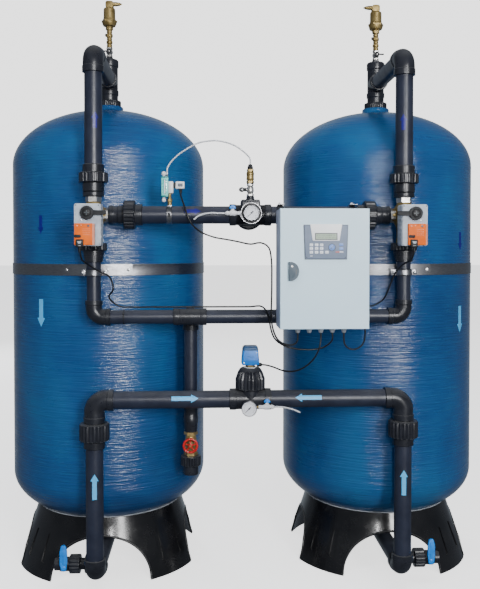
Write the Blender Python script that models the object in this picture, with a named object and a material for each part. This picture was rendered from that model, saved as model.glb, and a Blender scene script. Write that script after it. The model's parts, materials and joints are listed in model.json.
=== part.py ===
"""Duplex iron removal filter: two fibreglass tanks, PVC pipework and a control cabinet.

Metres, +Z up.  The front, with the cabinet, faces -Y.  The origin lies on the floor under
the middle of the whole unit.  Left and right are as seen from the front.
"""
import math

import bpy
import bmesh
from mathutils import Vector

# Clearances
GAP = 0.0003
BORE_CLEARANCE = 0.0005
WELD = 0.000002
OVERCUT = 0.010
BITE = 0.001

# Tanks
TANK_SPACING = 1.120
TANK_RADIUS = 0.390
TANK_WALL = 0.008
TANK_SIDES = 32
INNER_SIDES = 16
CYLINDER_BOTTOM = 0.370
CYLINDER_HEIGHT = 1.230
TOP_DOME_HEIGHT = 0.235
BOTTOM_DOME_HEIGHT = 0.200
PORT_RADIUS = 0.045
NECK_RADIUS = 0.056
TOP_NECK = 0.020
BOTTOM_NECK = 0.024
DOME_STEPS = 6
INNER_DOME_STEPS = 3
MEDIA_DEPTH = 0.810

# Bases
SEAT_DROP = 0.136
BASE_WALL = 0.006
BASE_INSET = 0.018
BASE_TOP_WIDTH = 0.007
ARCH_CROWN = 0.068
FRONT_ARCH_HALF_WIDTH = 0.190
SIDE_ARCH_HALF_WIDTH = 0.150
ARCH_SIDES = 16

# Pipework, large size (63 mm) and small size (50 mm)
PIPE_STANDOFF = 0.080
LARGE_PIPE = 0.0315
LARGE_BORE = 0.0275
LARGE_FITTING = 0.0385
LARGE_BEND = 0.042
LARGE_SOCKET = 0.070
SMALL_PIPE = 0.025
SMALL_BORE = 0.021
SMALL_FITTING = 0.0305
SMALL_BEND = 0.034
SMALL_SOCKET = 0.060
SPIGOT = 0.030
PIPE_SIDES = 12
BEND_STEPS = 4
BORE_SIDES = 8
BORE_STEPS = 2
UNION_NUT_RADIUS = 0.052

# Heights of the pipe runs
LINK_RISE = 0.105
INLET_HEIGHT = 1.385
BACKWASH_DROP = 0.366
OUTLET_DROP = 0.299
FLOOR_RUN_HEIGHT = 0.095

# Top tee, air vent and its cock
TOP_TEE_RADIUS = 0.036
ADAPTER_RADIUS = 0.047
ADAPTER_HEIGHT = 0.024
TOP_TEE_RISE = 0.0913
DIFFUSER_RADIUS = 0.040
DIFFUSER_LENGTH = 0.065
BUSH_RADIUS = 0.0145
BUSH_HEIGHT = 0.011
VENT_BORE = 0.005
COCK_RADIUS = 0.0125
COCK_LENGTH = 0.040
VENT_STEM_LENGTH = 0.087
VENT_BODY_RADIUS = 0.0245
VENT_FLANGE_RADIUS = 0.033
VENT_BODY_HEIGHT = 0.078
VENT_CAP_HEIGHT = 0.026
VENT_FLANGE_HEIGHT = 0.008
VENT_SHOULDER = 0.006
VENT_SIDES = 10
VENT_SPOUT_LENGTH = 0.052
VENT_SPOUT_RADIUS = 0.0065
VENT_LEVER_LENGTH = 0.030

# Union on each upper riser
RISER_LOWER_COLLAR = 0.032
RISER_NUT = 0.038
RISER_UPPER_COLLAR = 0.029

# Three-way valves
VALVE_UPPER_REACH = 0.081
VALVE_LOWER_REACH = 0.1005
VALVE_UPPER_COLLAR = 0.020
VALVE_LOWER_COLLAR = 0.018
VALVE_RADIUS = 0.028
VALVE_BORE = 0.020
VALVE_HOUSING = 0.040
BALL_RADIUS = 0.0285
BALL_CAVITY = 0.0320
VALVE_SIDE_REACH = 0.054
SIDE_PORT_RADIUS = 0.023
BONNET_RADIUS = 0.017
BONNET_REACH = 0.085
STEM_RADIUS = 0.006

# Actuators
ACTUATOR_WIDTH = 0.090
ACTUATOR_HEIGHT = 0.1435
ACTUATOR_DEPTH = 0.065
ACTUATOR_TOP_OVER_STEM = 0.0315
ACTUATOR_CHAMFER = 0.005
COVER_WIDTH = 0.068
COVER_HEIGHT = 0.073
COVER_THICKNESS = 0.010
COVER_EDGE = 0.003
CONNECTOR_WIDTH = 0.022
CONNECTOR_HEIGHT = 0.020
CONNECTOR_THICKNESS = 0.009
KNOB_RADIUS = 0.0235
KNOB_THICKNESS = 0.016
LEVER_REACH = 0.064
LEVER_WIDTH = 0.015
LEVER_THICKNESS = 0.009

# Inlet header
SIDE_SLEEVE = 0.0525
SIDE_SLEEVE_RADIUS = 0.034
SIDE_NUT = 0.0425
SIDE_COLLAR = 0.025
LARGE_TEE_HALF = 0.075
SADDLE_HALF_WIDTH = 0.0345
SADDLE_HALF_DEPTH = 0.030
SADDLE_RISE = 0.054
REAR_SOCKET = 0.062
REAR_NUT = 0.044
REAR_COLLAR = 0.034
BOSS_RADIUS = 0.012
BOSS_REACH = 0.041

# Air injection: check valve on the inlet tee, flowmeter and solenoid on the inlet pipe
CHECK_FOOT = 0.0135
CHECK_COCK = 0.0455
CHECK_BRASS = 0.054
CHECK_CAP = 0.015
CHECK_RADIUS = 0.014
WING_LENGTH = 0.026
WING_HEIGHT = 0.018
WING_THICKNESS = 0.006
AIR_INSET = 0.270
AIR_STRAP_WIDTH = 0.019
STRAP_THICKNESS = 0.003
AIR_POST_RADIUS = 0.006
FLOWMETER_WIDTH = 0.025
FLOWMETER_HEIGHT = 0.073
FLOWMETER_DEPTH = 0.022
FLOWMETER_RISE = 0.063
FLOWMETER_OFFSET = 0.003
FLOWMETER_KNOB = 0.009
SOLENOID_WIDTH = 0.017
SOLENOID_HEIGHT = 0.042
SOLENOID_DEPTH = 0.026
SOLENOID_RISE = 0.077
PLUG_WIDTH = 0.032
PLUG_HEIGHT = 0.026
PLUG_BRIDGE = 0.009
PLUG_BRIDGE_MARGIN = 0.004
NIPPLE_HEIGHT = 0.008

# Gauges and sampling valves
GAUGE_RADIUS = 0.0275
GAUGE_DEPTH = 0.024
GAUGE_FLANGE_RADIUS = 0.0385
GAUGE_FLANGE_THICKNESS = 0.004
GAUGE_RECESS = 0.006
GAUGE_BEZEL = 0.002
GAUGE_BACK_RIM = 0.004
GAUGE_STEM = 0.011
GAUGE_STEM_LENGTH = 0.022
POINTER_LENGTH = 0.019
POINTER_TAIL = 0.008
POINTER_WIDTH = 0.0022
POINTER_THICKNESS = 0.0012
POINTER_HUB = 0.003
ZERO_MARK = 225
UPPER_GAUGE_RISE = 0.004
LOWER_GAUGE_DROP = 0.019
LOWER_GAUGE_SHIFT = -0.008
SAMPLE_NIPPLE = 0.028
SAMPLE_LENGTH = 0.052
SAMPLE_RADIUS = 0.0095
SAMPLE_NIPPLE_RADIUS = 0.0055
SAMPLE_BOSS = 0.006
SAMPLE_SHANK = 0.014
SAMPLE_BARREL_HALF = 0.010
SAMPLE_TIP = 0.010
SAMPLE_SIDES = 10
SAMPLE_HANDLE_HEIGHT = 0.013
SAMPLE_HANDLE_HALF = 0.012

# Backwash header and drain
FLANGE_RADIUS = 0.047
FLANGE_LENGTH = 0.028
CONE_LENGTH = 0.040
CONE_TOP_RADIUS = 0.038
CONE_END_RADIUS = 0.032
DROP_INSET = 0.343
DROP_DEPTH = 0.120
DROP_LENGTH = 0.442
DROP_ADAPTER = 0.102
DROP_ADAPTER_RADIUS = 0.0275
GATE_LENGTH = 0.091
GATE_HEX_RADIUS = 0.026
GATE_HEX = 0.014
GATE_BODY_RADIUS = 0.022
GATE_BONNET_RADIUS = 0.014
GATE_BONNET_REACH = 0.050
DRAIN_NUT_RADIUS = 0.038
DRAIN_NUT = 0.039
DRAIN_NUT_CHAMFER = 0.006
DRAIN_SOCKET = 0.032
DRAIN_SOCKET_RADIUS = 0.0285
WHEEL_RADIUS = 0.0245
WHEEL_RIM = 0.0048
WHEEL_STANDOFF = 0.020
WHEEL_SPOKES = 5
WHEEL_HUB = 0.008
WHEEL_STEM = 0.004

# Support bands
BAND_HEIGHT = 0.0425
BAND_RISE = 0.008
BAND_THICKNESS = 0.0024
BAND_PLATE_HALF_ANGLE = 0.33
BAND_PLATE_THICKNESS = 0.003
CLAMP_HEIGHT = 0.022
CLAMP_DROP = 0.1065
CLAMP_WALL = 0.006
CLAMP_EAR = 0.016
CLAMP_EAR_HALF = 0.004
CLAMP_EAR_SINK = 0.003
CLAMP_SCREW_RADIUS = 0.0055
CLAMP_SCREW_FRONT = 0.012
CLAMP_SCREW_BACK = 0.009
STUD_HALF = 0.006

# Outlet pipework
OUTLET_ELBOW_DROP = 0.081
OUTLET_NUT = 0.064
OUTLET_COLLAR = 0.028
OUTLET_NUT_RADIUS = 0.054
PORT_FLANGE_RADIUS = 0.054
PORT_FLANGE_LENGTH = 0.007
FLOOR_SOCKET = 0.052
FLOOR_SLEEVE = 0.018
COLLECTOR_RISE = 0.184
COLLECTOR_CAP = 0.004
COLLECTOR_SLOT_HEIGHT = 0.090
COLLECTOR_SLOT_WIDTH = 0.003
DOME_NUT_BASE = 0.037
DOME_NUT_SHOULDER = 0.085
DOME_NUT_TOP = 0.115
DOME_NUT_CHAMFER = 0.010
DOME_NUT_CROWN = 0.018
DOME_NUT_RADIUS = 0.0535
DOME_NUT_TOP_RADIUS = 0.033
SWITCH_NECK_RADIUS = 0.017
SWITCH_NECK = 0.0115
SWITCH_NECK_SINK = 0.004
SWITCH_WIDTH = 0.063
SWITCH_TOP_WIDTH = 0.053
SWITCH_HEIGHT = 0.067
SWITCH_DEPTH = 0.058
PADDLE_WIDTH = 0.016
PADDLE_THICKNESS = 0.003
PADDLE_DROP = 0.008
SWITCH_GLAND_RADIUS = 0.0075
SWITCH_GLAND_LENGTH = 0.012

# Drain cocks on the floor runs
DRAIN_SETBACK = 0.085
DRAIN_STUB_RADIUS = 0.034
DRAIN_STUB = 0.048
DRAIN_COCK_BORE = 0.010
DRAIN_COCK_NECK = 0.016
DRAIN_COCK_NUT = 0.040
DRAIN_COCK_NUT_RADIUS = 0.0345
DRAIN_COCK_BODY = 0.038
DRAIN_COCK_BODY_RADIUS = 0.026
DRAIN_COCK_TAIL = 0.018
DRAIN_COCK_TAIL_RADIUS = 0.021
DRAIN_LEVER_TOP = 0.084
DRAIN_LEVER_FOOT = 0.012
DRAIN_LEVER_HALF = 0.014
DRAIN_LEVER_TIP = 0.009
DRAIN_LEVER_THICKNESS = 0.008
DRAIN_STEM_RADIUS = 0.007
DRAIN_STEM_REACH = 0.034

# Control cabinet
CABINET_WIDTH = 0.300
CABINET_HEIGHT = 0.404
CABINET_DEPTH = 0.134
CABINET_WALL = 0.002
CABINET_X = 0.2375
CABINET_OVERHANG = 0.025
CABINET_STANDOFF = 0.215
DOOR_THICKNESS = 0.016
DOOR_WALL = 0.002
DOOR_LIP = 0.012
PLATE_MARGIN = 0.020
PLATE_THICKNESS = 0.003
TERMINAL_HEIGHT = 0.045
TERMINAL_DEPTH = 0.040
TERMINAL_HALF = 0.090
CONTROLLER_WIDTH = 0.150
CONTROLLER_FOOT_WIDTH = 0.142
CONTROLLER_HEIGHT = 0.116
CONTROLLER_X = 0.2400
CONTROLLER_RISE = 0.2335
CONTROLLER_FACE = 0.006
CONTROLLER_BODY = 0.030
CONTROLLER_MARGIN = 0.012
DISPLAY_TOP_HALF = 0.0535
DISPLAY_FOOT_HALF = 0.0450
DISPLAY_HEIGHT = 0.056
DISPLAY_RELIEF = 0.003
DISPLAY_OVERLAP = 0.002
WINDOW_HALF = 0.0345
WINDOW_HEIGHT = 0.017
WINDOW_FOOT = 0.006
WINDOW_DEPTH = 0.002
LOCK_X = 0.1325
LOCK_RISE = 0.194
LOCK_HALF_HEIGHT = 0.0315
LOCK_LEFT = 0.018
LOCK_RIGHT = 0.017
LOCK_THICKNESS = 0.0125
LOCK_STRAIGHT = 0.008
LOCK_STEM_BACK = 0.010
LOCK_STEM_FRONT = 0.002
LOCK_SIDES = 12
LOCK_STEM_RADIUS = 0.006
GLAND_PITCH = 0.0402
GLAND_COUNT = 5
GLAND_RADIUS = 0.0125
GLAND_NUT = 0.012
GLAND_CAP_RADIUS = 0.0085
GLAND_CAP = 0.011
GLAND_DEPTH = 0.072
HANGER_CLEARANCE = 0.022
HANGER_INSET = 0.0095
HANGER_TO_UNION = 0.0077
HANGER_WIDTH = 0.020
HANGER_WALL = 0.0045
HANGER_SCREW = 0.010

# Cords
CABLE_RADIUS = 0.0030
AIR_TUBE_RADIUS = 0.0028
SAMPLE_TUBE_RADIUS = 0.0030

# Derived sizes and places
HALF_SPACING = TANK_SPACING / 2
CYLINDER_TOP = CYLINDER_BOTTOM + CYLINDER_HEIGHT
NECK_TOP = CYLINDER_TOP + TOP_DOME_HEIGHT + TOP_NECK
NECK_BOTTOM = CYLINDER_BOTTOM - BOTTOM_DOME_HEIGHT - BOTTOM_NECK
MEDIA_TOP = CYLINDER_BOTTOM + MEDIA_DEPTH
SEAT_HEIGHT = CYLINDER_BOTTOM - SEAT_DROP
ARCH_HEIGHT = SEAT_HEIGHT - ARCH_CROWN
BASE_FLOOR_RADIUS = TANK_RADIUS - BASE_INSET
COLLECTOR_TOP = NECK_BOTTOM + COLLECTOR_RISE
LINK_HEIGHT = NECK_TOP + LINK_RISE
TOP_TEE_TOP = LINK_HEIGHT + TOP_TEE_RISE
RISER_END = INLET_HEIGHT + VALVE_UPPER_REACH
VALVE_BOTTOM = INLET_HEIGHT - VALVE_LOWER_REACH
CLAMP_CENTRE = VALVE_BOTTOM - CLAMP_DROP
BAND_CENTRE = CLAMP_CENTRE + BAND_RISE
BACKWASH_HEIGHT = INLET_HEIGHT - BACKWASH_DROP
OUTLET_HEIGHT = BACKWASH_HEIGHT - OUTLET_DROP
DROP_END = BACKWASH_HEIGHT - DROP_LENGTH
DROP_X = DROP_INSET - HALF_SPACING
AIR_STATION = AIR_INSET - HALF_SPACING
FLOWMETER_BASE = INLET_HEIGHT + FLOWMETER_RISE
SOLENOID_BASE = INLET_HEIGHT + SOLENOID_RISE
UPPER_GAUGE_HEIGHT = INLET_HEIGHT + UPPER_GAUGE_RISE
LOWER_GAUGE_HEIGHT = OUTLET_HEIGHT - LOWER_GAUGE_DROP
OUTLET_NUT_END = OUTLET_HEIGHT - OUTLET_ELBOW_DROP
CABINET_BASE = BACKWASH_HEIGHT - CABINET_OVERHANG
CONTROLLER_BASE = CABINET_BASE + CONTROLLER_RISE
LOCK_HEIGHT = CABINET_BASE + LOCK_RISE
PIPE_PLANE = TANK_RADIUS + PIPE_STANDOFF
CABINET_FRONT = PIPE_PLANE + CABINET_STANDOFF
DRAIN_STATION = PIPE_PLANE - DRAIN_SETBACK
BAND_OUTER = TANK_RADIUS + GAP + BAND_THICKNESS
FRONT_REACH = CABINET_FRONT + LOCK_THICKNESS
TANK_Y = (FRONT_REACH - BAND_OUTER) / 2
PIPE_Y = TANK_Y - PIPE_PLANE
CABINET_Y = TANK_Y - CABINET_FRONT
SIDES = (("left", -1), ("right", 1))
AXES = {"X": Vector((1, 0, 0)), "Y": Vector((0, 1, 0)), "Z": Vector((0, 0, 1))}


def principled(name, colour, roughness, metallic=0.0):
    """A material with one Principled shader."""
    material = bpy.data.materials.new(name)
    material.use_nodes = True
    shader = material.node_tree.nodes["Principled BSDF"]
    shader.inputs["Base Color"].default_value = (*colour, 1.0)
    shader.inputs["Roughness"].default_value = roughness
    shader.inputs["Metallic"].default_value = metallic
    material.diffuse_color = (*colour, 1.0)
    return material


def clear_scene():
    for item in list(bpy.data.objects):
        bpy.data.objects.remove(item)


def add_object(name, mesh, material=None, location=(0, 0, 0)):
    item = bpy.data.objects.new(name, mesh)
    bpy.context.scene.collection.objects.link(item)
    item.location = location
    if material:
        mesh.materials.clear()
        mesh.materials.append(material)
    return item


def finish_mesh(bm, name="shape"):
    """Close a bmesh with outward normals and smooth shading."""
    bmesh.ops.remove_doubles(bm, verts=bm.verts, dist=1e-6)
    bmesh.ops.recalc_face_normals(bm, faces=bm.faces)
    mesh = bpy.data.meshes.new(name)
    bm.to_mesh(mesh)
    bm.free()
    return mesh


def smooth(item):
    mesh = item.data
    mesh.shade_smooth()
    mesh.set_sharp_from_angle(angle=math.radians(40))
    return item


def box_mesh(low, high):
    bm = bmesh.new()
    corners = []
    for x in (low[0], high[0]):
        for y in (low[1], high[1]):
            for z in (low[2], high[2]):
                corners.append(bm.verts.new((x, y, z)))
    for face in ((0, 1, 3, 2), (4, 6, 7, 5), (0, 4, 5, 1), (2, 3, 7, 6), (0, 2, 6, 4), (1, 5, 7, 3)):
        bm.faces.new([corners[index] for index in face])
    return finish_mesh(bm)


def box(low, high):
    low_corner = [min(a, b) for a, b in zip(low, high)]
    high_corner = [max(a, b) for a, b in zip(low, high)]
    return add_object("piece", box_mesh(low_corner, high_corner))


def centred_box(centre, size):
    low = [c - s / 2 for c, s in zip(centre, size)]
    high = [c + s / 2 for c, s in zip(centre, size)]
    return box(low, high)


def prism(outline, axis, start, end):
    """Extrude a flat outline along X, Y or Z.  The outline holds the other two coordinates."""
    bm = bmesh.new()
    rings = []
    for level in (start, end):
        ring = []
        for a, b in outline:
            point = {"X": (level, a, b), "Y": (a, level, b), "Z": (a, b, level)}[axis]
            ring.append(bm.verts.new(point))
        rings.append(ring)
    count = len(outline)
    for index in range(count):
        after = (index + 1) % count
        bm.faces.new((rings[0][index], rings[0][after], rings[1][after], rings[1][index]))
    bm.faces.new(rings[0])
    bm.faces.new(list(reversed(rings[1])))
    return add_object("piece", finish_mesh(bm))


def welded(mesh):
    """Join the vertices that a Boolean leaves in the same place."""
    bm = bmesh.new()
    bm.from_mesh(mesh)
    bmesh.ops.remove_doubles(bm, verts=bm.verts, dist=WELD)
    bm.to_mesh(mesh)
    bm.free()
    return mesh


def combine(target, tool, operation):
    """Apply a Boolean with another object and remove that object."""
    modifier = target.modifiers.new(operation.lower(), "BOOLEAN")
    modifier.operation = operation
    modifier.object = tool
    modifier.solver = "EXACT"
    graph = bpy.context.evaluated_depsgraph_get()
    result = bpy.data.meshes.new_from_object(target.evaluated_get(graph))
    target.modifiers.clear()
    old = target.data
    target.data = welded(result)
    bpy.data.meshes.remove(old)
    bpy.data.objects.remove(tool)
    return target


def join(target, *tools):
    for tool in tools:
        combine(target, tool, "UNION")
    return target


def cut(target, *tools):
    for tool in tools:
        combine(target, tool, "DIFFERENCE")
    return target


def bore_tube(corners, bend, radius):
    """Tool for the bore of a bent pipe."""
    return tube_solid(corners, bend, radius, sides=BORE_SIDES, steps=BORE_STEPS)


def named(item, name, material, origin=(0, 0, 0)):
    """Give the finished solid its name, material and origin."""
    item.name = name
    item.data.name = name
    item.data.materials.clear()
    item.data.materials.append(material)
    shift = Vector(origin) - item.location
    if shift.length > 0:
        for vertex in item.data.vertices:
            vertex.co -= shift
        item.location = origin
    return smooth(item)


def ring_points(centre, tangent, normal, radius, sides):
    side = tangent.cross(normal)
    points = []
    for index in range(sides):
        angle = 2 * math.pi * index / sides
        points.append(centre + radius * (math.cos(angle) * normal + math.sin(angle) * side))
    return points


def skin(bm, rings):
    for first, second in zip(rings, rings[1:]):
        count = len(first)
        for index in range(count):
            after = (index + 1) % count
            bm.faces.new((first[index], first[after], second[after], second[index]))


def centre_line(corners, bend, steps=BEND_STEPS):
    """Stations (point, tangent, distance) along straight runs joined by round bends."""
    points = [Vector(corner) for corner in corners]
    stations = []
    travelled = 0.0
    here = points[0]
    stations.append((here, (points[1] - here).normalized(), 0.0))
    for index in range(1, len(points) - 1):
        corner = points[index]
        incoming = (corner - points[index - 1]).normalized()
        outgoing = (points[index + 1] - corner).normalized()
        start = corner - incoming * bend
        travelled += (start - here).length
        centre = start + outgoing * bend
        for step in range(steps + 1):
            angle = math.pi / 2 * step / steps
            point = centre - outgoing * bend * math.cos(angle) + incoming * bend * math.sin(angle)
            tangent = (incoming * math.cos(angle) + outgoing * math.sin(angle)).normalized()
            stations.append((point, tangent, travelled + bend * angle))
        travelled += bend * math.pi / 2
        here = stations[-1][0]
    last = points[-1]
    travelled += (last - here).length
    stations.append((last, stations[-1][1], travelled))
    return stations


def start_normal(tangent):
    return Vector((1, 0, 0)) if abs(tangent.z) > 0.5 else Vector((0, 0, 1))


def carried_frames(stations):
    """Carry a normal along the stations without twist."""
    frames = []
    normal = start_normal(stations[0][1])
    for point, tangent, distance in stations:
        normal = (normal - tangent * normal.dot(tangent)).normalized()
        frames.append((point, tangent, normal, distance))
    return frames


def point_at(frames, distance):
    """The frame at a distance that lies on a straight stretch."""
    for first, second in zip(frames, frames[1:]):
        if distance <= second[3] + 1e-9:
            span = second[3] - first[3]
            share = 0.0 if span < 1e-9 else (distance - first[3]) / span
            return (first[0].lerp(second[0], share), first[1].lerp(second[1], share).normalized(),
                    first[2].lerp(second[2], share).normalized(), distance)
    return frames[-1]


def radius_at(sleeves, base, distance):
    for start, end, first, last in sleeves:
        if start - 1e-9 <= distance <= end + 1e-9:
            share = (distance - start) / (end - start)
            return first + (last - first) * share
    return base


def tube_solid(corners, bend, base, sleeves=(), sides=PIPE_SIDES, steps=BEND_STEPS):
    """A solid bar along a bent centre line, thicker along its sleeves."""
    frames = carried_frames(centre_line(corners, bend, steps))
    total = frames[-1][3]
    marks = []
    for frame in frames:
        marks.append((frame[3], radius_at(sleeves, base, frame[3]), frame))
    for start, end, first, last in sleeves:
        before = radius_at([s for s in sleeves if abs(s[1] - start) < 1e-9], base, start)
        after = radius_at([s for s in sleeves if abs(s[0] - end) < 1e-9], base, end)
        if start > 1e-9:
            marks.append((start - 1e-7, before, point_at(frames, start)))
        marks.append((start, first, point_at(frames, start)))
        marks.append((end, last, point_at(frames, end)))
        if end < total - 1e-9:
            marks.append((end + 1e-7, after, point_at(frames, end)))
    marks.sort(key=lambda mark: mark[0])
    bm = bmesh.new()
    rings = []
    previous = None
    for distance, radius, frame in marks:
        if previous and abs(previous[0] - distance) < 1e-6 and abs(previous[1] - radius) < 1e-7:
            continue
        rings.append([bm.verts.new(point) for point in ring_points(*frame[:3], radius, sides)])
        previous = (distance, radius)
    skin(bm, rings)
    bm.faces.new(rings[0])
    bm.faces.new(list(reversed(rings[-1])))
    return add_object("piece", finish_mesh(bm))


def turned(profile, centre, axis="Z", sides=PIPE_SIDES, closed=False):
    """Turn (radius, height) points about an axis.  An open profile gets flat ends."""
    direction = AXES[axis]
    normal = start_normal(direction)
    bm = bmesh.new()
    rings = []
    for radius, height in profile:
        point = Vector(centre) + direction * height
        if radius < 1e-9:
            rings.append([bm.verts.new(point)])
        else:
            ring = ring_points(point, direction, normal, radius, sides)
            rings.append([bm.verts.new(p) for p in ring])
    pairs = list(zip(rings, rings[1:]))
    if closed:
        pairs.append((rings[-1], rings[0]))
    for first, second in pairs:
        if len(first) == 1 and len(second) == 1:
            continue
        if len(first) == 1 or len(second) == 1:
            tip, rim = (first[0], second) if len(first) == 1 else (second[0], first)
            for index in range(sides):
                bm.faces.new((tip, rim[index], rim[(index + 1) % sides]))
        else:
            skin(bm, (first, second))
    if not closed:
        for ring in (rings[0], rings[-1]):
            if len(ring) > 1:
                bm.faces.new(ring)
    return add_object("piece", finish_mesh(bm))


def rod(centre, axis, start, end, radius, sides=PIPE_SIDES):
    return turned([(radius, start), (radius, end)], centre, axis, sides)


def dome_points(radius, height, start_radius, level, sign, steps, extra_height=None):
    """Points of a half ellipse from near the axis out to the cylinder."""
    start_angle = math.acos(start_radius / radius)
    angles = [start_angle * (1 - step / steps) for step in range(steps + 1)]
    if extra_height is not None:
        angles.append(math.asin((level - extra_height) / height))
    angles.sort(reverse=True)
    return [(radius * math.cos(a), level + sign * height * math.sin(a)) for a in angles]


def dome_radius(height):
    """Outer radius of the bottom dome at a height."""
    share = (CYLINDER_BOTTOM - height) / BOTTOM_DOME_HEIGHT
    return TANK_RADIUS * math.sqrt(1 - share * share)


def tank_skin(inset, mouth_radius, steps):
    """Profile of the tank at an inset from its outside, from the bottom port to the top port."""
    radius = TANK_RADIUS - inset
    low = dome_points(radius, BOTTOM_DOME_HEIGHT - inset, mouth_radius, CYLINDER_BOTTOM, -1, steps,
                      None if inset else SEAT_HEIGHT)
    high = dome_points(radius, TOP_DOME_HEIGHT - inset, mouth_radius, CYLINDER_TOP, 1, steps)
    return low + list(reversed(high))


def make_tank(name, side, material):
    """Fibreglass shell with a threaded neck above and below."""
    centre = (side * HALF_SPACING, TANK_Y, 0)
    outer = [(NECK_RADIUS, NECK_BOTTOM)] + tank_skin(0.0, NECK_RADIUS, DOME_STEPS)
    outer.append((NECK_RADIUS, NECK_TOP))
    inner = [(PORT_RADIUS, NECK_BOTTOM - OVERCUT)] + tank_skin(TANK_WALL, PORT_RADIUS, INNER_DOME_STEPS)
    inner.append((PORT_RADIUS, NECK_TOP + OVERCUT))
    tank = turned(outer, centre, sides=TANK_SIDES)
    cut(tank, turned(inner, centre, sides=INNER_SIDES))
    return named(tank, name, material, centre)


def make_media(name, side, material):
    """Filter bed that fills the lower tank, with a well for the collector."""
    inset = TANK_WALL + BORE_CLEARANCE
    well = LARGE_PIPE + 2 * BORE_CLEARANCE
    wall = [p for p in tank_skin(inset, PORT_RADIUS, INNER_DOME_STEPS) if p[1] <= CYLINDER_BOTTOM + 1e-9]
    radius = TANK_RADIUS - inset
    profile = [(well, wall[0][1])] + wall + [(radius, MEDIA_TOP), (0.0, MEDIA_TOP)]
    profile += [(0.0, COLLECTOR_TOP + 2 * BORE_CLEARANCE), (well, COLLECTOR_TOP + 2 * BORE_CLEARANCE)]
    centre = (side * HALF_SPACING, TANK_Y, 0)
    return named(turned(profile, centre, sides=INNER_SIDES, closed=True), name, material, centre)


def make_base(name, side, material):
    """Moulded skirt with four feet between arches."""
    inner_seat = dome_radius(SEAT_HEIGHT) + GAP
    outer_seat = inner_seat + BASE_TOP_WIDTH
    flare = BASE_FLOOR_RADIUS - outer_seat
    outer = []
    for share, drop in ((0.00, 0.00), (0.10, 0.14), (0.34, 0.38), (0.72, 0.68), (1.0, 1.0)):
        outer.append((outer_seat + flare * share, SEAT_HEIGHT * (1 - drop)))
    inner = [(radius - BASE_WALL, height) for radius, height in outer[1::2] + outer[-1:]]
    inner.insert(0, (inner_seat, SEAT_HEIGHT))
    centre = (side * HALF_SPACING, TANK_Y, 0)
    base = turned(outer + list(reversed(inner)), centre, sides=TANK_SIDES, closed=True)
    reach = BASE_FLOOR_RADIUS * 1.2
    for axis, half_width, middle, across in (
            ("Y", FRONT_ARCH_HALF_WIDTH, side * HALF_SPACING, TANK_Y),
            ("X", SIDE_ARCH_HALF_WIDTH, TANK_Y, side * HALF_SPACING)):
        outline = []
        for index in range(ARCH_SIDES + 1):
            angle = math.pi * index / ARCH_SIDES
            outline.append((middle + half_width * math.cos(angle), ARCH_HEIGHT * math.sin(angle)))
        outline.append((middle - half_width, -ARCH_HEIGHT))
        outline.append((middle + half_width, -ARCH_HEIGHT))
        cut(base, prism(outline, axis, across - reach, across + reach))
    return named(base, name, material, centre)


def make_top_tee(name, side, material):
    """Neck adapter with its diffuser, vertical tee and the reducing bush for the vent."""
    centre = (side * HALF_SPACING, TANK_Y, 0)
    seat = NECK_TOP + GAP
    adapter_top = seat + ADAPTER_HEIGHT
    diffuser_foot = NECK_TOP - DIFFUSER_LENGTH
    bush_foot = TOP_TEE_TOP - BUSH_HEIGHT / 2
    tee = turned([(DIFFUSER_RADIUS, diffuser_foot), (DIFFUSER_RADIUS, seat), (ADAPTER_RADIUS, seat),
                  (ADAPTER_RADIUS, adapter_top), (TOP_TEE_RADIUS, adapter_top),
                  (TOP_TEE_RADIUS, TOP_TEE_TOP), (BUSH_RADIUS, TOP_TEE_TOP),
                  (BUSH_RADIUS, TOP_TEE_TOP + BUSH_HEIGHT)], centre)
    branch_centre = (centre[0], TANK_Y, LINK_HEIGHT)
    join(tee, rod(branch_centre, "Y", -LARGE_SOCKET, 0, TOP_TEE_RADIUS))
    bore = turned([(LARGE_BORE, diffuser_foot - OVERCUT), (LARGE_BORE, bush_foot), (VENT_BORE, bush_foot),
                   (VENT_BORE, TOP_TEE_TOP + BUSH_HEIGHT + OVERCUT)], centre, sides=BORE_SIDES)
    socket = turned([(LARGE_PIPE + GAP, -LARGE_SOCKET - OVERCUT), (LARGE_PIPE + GAP, -LARGE_SOCKET + SPIGOT),
                     (LARGE_BORE, -LARGE_SOCKET + SPIGOT), (LARGE_BORE, -LARGE_BORE / 3)], branch_centre, "Y")
    cut(tee, bore, socket)
    return named(tee, name, material, centre)


def vent_foot():
    return TOP_TEE_TOP + BUSH_HEIGHT + GAP


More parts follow.
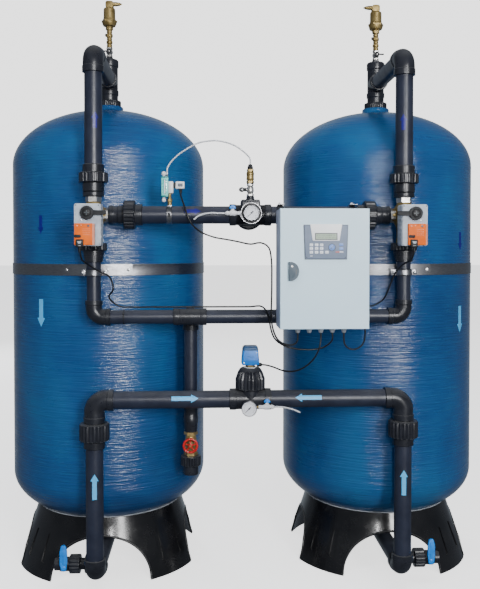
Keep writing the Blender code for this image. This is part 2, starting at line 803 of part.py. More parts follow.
def make_air_vent(name, side, material):
    """Ball cock with its nipple below an automatic air vent whose spout points inward."""
    foot = vent_foot()
    cock_top = foot + COCK_LENGTH
    body_foot = foot + COCK_LENGTH + VENT_STEM_LENGTH
    flange = body_foot + 0.3 * VENT_BODY_HEIGHT
    shoulder = body_foot + VENT_BODY_HEIGHT
    stem = COCK_RADIUS * 0.8
    ring_foot = body_foot - COCK_LENGTH * 0.9
    ring_top = body_foot - COCK_LENGTH * 0.5
    profile = [
        (COCK_RADIUS, foot), (COCK_RADIUS, foot + COCK_LENGTH * 0.35),
        (COCK_RADIUS * 1.15, foot + COCK_LENGTH * 0.5), (COCK_RADIUS, foot + COCK_LENGTH * 0.65),
        (COCK_RADIUS, cock_top), (stem, cock_top), (stem, ring_foot), (COCK_RADIUS, ring_foot),
        (COCK_RADIUS, ring_top), (stem, ring_top), (stem, body_foot), (VENT_FLANGE_RADIUS * 0.85, body_foot),
        (VENT_FLANGE_RADIUS, flange - VENT_FLANGE_HEIGHT), (VENT_FLANGE_RADIUS, flange),
        (VENT_BODY_RADIUS, flange + VENT_SHOULDER), (VENT_BODY_RADIUS, shoulder),
        (VENT_BODY_RADIUS * 0.62, shoulder), (VENT_BODY_RADIUS * 0.55, shoulder + VENT_CAP_HEIGHT)]
    centre = (side * HALF_SPACING, TANK_Y, 0)
    vent = turned(profile, centre, sides=VENT_SIDES)
    spout_centre = (centre[0], TANK_Y, shoulder + VENT_CAP_HEIGHT - VENT_SPOUT_RADIUS * 1.2)
    spout = turned([(VENT_SPOUT_RADIUS, 0), (VENT_SPOUT_RADIUS, -side * VENT_SPOUT_LENGTH * 0.8),
                    (VENT_SPOUT_RADIUS * 0.45, -side * VENT_SPOUT_LENGTH)], spout_centre, "X", 8)
    join(vent, spout)
    cock_centre = (centre[0], TANK_Y, foot + COCK_LENGTH / 2)
    pin = rod(cock_centre, "Y", -COCK_RADIUS * 1.7, 0, STEM_RADIUS * 0.7, 8)
    join(vent, pin)
    return named(vent, name, material, centre)


def make_vent_lever(name, side, material):
    """Wing lever that turns on the pin of the vent cock."""
    pivot = Vector((side * HALF_SPACING, TANK_Y - COCK_RADIUS * 1.7 - GAP, vent_foot() + COCK_LENGTH / 2))
    hub = rod(pivot, "Y", -WING_THICKNESS, 0, COCK_RADIUS * 0.6, VENT_SIDES)
    wing = box(pivot + Vector((0, -WING_THICKNESS * 0.8, -WING_THICKNESS / 2)),
               pivot + Vector((side * VENT_LEVER_LENGTH, -WING_THICKNESS * 0.2, WING_THICKNESS / 2)))
    join(hub, wing)
    return named(hub, name, material, pivot)


def make_upper_riser(name, side, material):
    """Link pipe, elbow and riser down to the union above the three-way valve."""
    x = side * HALF_SPACING
    start = TANK_Y - LARGE_SOCKET + SPIGOT - GAP
    corners = ((x, start, LINK_HEIGHT), (x, PIPE_Y, LINK_HEIGHT), (x, PIPE_Y, RISER_END))
    forward = start - PIPE_Y
    bend_length = LARGE_BEND * math.pi / 2
    total = forward - LARGE_BEND + bend_length + (LINK_HEIGHT - LARGE_BEND - RISER_END)
    nut_end = total - RISER_LOWER_COLLAR
    nut_start = nut_end - RISER_NUT
    collar_start = nut_start - RISER_UPPER_COLLAR
    elbow = (forward - LARGE_SOCKET, forward - 2 * LARGE_BEND + bend_length + LARGE_SOCKET)
    sleeves = ((elbow[0], elbow[1], LARGE_FITTING, LARGE_FITTING),
               (collar_start, nut_start, LARGE_FITTING, LARGE_FITTING),
               (nut_start, nut_end, UNION_NUT_RADIUS, UNION_NUT_RADIUS),
               (nut_end, total, LARGE_FITTING, LARGE_FITTING))
    riser = tube_solid(corners, LARGE_BEND, LARGE_PIPE, sleeves)
    bore_corners = ((x, start + OVERCUT, LINK_HEIGHT), corners[1], (x, PIPE_Y, RISER_END - OVERCUT))
    cut(riser, bore_tube(bore_corners, LARGE_BEND, LARGE_BORE))
    return named(riser, name, material)


def ball_profile(radius):
    """Half an octagon, turned into a ball."""
    angles = [math.pi * step / 4 for step in range(5)]
    return [(radius * math.sin(angle), -radius * math.cos(angle)) for angle in angles]


def valve_centre(side):
    return Vector((side * HALF_SPACING, PIPE_Y, INLET_HEIGHT))


def make_valve_body(name, side, material):
    """Brass three-way body with ports above, below and toward the middle."""
    centre = valve_centre(side)
    low = VALVE_BOTTOM - INLET_HEIGHT + GAP
    high = RISER_END - INLET_HEIGHT - GAP
    neck = VALVE_RADIUS * 0.86
    lower_collar = low + VALVE_LOWER_COLLAR
    upper_collar = high - VALVE_UPPER_COLLAR
    body = turned([(VALVE_RADIUS, low), (VALVE_RADIUS, lower_collar), (neck, lower_collar),
                   (neck, -VALVE_HOUSING), (VALVE_HOUSING, -VALVE_HOUSING * 0.62),
                   (VALVE_HOUSING, VALVE_HOUSING * 0.62), (neck, VALVE_HOUSING), (neck, upper_collar),
                   (VALVE_RADIUS, upper_collar), (VALVE_RADIUS, high)], centre)
    inward = -side
    side_collar = inward * (VALVE_SIDE_REACH - VALVE_LOWER_COLLAR)
    port = turned([(neck, 0), (neck, side_collar), (SIDE_PORT_RADIUS * 1.12, side_collar),
                   (SIDE_PORT_RADIUS * 1.12, inward * (VALVE_SIDE_REACH - GAP))], centre, "X")
    bonnet = rod(centre, "Y", -BONNET_REACH, 0, BONNET_RADIUS)
    join(body, port, bonnet)
    bore = rod(centre, "Z", low - OVERCUT, high + OVERCUT, VALVE_BORE, BORE_SIDES)
    side_bore = rod(centre, "X", 0, inward * (VALVE_SIDE_REACH + OVERCUT), VALVE_BORE * 0.9, BORE_SIDES)
    cavity = turned(ball_profile(BALL_CAVITY), centre, "Y", BORE_SIDES)
    stem_bore = rod(centre, "Y", -BONNET_REACH - OVERCUT, 0, STEM_RADIUS + BORE_CLEARANCE)
    cut(body, bore, side_bore, cavity, stem_bore)
    return named(body, name, material, centre)


def actuator_front():
    return BONNET_REACH + GAP + ACTUATOR_DEPTH


def make_valve_rotor(name, side, material):
    """Ported ball, stem and hand lever that turn together about the stem."""
    centre = valve_centre(side)
    radius = BALL_RADIUS
    rotor = turned(ball_profile(radius), centre, "Y", BORE_SIDES)
    cut(rotor, rod(centre, "Z", -radius - OVERCUT, radius + OVERCUT, VALVE_BORE * 0.7, 6),
        rod(centre, "X", 0, -side * (radius + OVERCUT), VALVE_BORE * 0.7, 6))
    face = actuator_front() + GAP
    stem = rod(centre, "Y", -face - KNOB_THICKNESS * 0.5, -radius * 0.9, STEM_RADIUS)
    knob = turned([(KNOB_RADIUS, -face), (KNOB_RADIUS, -face - KNOB_THICKNESS * 0.8),
                   (KNOB_RADIUS * 0.85, -face - KNOB_THICKNESS)], centre, "Y", 20)
    lever_front = -face - KNOB_THICKNESS * 0.7
    lever_start = centre + Vector((-side * BORE_CLEARANCE, lever_front, -LEVER_WIDTH / 2))
    lever_end = centre + Vector((-side * LEVER_REACH, lever_front + LEVER_THICKNESS, LEVER_WIDTH / 2))
    join(rotor, stem, knob, box(lever_start, lever_end))
    return named(rotor, name, material, centre)


def make_actuator(name, side, material):
    """Actuator housing on the bonnet, bored for the stem."""
    centre = valve_centre(side)
    back = PIPE_Y - BONNET_REACH - GAP
    half = ACTUATOR_WIDTH / 2
    top = INLET_HEIGHT + ACTUATOR_TOP_OVER_STEM
    foot = top - ACTUATOR_HEIGHT
    c = ACTUATOR_CHAMFER
    outline = []
    for dx, z, sx, sz in ((-half, foot, 1, 1), (half, foot, -1, 1), (half, top, -1, -1),
                          (-half, top, 1, -1)):
        first = (centre.x + dx + sx * c, z)
        second = (centre.x + dx, z + sz * c)
        outline += [second, first] if sx * sz > 0 else [first, second]
    housing = prism(outline, "Y", back - ACTUATOR_DEPTH, back)
    cut(housing, rod(centre, "Y", -2 * actuator_front(), 0, STEM_RADIUS + BORE_CLEARANCE))
    return named(housing, name, material, centre)


def cover_edges(side):
    """Inner and outer X of the orange cover, which lies toward the outer edge."""
    outer = side * (HALF_SPACING + ACTUATOR_WIDTH / 2 - COVER_EDGE)
    return outer - side * COVER_WIDTH, outer


def make_actuator_cover(name, side, material):
    """Wiring cover with the cable connector at its foot."""
    inner, outer = cover_edges(side)
    face = PIPE_Y - actuator_front() - GAP
    foot = INLET_HEIGHT + ACTUATOR_TOP_OVER_STEM - ACTUATOR_HEIGHT + COVER_EDGE
    cover = box((inner, face - COVER_THICKNESS, foot), (outer, face, foot + COVER_HEIGHT))
    connector_x = connector_place(side)
    connector = box((connector_x - CONNECTOR_WIDTH / 2, face - COVER_THICKNESS - CONNECTOR_THICKNESS,
                     foot - CONNECTOR_HEIGHT * 0.3),
                    (connector_x + CONNECTOR_WIDTH / 2, face - COVER_THICKNESS / 2, foot + CONNECTOR_HEIGHT))
    join(cover, connector)
    return named(cover, name, material)


def connector_place(side):
    """On both units the connector sits at the left of the cover as seen from the front."""
    inner, outer = cover_edges(side)
    return min(inner, outer) + CONNECTOR_WIDTH * 0.9


def connector_foot():
    return INLET_HEIGHT + ACTUATOR_TOP_OVER_STEM - ACTUATOR_HEIGHT + COVER_EDGE - CONNECTOR_HEIGHT * 0.3


def connector_y():
    face = PIPE_Y - actuator_front() - GAP
    return face - (COVER_THICKNESS + CONNECTOR_THICKNESS) * 0.6


def rear_union(centre):
    """Socket, union nut and end collar that point to the rear."""
    nut = REAR_SOCKET + REAR_NUT
    end = nut + REAR_COLLAR
    return turned([(LARGE_FITTING * 0.97, 0), (LARGE_FITTING * 0.97, REAR_SOCKET),
                   (UNION_NUT_RADIUS, REAR_SOCKET), (UNION_NUT_RADIUS, nut), (LARGE_FITTING, nut),
                   (LARGE_FITTING, end)], centre, "Y")


def rear_bore(centre):
    end = REAR_SOCKET + REAR_NUT + REAR_COLLAR
    return turned([(LARGE_BORE, 0), (LARGE_BORE, end - SPIGOT), (LARGE_PIPE, end - SPIGOT),
                   (LARGE_PIPE, end + OVERCUT)], centre, "Y", BORE_SIDES)


def make_inlet_header(name, material):
    """Raw water header: side unions, pipe, tee with tapping saddle and the rear inlet union."""
    reach = HALF_SPACING - VALVE_SIDE_REACH - GAP
    total = 2 * reach
    sleeves = [(reach - LARGE_TEE_HALF, reach + LARGE_TEE_HALF, LARGE_FITTING, LARGE_FITTING)]
    edge = 0.0
    for length, radius in ((SIDE_SLEEVE, SIDE_SLEEVE_RADIUS), (SIDE_NUT, UNION_NUT_RADIUS),
                           (SIDE_COLLAR, LARGE_FITTING)):
        sleeves.append((edge, edge + length, radius, radius))
        sleeves.append((total - edge - length, total - edge, radius, radius))
        edge += length
    corners = ((-reach, PIPE_Y, INLET_HEIGHT), (reach, PIPE_Y, INLET_HEIGHT))
    header = tube_solid(corners, LARGE_BEND, LARGE_PIPE, sleeves)
    middle = (0, PIPE_Y, INLET_HEIGHT)
    saddle = box((-SADDLE_HALF_WIDTH, PIPE_Y - SADDLE_HALF_DEPTH, INLET_HEIGHT),
                 (SADDLE_HALF_WIDTH, PIPE_Y + SADDLE_HALF_DEPTH, INLET_HEIGHT + SADDLE_RISE))
    foot = rod(middle, "Z", 0, SADDLE_RISE + CHECK_FOOT, CHECK_RADIUS)
    boss = rod((0, PIPE_Y, UPPER_GAUGE_HEIGHT), "Y", -BOSS_REACH, 0, BOSS_RADIUS)
    join(header, saddle, rear_union(middle), foot, boss)
    bore = rod(middle, "X", -reach - OVERCUT, reach + OVERCUT, LARGE_BORE, BORE_SIDES)
    top_bore = rod(middle, "Z", 0, SADDLE_RISE + CHECK_FOOT + OVERCUT, VENT_BORE, 8)
    front_bore = rod((0, PIPE_Y, UPPER_GAUGE_HEIGHT), "Y", -BOSS_REACH - OVERCUT, 0, VENT_BORE, 8)
    cut(header, bore, rear_bore(middle), top_bore, front_bore)
    return named(header, name, material)


def check_valve_foot():
    return INLET_HEIGHT + SADDLE_RISE + CHECK_FOOT + GAP


def make_air_check_valve(name, material):
    """Small cock, check valve and cap through which air enters the raw water."""
    foot = check_valve_foot()
    cock = foot + CHECK_COCK
    brass = cock + CHECK_BRASS
    radius = CHECK_RADIUS
    collar = foot + CHECK_COCK * 0.3
    valve = turned([(radius * 0.9, foot), (radius * 0.9, collar), (radius * 0.72, collar),
                    (radius * 0.72, cock), (radius * 0.8, cock), (radius, cock + CHECK_BRASS * 0.25),
                    (radius, cock + CHECK_BRASS * 0.7), (radius * 0.7, brass), (radius * 0.55, brass),
                    (radius * 0.45, brass + CHECK_CAP)], (0, PIPE_Y, 0))
    pin_centre = (0, PIPE_Y, foot + CHECK_COCK * 0.52)
    join(valve, rod(pin_centre, "X", -radius * 1.05, 0, STEM_RADIUS * 0.6, 8))
    return named(valve, name, material)


def make_air_cock_handle(name, material):
    """Wing handle on the side of the small cock."""
    pivot = Vector((-CHECK_RADIUS * 1.05 - GAP, PIPE_Y, check_valve_foot() + CHECK_COCK * 0.52))
    outline = [(PIPE_Y - WING_THICKNESS / 2, pivot.z - WING_HEIGHT * 0.25),
               (PIPE_Y - WING_THICKNESS / 2, pivot.z + WING_HEIGHT * 0.25),
               (PIPE_Y + WING_THICKNESS / 2, pivot.z + WING_HEIGHT * 0.25),
               (PIPE_Y + WING_THICKNESS / 2, pivot.z - WING_HEIGHT * 0.25)]
    stalk = prism(outline, "X", pivot.x - WING_LENGTH * 0.5, pivot.x)
    wing = []
    for dx, dz in ((0.18, 0.0), (0.45, 0.5), (0.8, 0.45), (1.0, 0.0), (0.8, -0.45), (0.45, -0.5)):
        wing.append((pivot.x - WING_LENGTH * dx, pivot.z + WING_HEIGHT * dz))
    blade = prism(wing, "Y", PIPE_Y - WING_THICKNESS * 0.8, PIPE_Y + WING_THICKNESS * 0.8)
    join(stalk, blade)
    return named(stalk, name, material, pivot)


def make_air_flowmeter(name, material):
    """Strap on the inlet pipe that carries the air flowmeter and its solenoid valve."""
    centre = (AIR_STATION, PIPE_Y, INLET_HEIGHT)
    half = AIR_STRAP_WIDTH / 2
    inner = LARGE_PIPE + GAP
    strap = turned([(inner, -half), (inner + STRAP_THICKNESS, -half), (inner + STRAP_THICKNESS, half),
                    (inner, half)], centre, "X", PIPE_SIDES, closed=True)
    post_top = SOLENOID_BASE + SOLENOID_HEIGHT / 2
    post_foot = INLET_HEIGHT + inner + STRAP_THICKNESS / 2
    post = rod((AIR_STATION, PIPE_Y, 0), "Z", post_foot, post_top, AIR_POST_RADIUS, 8)
    meter_right = AIR_STATION - FLOWMETER_OFFSET
    meter_left = meter_right - FLOWMETER_WIDTH
    meter = box((meter_left, PIPE_Y - FLOWMETER_DEPTH, FLOWMETER_BASE),
                (meter_right, PIPE_Y, FLOWMETER_BASE + FLOWMETER_HEIGHT))
    meter_top = FLOWMETER_BASE + FLOWMETER_HEIGHT
    solenoid_top = SOLENOID_BASE + SOLENOID_HEIGHT
    solenoid = box((meter_right - BITE, PIPE_Y - SOLENOID_DEPTH / 2, SOLENOID_BASE),
                   (meter_right + SOLENOID_WIDTH, PIPE_Y + SOLENOID_DEPTH / 2, solenoid_top))
    plug_base = solenoid_top - PLUG_HEIGHT
    bridge_end = meter_right + SOLENOID_WIDTH + PLUG_BRIDGE
    half_bridge = PLUG_HEIGHT * 0.3
    bridge = box((meter_right + SOLENOID_WIDTH - BITE, PIPE_Y - half_bridge, plug_base + PLUG_BRIDGE_MARGIN),
                 (bridge_end, PIPE_Y + half_bridge, plug_base + PLUG_HEIGHT - PLUG_BRIDGE_MARGIN))
    plug_left = bridge_end - BITE
    plug = box((plug_left, PIPE_Y - PLUG_HEIGHT / 2, plug_base),
               (plug_left + PLUG_WIDTH, PIPE_Y + PLUG_HEIGHT / 2, plug_base + PLUG_HEIGHT))
    knob_centre = (meter_left + FLOWMETER_KNOB, PIPE_Y - FLOWMETER_DEPTH / 2, 0)
    knob_height = 2 * FLOWMETER_KNOB
    knob_radius = FLOWMETER_KNOB * 0.9
    top_knob = rod(knob_centre, "Z", meter_top - BITE, meter_top + knob_height, knob_radius, 8)
    low_knob = rod(knob_centre, "Z", FLOWMETER_BASE - knob_height, FLOWMETER_BASE + BITE, knob_radius, 8)
    tube_start = air_tube_start()
    nipple = rod((tube_start.x, tube_start.y, 0), "Z", meter_top - BITE, tube_start.z - GAP,
                 AIR_TUBE_RADIUS * 1.3, 8)
    join(strap, post, meter, solenoid, bridge, plug, top_knob, low_knob, nipple)
    return named(strap, name, material)


def air_tube_start():
    """Top of the flowmeter nipple that the air tube leaves."""
    x = AIR_STATION - FLOWMETER_OFFSET - AIR_TUBE_RADIUS * 1.5
    return Vector((x, PIPE_Y - FLOWMETER_DEPTH / 2, FLOWMETER_BASE + FLOWMETER_HEIGHT + NIPPLE_HEIGHT))


def gauge_back():
    return BOSS_REACH + GAP


def make_gauge(name, x, height, flange, material):
    """Round pressure gauge with a recessed dial, on a square stem."""
    centre = Vector((x, PIPE_Y, height))
    back = gauge_back()
    case_back = back + GAUGE_STEM_LENGTH
    front = case_back + GAUGE_DEPTH
    rim = GAUGE_BACK_RIM - case_back
    profile = [(GAUGE_STEM * 0.5, rim)]
    if flange:
        profile += [(GAUGE_FLANGE_RADIUS, rim), (GAUGE_FLANGE_RADIUS, rim - GAUGE_FLANGE_THICKNESS),
                    (GAUGE_RADIUS, rim - GAUGE_FLANGE_THICKNESS)]
    else:
        profile += [(GAUGE_RADIUS, rim)]
    profile += [(GAUGE_RADIUS, -front), (GAUGE_RADIUS - GAUGE_BEZEL, -front),
                (GAUGE_RADIUS - GAUGE_BEZEL, -front + GAUGE_RECESS), (0.0, -front + GAUGE_RECESS)]
    gauge = turned(profile, centre, "Y", 20)
    stem = box((x - GAUGE_STEM, PIPE_Y - case_back, height - GAUGE_STEM),
               (x + GAUGE_STEM, PIPE_Y - back, height + GAUGE_STEM))
    join(gauge, stem)
    return named(gauge, name, material, centre)


def make_pointer(name, x, height, material):
    """Gauge pointer that turns on the dial's centre."""
    dial = PIPE_Y - gauge_back() - GAUGE_STEM_LENGTH - GAUGE_DEPTH + GAUGE_RECESS
    pivot = Vector((x, dial - GAP, height))
    direction = Vector((math.cos(math.radians(ZERO_MARK)), 0, math.sin(math.radians(ZERO_MARK))))
    across = Vector((-direction.z, 0, direction.x))
    outline = []
    for along, aside in ((-POINTER_TAIL, 0.6), (POINTER_LENGTH, 0.25), (POINTER_LENGTH, -0.25),
                         (-POINTER_TAIL, -0.6)):
        point = pivot + direction * along + across * aside * POINTER_WIDTH
        outline.append((point.x, point.z))
    needle = prism(outline, "Y", pivot.y - POINTER_THICKNESS, pivot.y)
    join(needle, rod(pivot, "Y", -1.6 * POINTER_THICKNESS, 0, POINTER_HUB, 8))
    return named(needle, name, material, pivot)


def sample_points(x, direction):
    """X of the stem face, the valve's near end and its far end."""
    near = x + direction * (GAUGE_STEM + GAP)
    start = near + direction * SAMPLE_NIPPLE
    return near, start, start + direction * SAMPLE_LENGTH


def sample_y():
    return PIPE_Y - gauge_back() - GAUGE_STEM_LENGTH / 2


def make_sample_valve(name, x, height, direction, material):
    """Nipple and small sampling cock beside the gauge stem."""
    near, start, end = sample_points(x, direction)
    middle = (start + end) / 2
    centre = (0, sample_y(), height)
    tip = SAMPLE_TUBE_RADIUS * 1.5
    shank = direction * SAMPLE_SHANK
    half_barrel = direction * SAMPLE_BARREL_HALF
    body = turned([(SAMPLE_NIPPLE_RADIUS, near), (SAMPLE_NIPPLE_RADIUS, start), (SAMPLE_RADIUS * 0.75, start),
                   (SAMPLE_RADIUS * 0.75, start + shank), (SAMPLE_RADIUS, middle - half_barrel),
                   (SAMPLE_RADIUS, middle + half_barrel), (SAMPLE_RADIUS * 0.6, end - shank),
                   (SAMPLE_RADIUS * 0.75, end - direction * SAMPLE_TIP), (tip, end)],
                  centre, "X", SAMPLE_SIDES)
    join(body, rod((middle, sample_y(), height), "Z", 0, SAMPLE_RADIUS + SAMPLE_BOSS, STEM_RADIUS, 8))
    return named(body, name, material)


def make_sample_handle(name, x, height, direction, material):
    """Small winged handle on top of the sampling cock."""
    start, end = sample_points(x, direction)[1:]
    middle = (start + end) / 2
    base = height + SAMPLE_RADIUS + SAMPLE_BOSS + GAP
    half = SAMPLE_HANDLE_HALF
    shoulder = base + SAMPLE_HANDLE_HEIGHT * 0.6
    crest = base + SAMPLE_HANDLE_HEIGHT
    outline = [(middle - half, base), (middle + half, base), (middle + half * 0.8, shoulder),
               (middle + half * 0.3, crest), (middle - half * 0.3, crest), (middle - half * 0.8, shoulder)]
    handle = prism(outline, "Y", sample_y() - SAMPLE_RADIUS * 0.55, sample_y() + SAMPLE_RADIUS * 0.55)
    return named(handle, name, material, (middle, sample_y(), base))


def make_backwash_arm(name, side, material):
    """Union below the three-way valve, pipe down, elbow and pipe to the backwash tee."""
    x = side * HALF_SPACING
    end = DROP_X + side * (SMALL_SOCKET - SPIGOT + GAP)
    corners = ((x, PIPE_Y, VALVE_BOTTOM), (x, PIPE_Y, BACKWASH_HEIGHT), (end, PIPE_Y, BACKWASH_HEIGHT))
    straight = VALVE_BOTTOM - BACKWASH_HEIGHT - SMALL_BEND
    socket = SMALL_SOCKET - SMALL_BEND
    elbow_end = straight + SMALL_BEND * math.pi / 2 + socket
    sleeves = ((0, FLANGE_LENGTH, FLANGE_RADIUS, FLANGE_RADIUS),
               (FLANGE_LENGTH, FLANGE_LENGTH + CONE_LENGTH, CONE_TOP_RADIUS, CONE_END_RADIUS),
               (straight - socket, elbow_end, SMALL_FITTING, SMALL_FITTING))
    arm = tube_solid(corners, SMALL_BEND, SMALL_PIPE, sleeves)
    bore_corners = ((x, PIPE_Y, VALVE_BOTTOM + OVERCUT), corners[1],
                    (end - side * OVERCUT, PIPE_Y, BACKWASH_HEIGHT))
    cut(arm, bore_tube(bore_corners, SMALL_BEND, SMALL_BORE))
    return named(arm, name, material)


def make_backwash_tee(name, material):
    """Tee that leads back, its elbow and the drop to the drain valve."""
    centre = (DROP_X, PIPE_Y, BACKWASH_HEIGHT)
    tee = rod(centre, "X", -SMALL_SOCKET, SMALL_SOCKET, SMALL_FITTING)
    drop_y = PIPE_Y + DROP_DEPTH
    corners = (centre, (DROP_X, drop_y, BACKWASH_HEIGHT), (DROP_X, drop_y, DROP_END))
    bend_length = SMALL_BEND * math.pi / 2
    elbow_end = DROP_DEPTH - SMALL_BEND + bend_length + (SMALL_SOCKET - SMALL_BEND)
    total = DROP_DEPTH - SMALL_BEND + bend_length + (BACKWASH_HEIGHT - SMALL_BEND - DROP_END)
    sleeves = ((0, elbow_end, SMALL_FITTING, SMALL_FITTING),
               (total - DROP_ADAPTER, total - DROP_ADAPTER / 3, DROP_ADAPTER_RADIUS, DROP_ADAPTER_RADIUS),
               (total - DROP_ADAPTER / 3, total, DROP_ADAPTER_RADIUS, SMALL_PIPE * 0.96))
    join(tee, tube_solid(corners, SMALL_BEND, SMALL_PIPE, sleeves))
    run_bore = rod(centre, "X", -SMALL_SOCKET - OVERCUT, SMALL_SOCKET + OVERCUT, SMALL_BORE, BORE_SIDES)
    bore_corners = (*corners[:2], (DROP_X, drop_y, DROP_END - OVERCUT))
    drop_bore = bore_tube(bore_corners, SMALL_BEND, SMALL_BORE)
    left_socket = rod(centre, "X", -SMALL_SOCKET - OVERCUT, -SMALL_SOCKET + SPIGOT, SMALL_PIPE + GAP)
    right_socket = rod(centre, "X", SMALL_SOCKET - SPIGOT, SMALL_SOCKET + OVERCUT, SMALL_PIPE + GAP)
    cut(tee, run_bore, drop_bore, left_socket, right_socket)
    return named(tee, name, material)


def gate_centre():
    return Vector((DROP_X, PIPE_Y + DROP_DEPTH, DROP_END - GAP - GATE_LENGTH * 0.42))


def make_gate_valve(name, material):
    """Brass gate valve with the union and open socket of the drain below it."""
    centre = gate_centre()
    top = DROP_END - GAP - centre.z
    foot = top - GATE_LENGTH
    nut = foot - DRAIN_NUT
    end = nut - DRAIN_SOCKET
    valve = turned([(GATE_HEX_RADIUS, top), (GATE_HEX_RADIUS, top - GATE_HEX),
                    (GATE_BODY_RADIUS, top - GATE_HEX), (GATE_BODY_RADIUS, foot + GATE_HEX),
                    (GATE_HEX_RADIUS, foot + GATE_HEX), (GATE_HEX_RADIUS, foot), (DRAIN_NUT_RADIUS, foot),
                    (DRAIN_NUT_RADIUS, nut + DRAIN_NUT_CHAMFER), (DRAIN_NUT_RADIUS * 0.87, nut),
                    (DRAIN_SOCKET_RADIUS, nut), (DRAIN_SOCKET_RADIUS, end)], centre)
    bonnet = turned([(GATE_BODY_RADIUS * 0.9, 0), (GATE_BODY_RADIUS * 0.9, -GATE_BONNET_REACH * 0.55),
                     (GATE_BONNET_RADIUS, -GATE_BONNET_REACH * 0.62),
                     (GATE_BONNET_RADIUS, -GATE_BONNET_REACH * 0.9),
                     (GATE_BONNET_RADIUS * 0.7, -GATE_BONNET_REACH)], centre, "Y")
    join(valve, bonnet)
    shoulder = end + SPIGOT * 0.9
    bore = turned([(SMALL_BORE * 0.75, top + OVERCUT), (SMALL_BORE * 0.75, nut), (SMALL_BORE, nut),
                   (SMALL_BORE, shoulder), (SMALL_PIPE, shoulder), (SMALL_PIPE, end - OVERCUT)],
                  centre, sides=BORE_SIDES)
    stem_bore = rod(centre, "Y", -GATE_BONNET_REACH - OVERCUT, -GATE_BODY_RADIUS * 0.6,
                    WHEEL_STEM + BORE_CLEARANCE, 8)
    cut(valve, bore, stem_bore)
    return named(valve, name, material)


def make_handwheel(name, material):
    """Spoked handwheel and the spindle that it turns."""
    pivot = gate_centre()
    level = -GATE_BONNET_REACH - WHEEL_STANDOFF
    ring = []
    for index in range(6):
        angle = 2 * math.pi * index / 6
        ring.append((WHEEL_RADIUS + WHEEL_RIM * math.cos(angle), level + WHEEL_RIM * math.sin(angle)))
    wheel = turned(ring, pivot, "Y", 20, closed=True)
    hub = rod(pivot, "Y", level - WHEEL_RIM * 1.1, level + WHEEL_RIM * 1.6, WHEEL_HUB, 10)
    stem = rod(pivot, "Y", level, -GATE_BODY_RADIUS * 0.7, WHEEL_STEM, 8)
    join(wheel, hub, stem)
    for index in range(WHEEL_SPOKES):
        angle = math.pi / 2 + 2 * math.pi * index / WHEEL_SPOKES
        along = Vector((math.cos(angle), 0, math.sin(angle)))
        aside = Vector((-along.z, 0, along.x)) * WHEEL_RIM * 0.55
        outline = []
        for reach, sign in ((WHEEL_HUB * 0.5, -1), (WHEEL_RADIUS, -1), (WHEEL_RADIUS, 1),
                            (WHEEL_HUB * 0.5, 1)):
            point = pivot + along * reach + aside * sign
            outline.append((point.x, point.z))
        level_y = pivot.y + level
        join(wheel, prism(outline, "Y", level_y - WHEEL_RIM * 0.5, level_y + WHEEL_RIM * 0.5))
    return named(wheel, name, material, pivot)


def make_support_band(name, side, material):
    """Steel band round the tank with the plate, stud and clamp that hold the riser."""
    x = side * HALF_SPACING
    low = BAND_CENTRE - BAND_HEIGHT / 2
    high = BAND_CENTRE + BAND_HEIGHT / 2
    inner = TANK_RADIUS + GAP
    band = turned([(inner, low), (BAND_OUTER, low), (BAND_OUTER, high), (inner, high)], (x, TANK_Y, 0),
                  sides=TANK_SIDES, closed=True)
    plate_outer = BAND_OUTER + BAND_PLATE_THICKNESS
    outline = []
    steps = 4
    for index in range(steps + 1):
        angle = -math.pi / 2 + BAND_PLATE_HALF_ANGLE * (2 * index / steps - 1)
        outline.append((x + plate_outer * math.cos(angle), TANK_Y + plate_outer * math.sin(angle)))
    for index in range(steps, -1, -1):
        angle = -math.pi / 2 + BAND_PLATE_HALF_ANGLE * (2 * index / steps - 1)
        depth = inner + BAND_THICKNESS / 2
        outline.append((x + depth * math.cos(angle), TANK_Y + depth * math.sin(angle)))
    join(band, prism(outline, "Z", low + BITE, high - BITE))
    clamp_inner = SMALL_PIPE + GAP
    clamp_outer = clamp_inner + CLAMP_WALL
    half = CLAMP_HEIGHT / 2
    stud = box((x - STUD_HALF, PIPE_Y + clamp_inner + CLAMP_WALL * 0.4, CLAMP_CENTRE - STUD_HALF),
               (x + STUD_HALF, TANK_Y - inner - BAND_THICKNESS / 2, CLAMP_CENTRE + STUD_HALF))
    clamp = turned([(clamp_inner, -half), (clamp_outer, -half), (clamp_outer, half), (clamp_inner, half)],
                   (x, PIPE_Y, CLAMP_CENTRE), sides=PIPE_SIDES, closed=True)
    join(band, stud, clamp)
    for direction in (-1, 1):
        ear_start = x + direction * (clamp_outer - CLAMP_EAR_SINK)
        ear_end = x + direction * (clamp_outer + CLAMP_EAR)
        ear = box((ear_start, PIPE_Y - CLAMP_EAR_HALF, CLAMP_CENTRE - half),
                  (ear_end, PIPE_Y + CLAMP_EAR_HALF, CLAMP_CENTRE + half))
        screw = rod((ear_end - direction * CLAMP_EAR * 0.5, PIPE_Y, CLAMP_CENTRE), "Y", -CLAMP_SCREW_FRONT,
                    CLAMP_SCREW_BACK, CLAMP_SCREW_RADIUS, 6)
        join(band, ear, screw)
    return named(band, name, material)


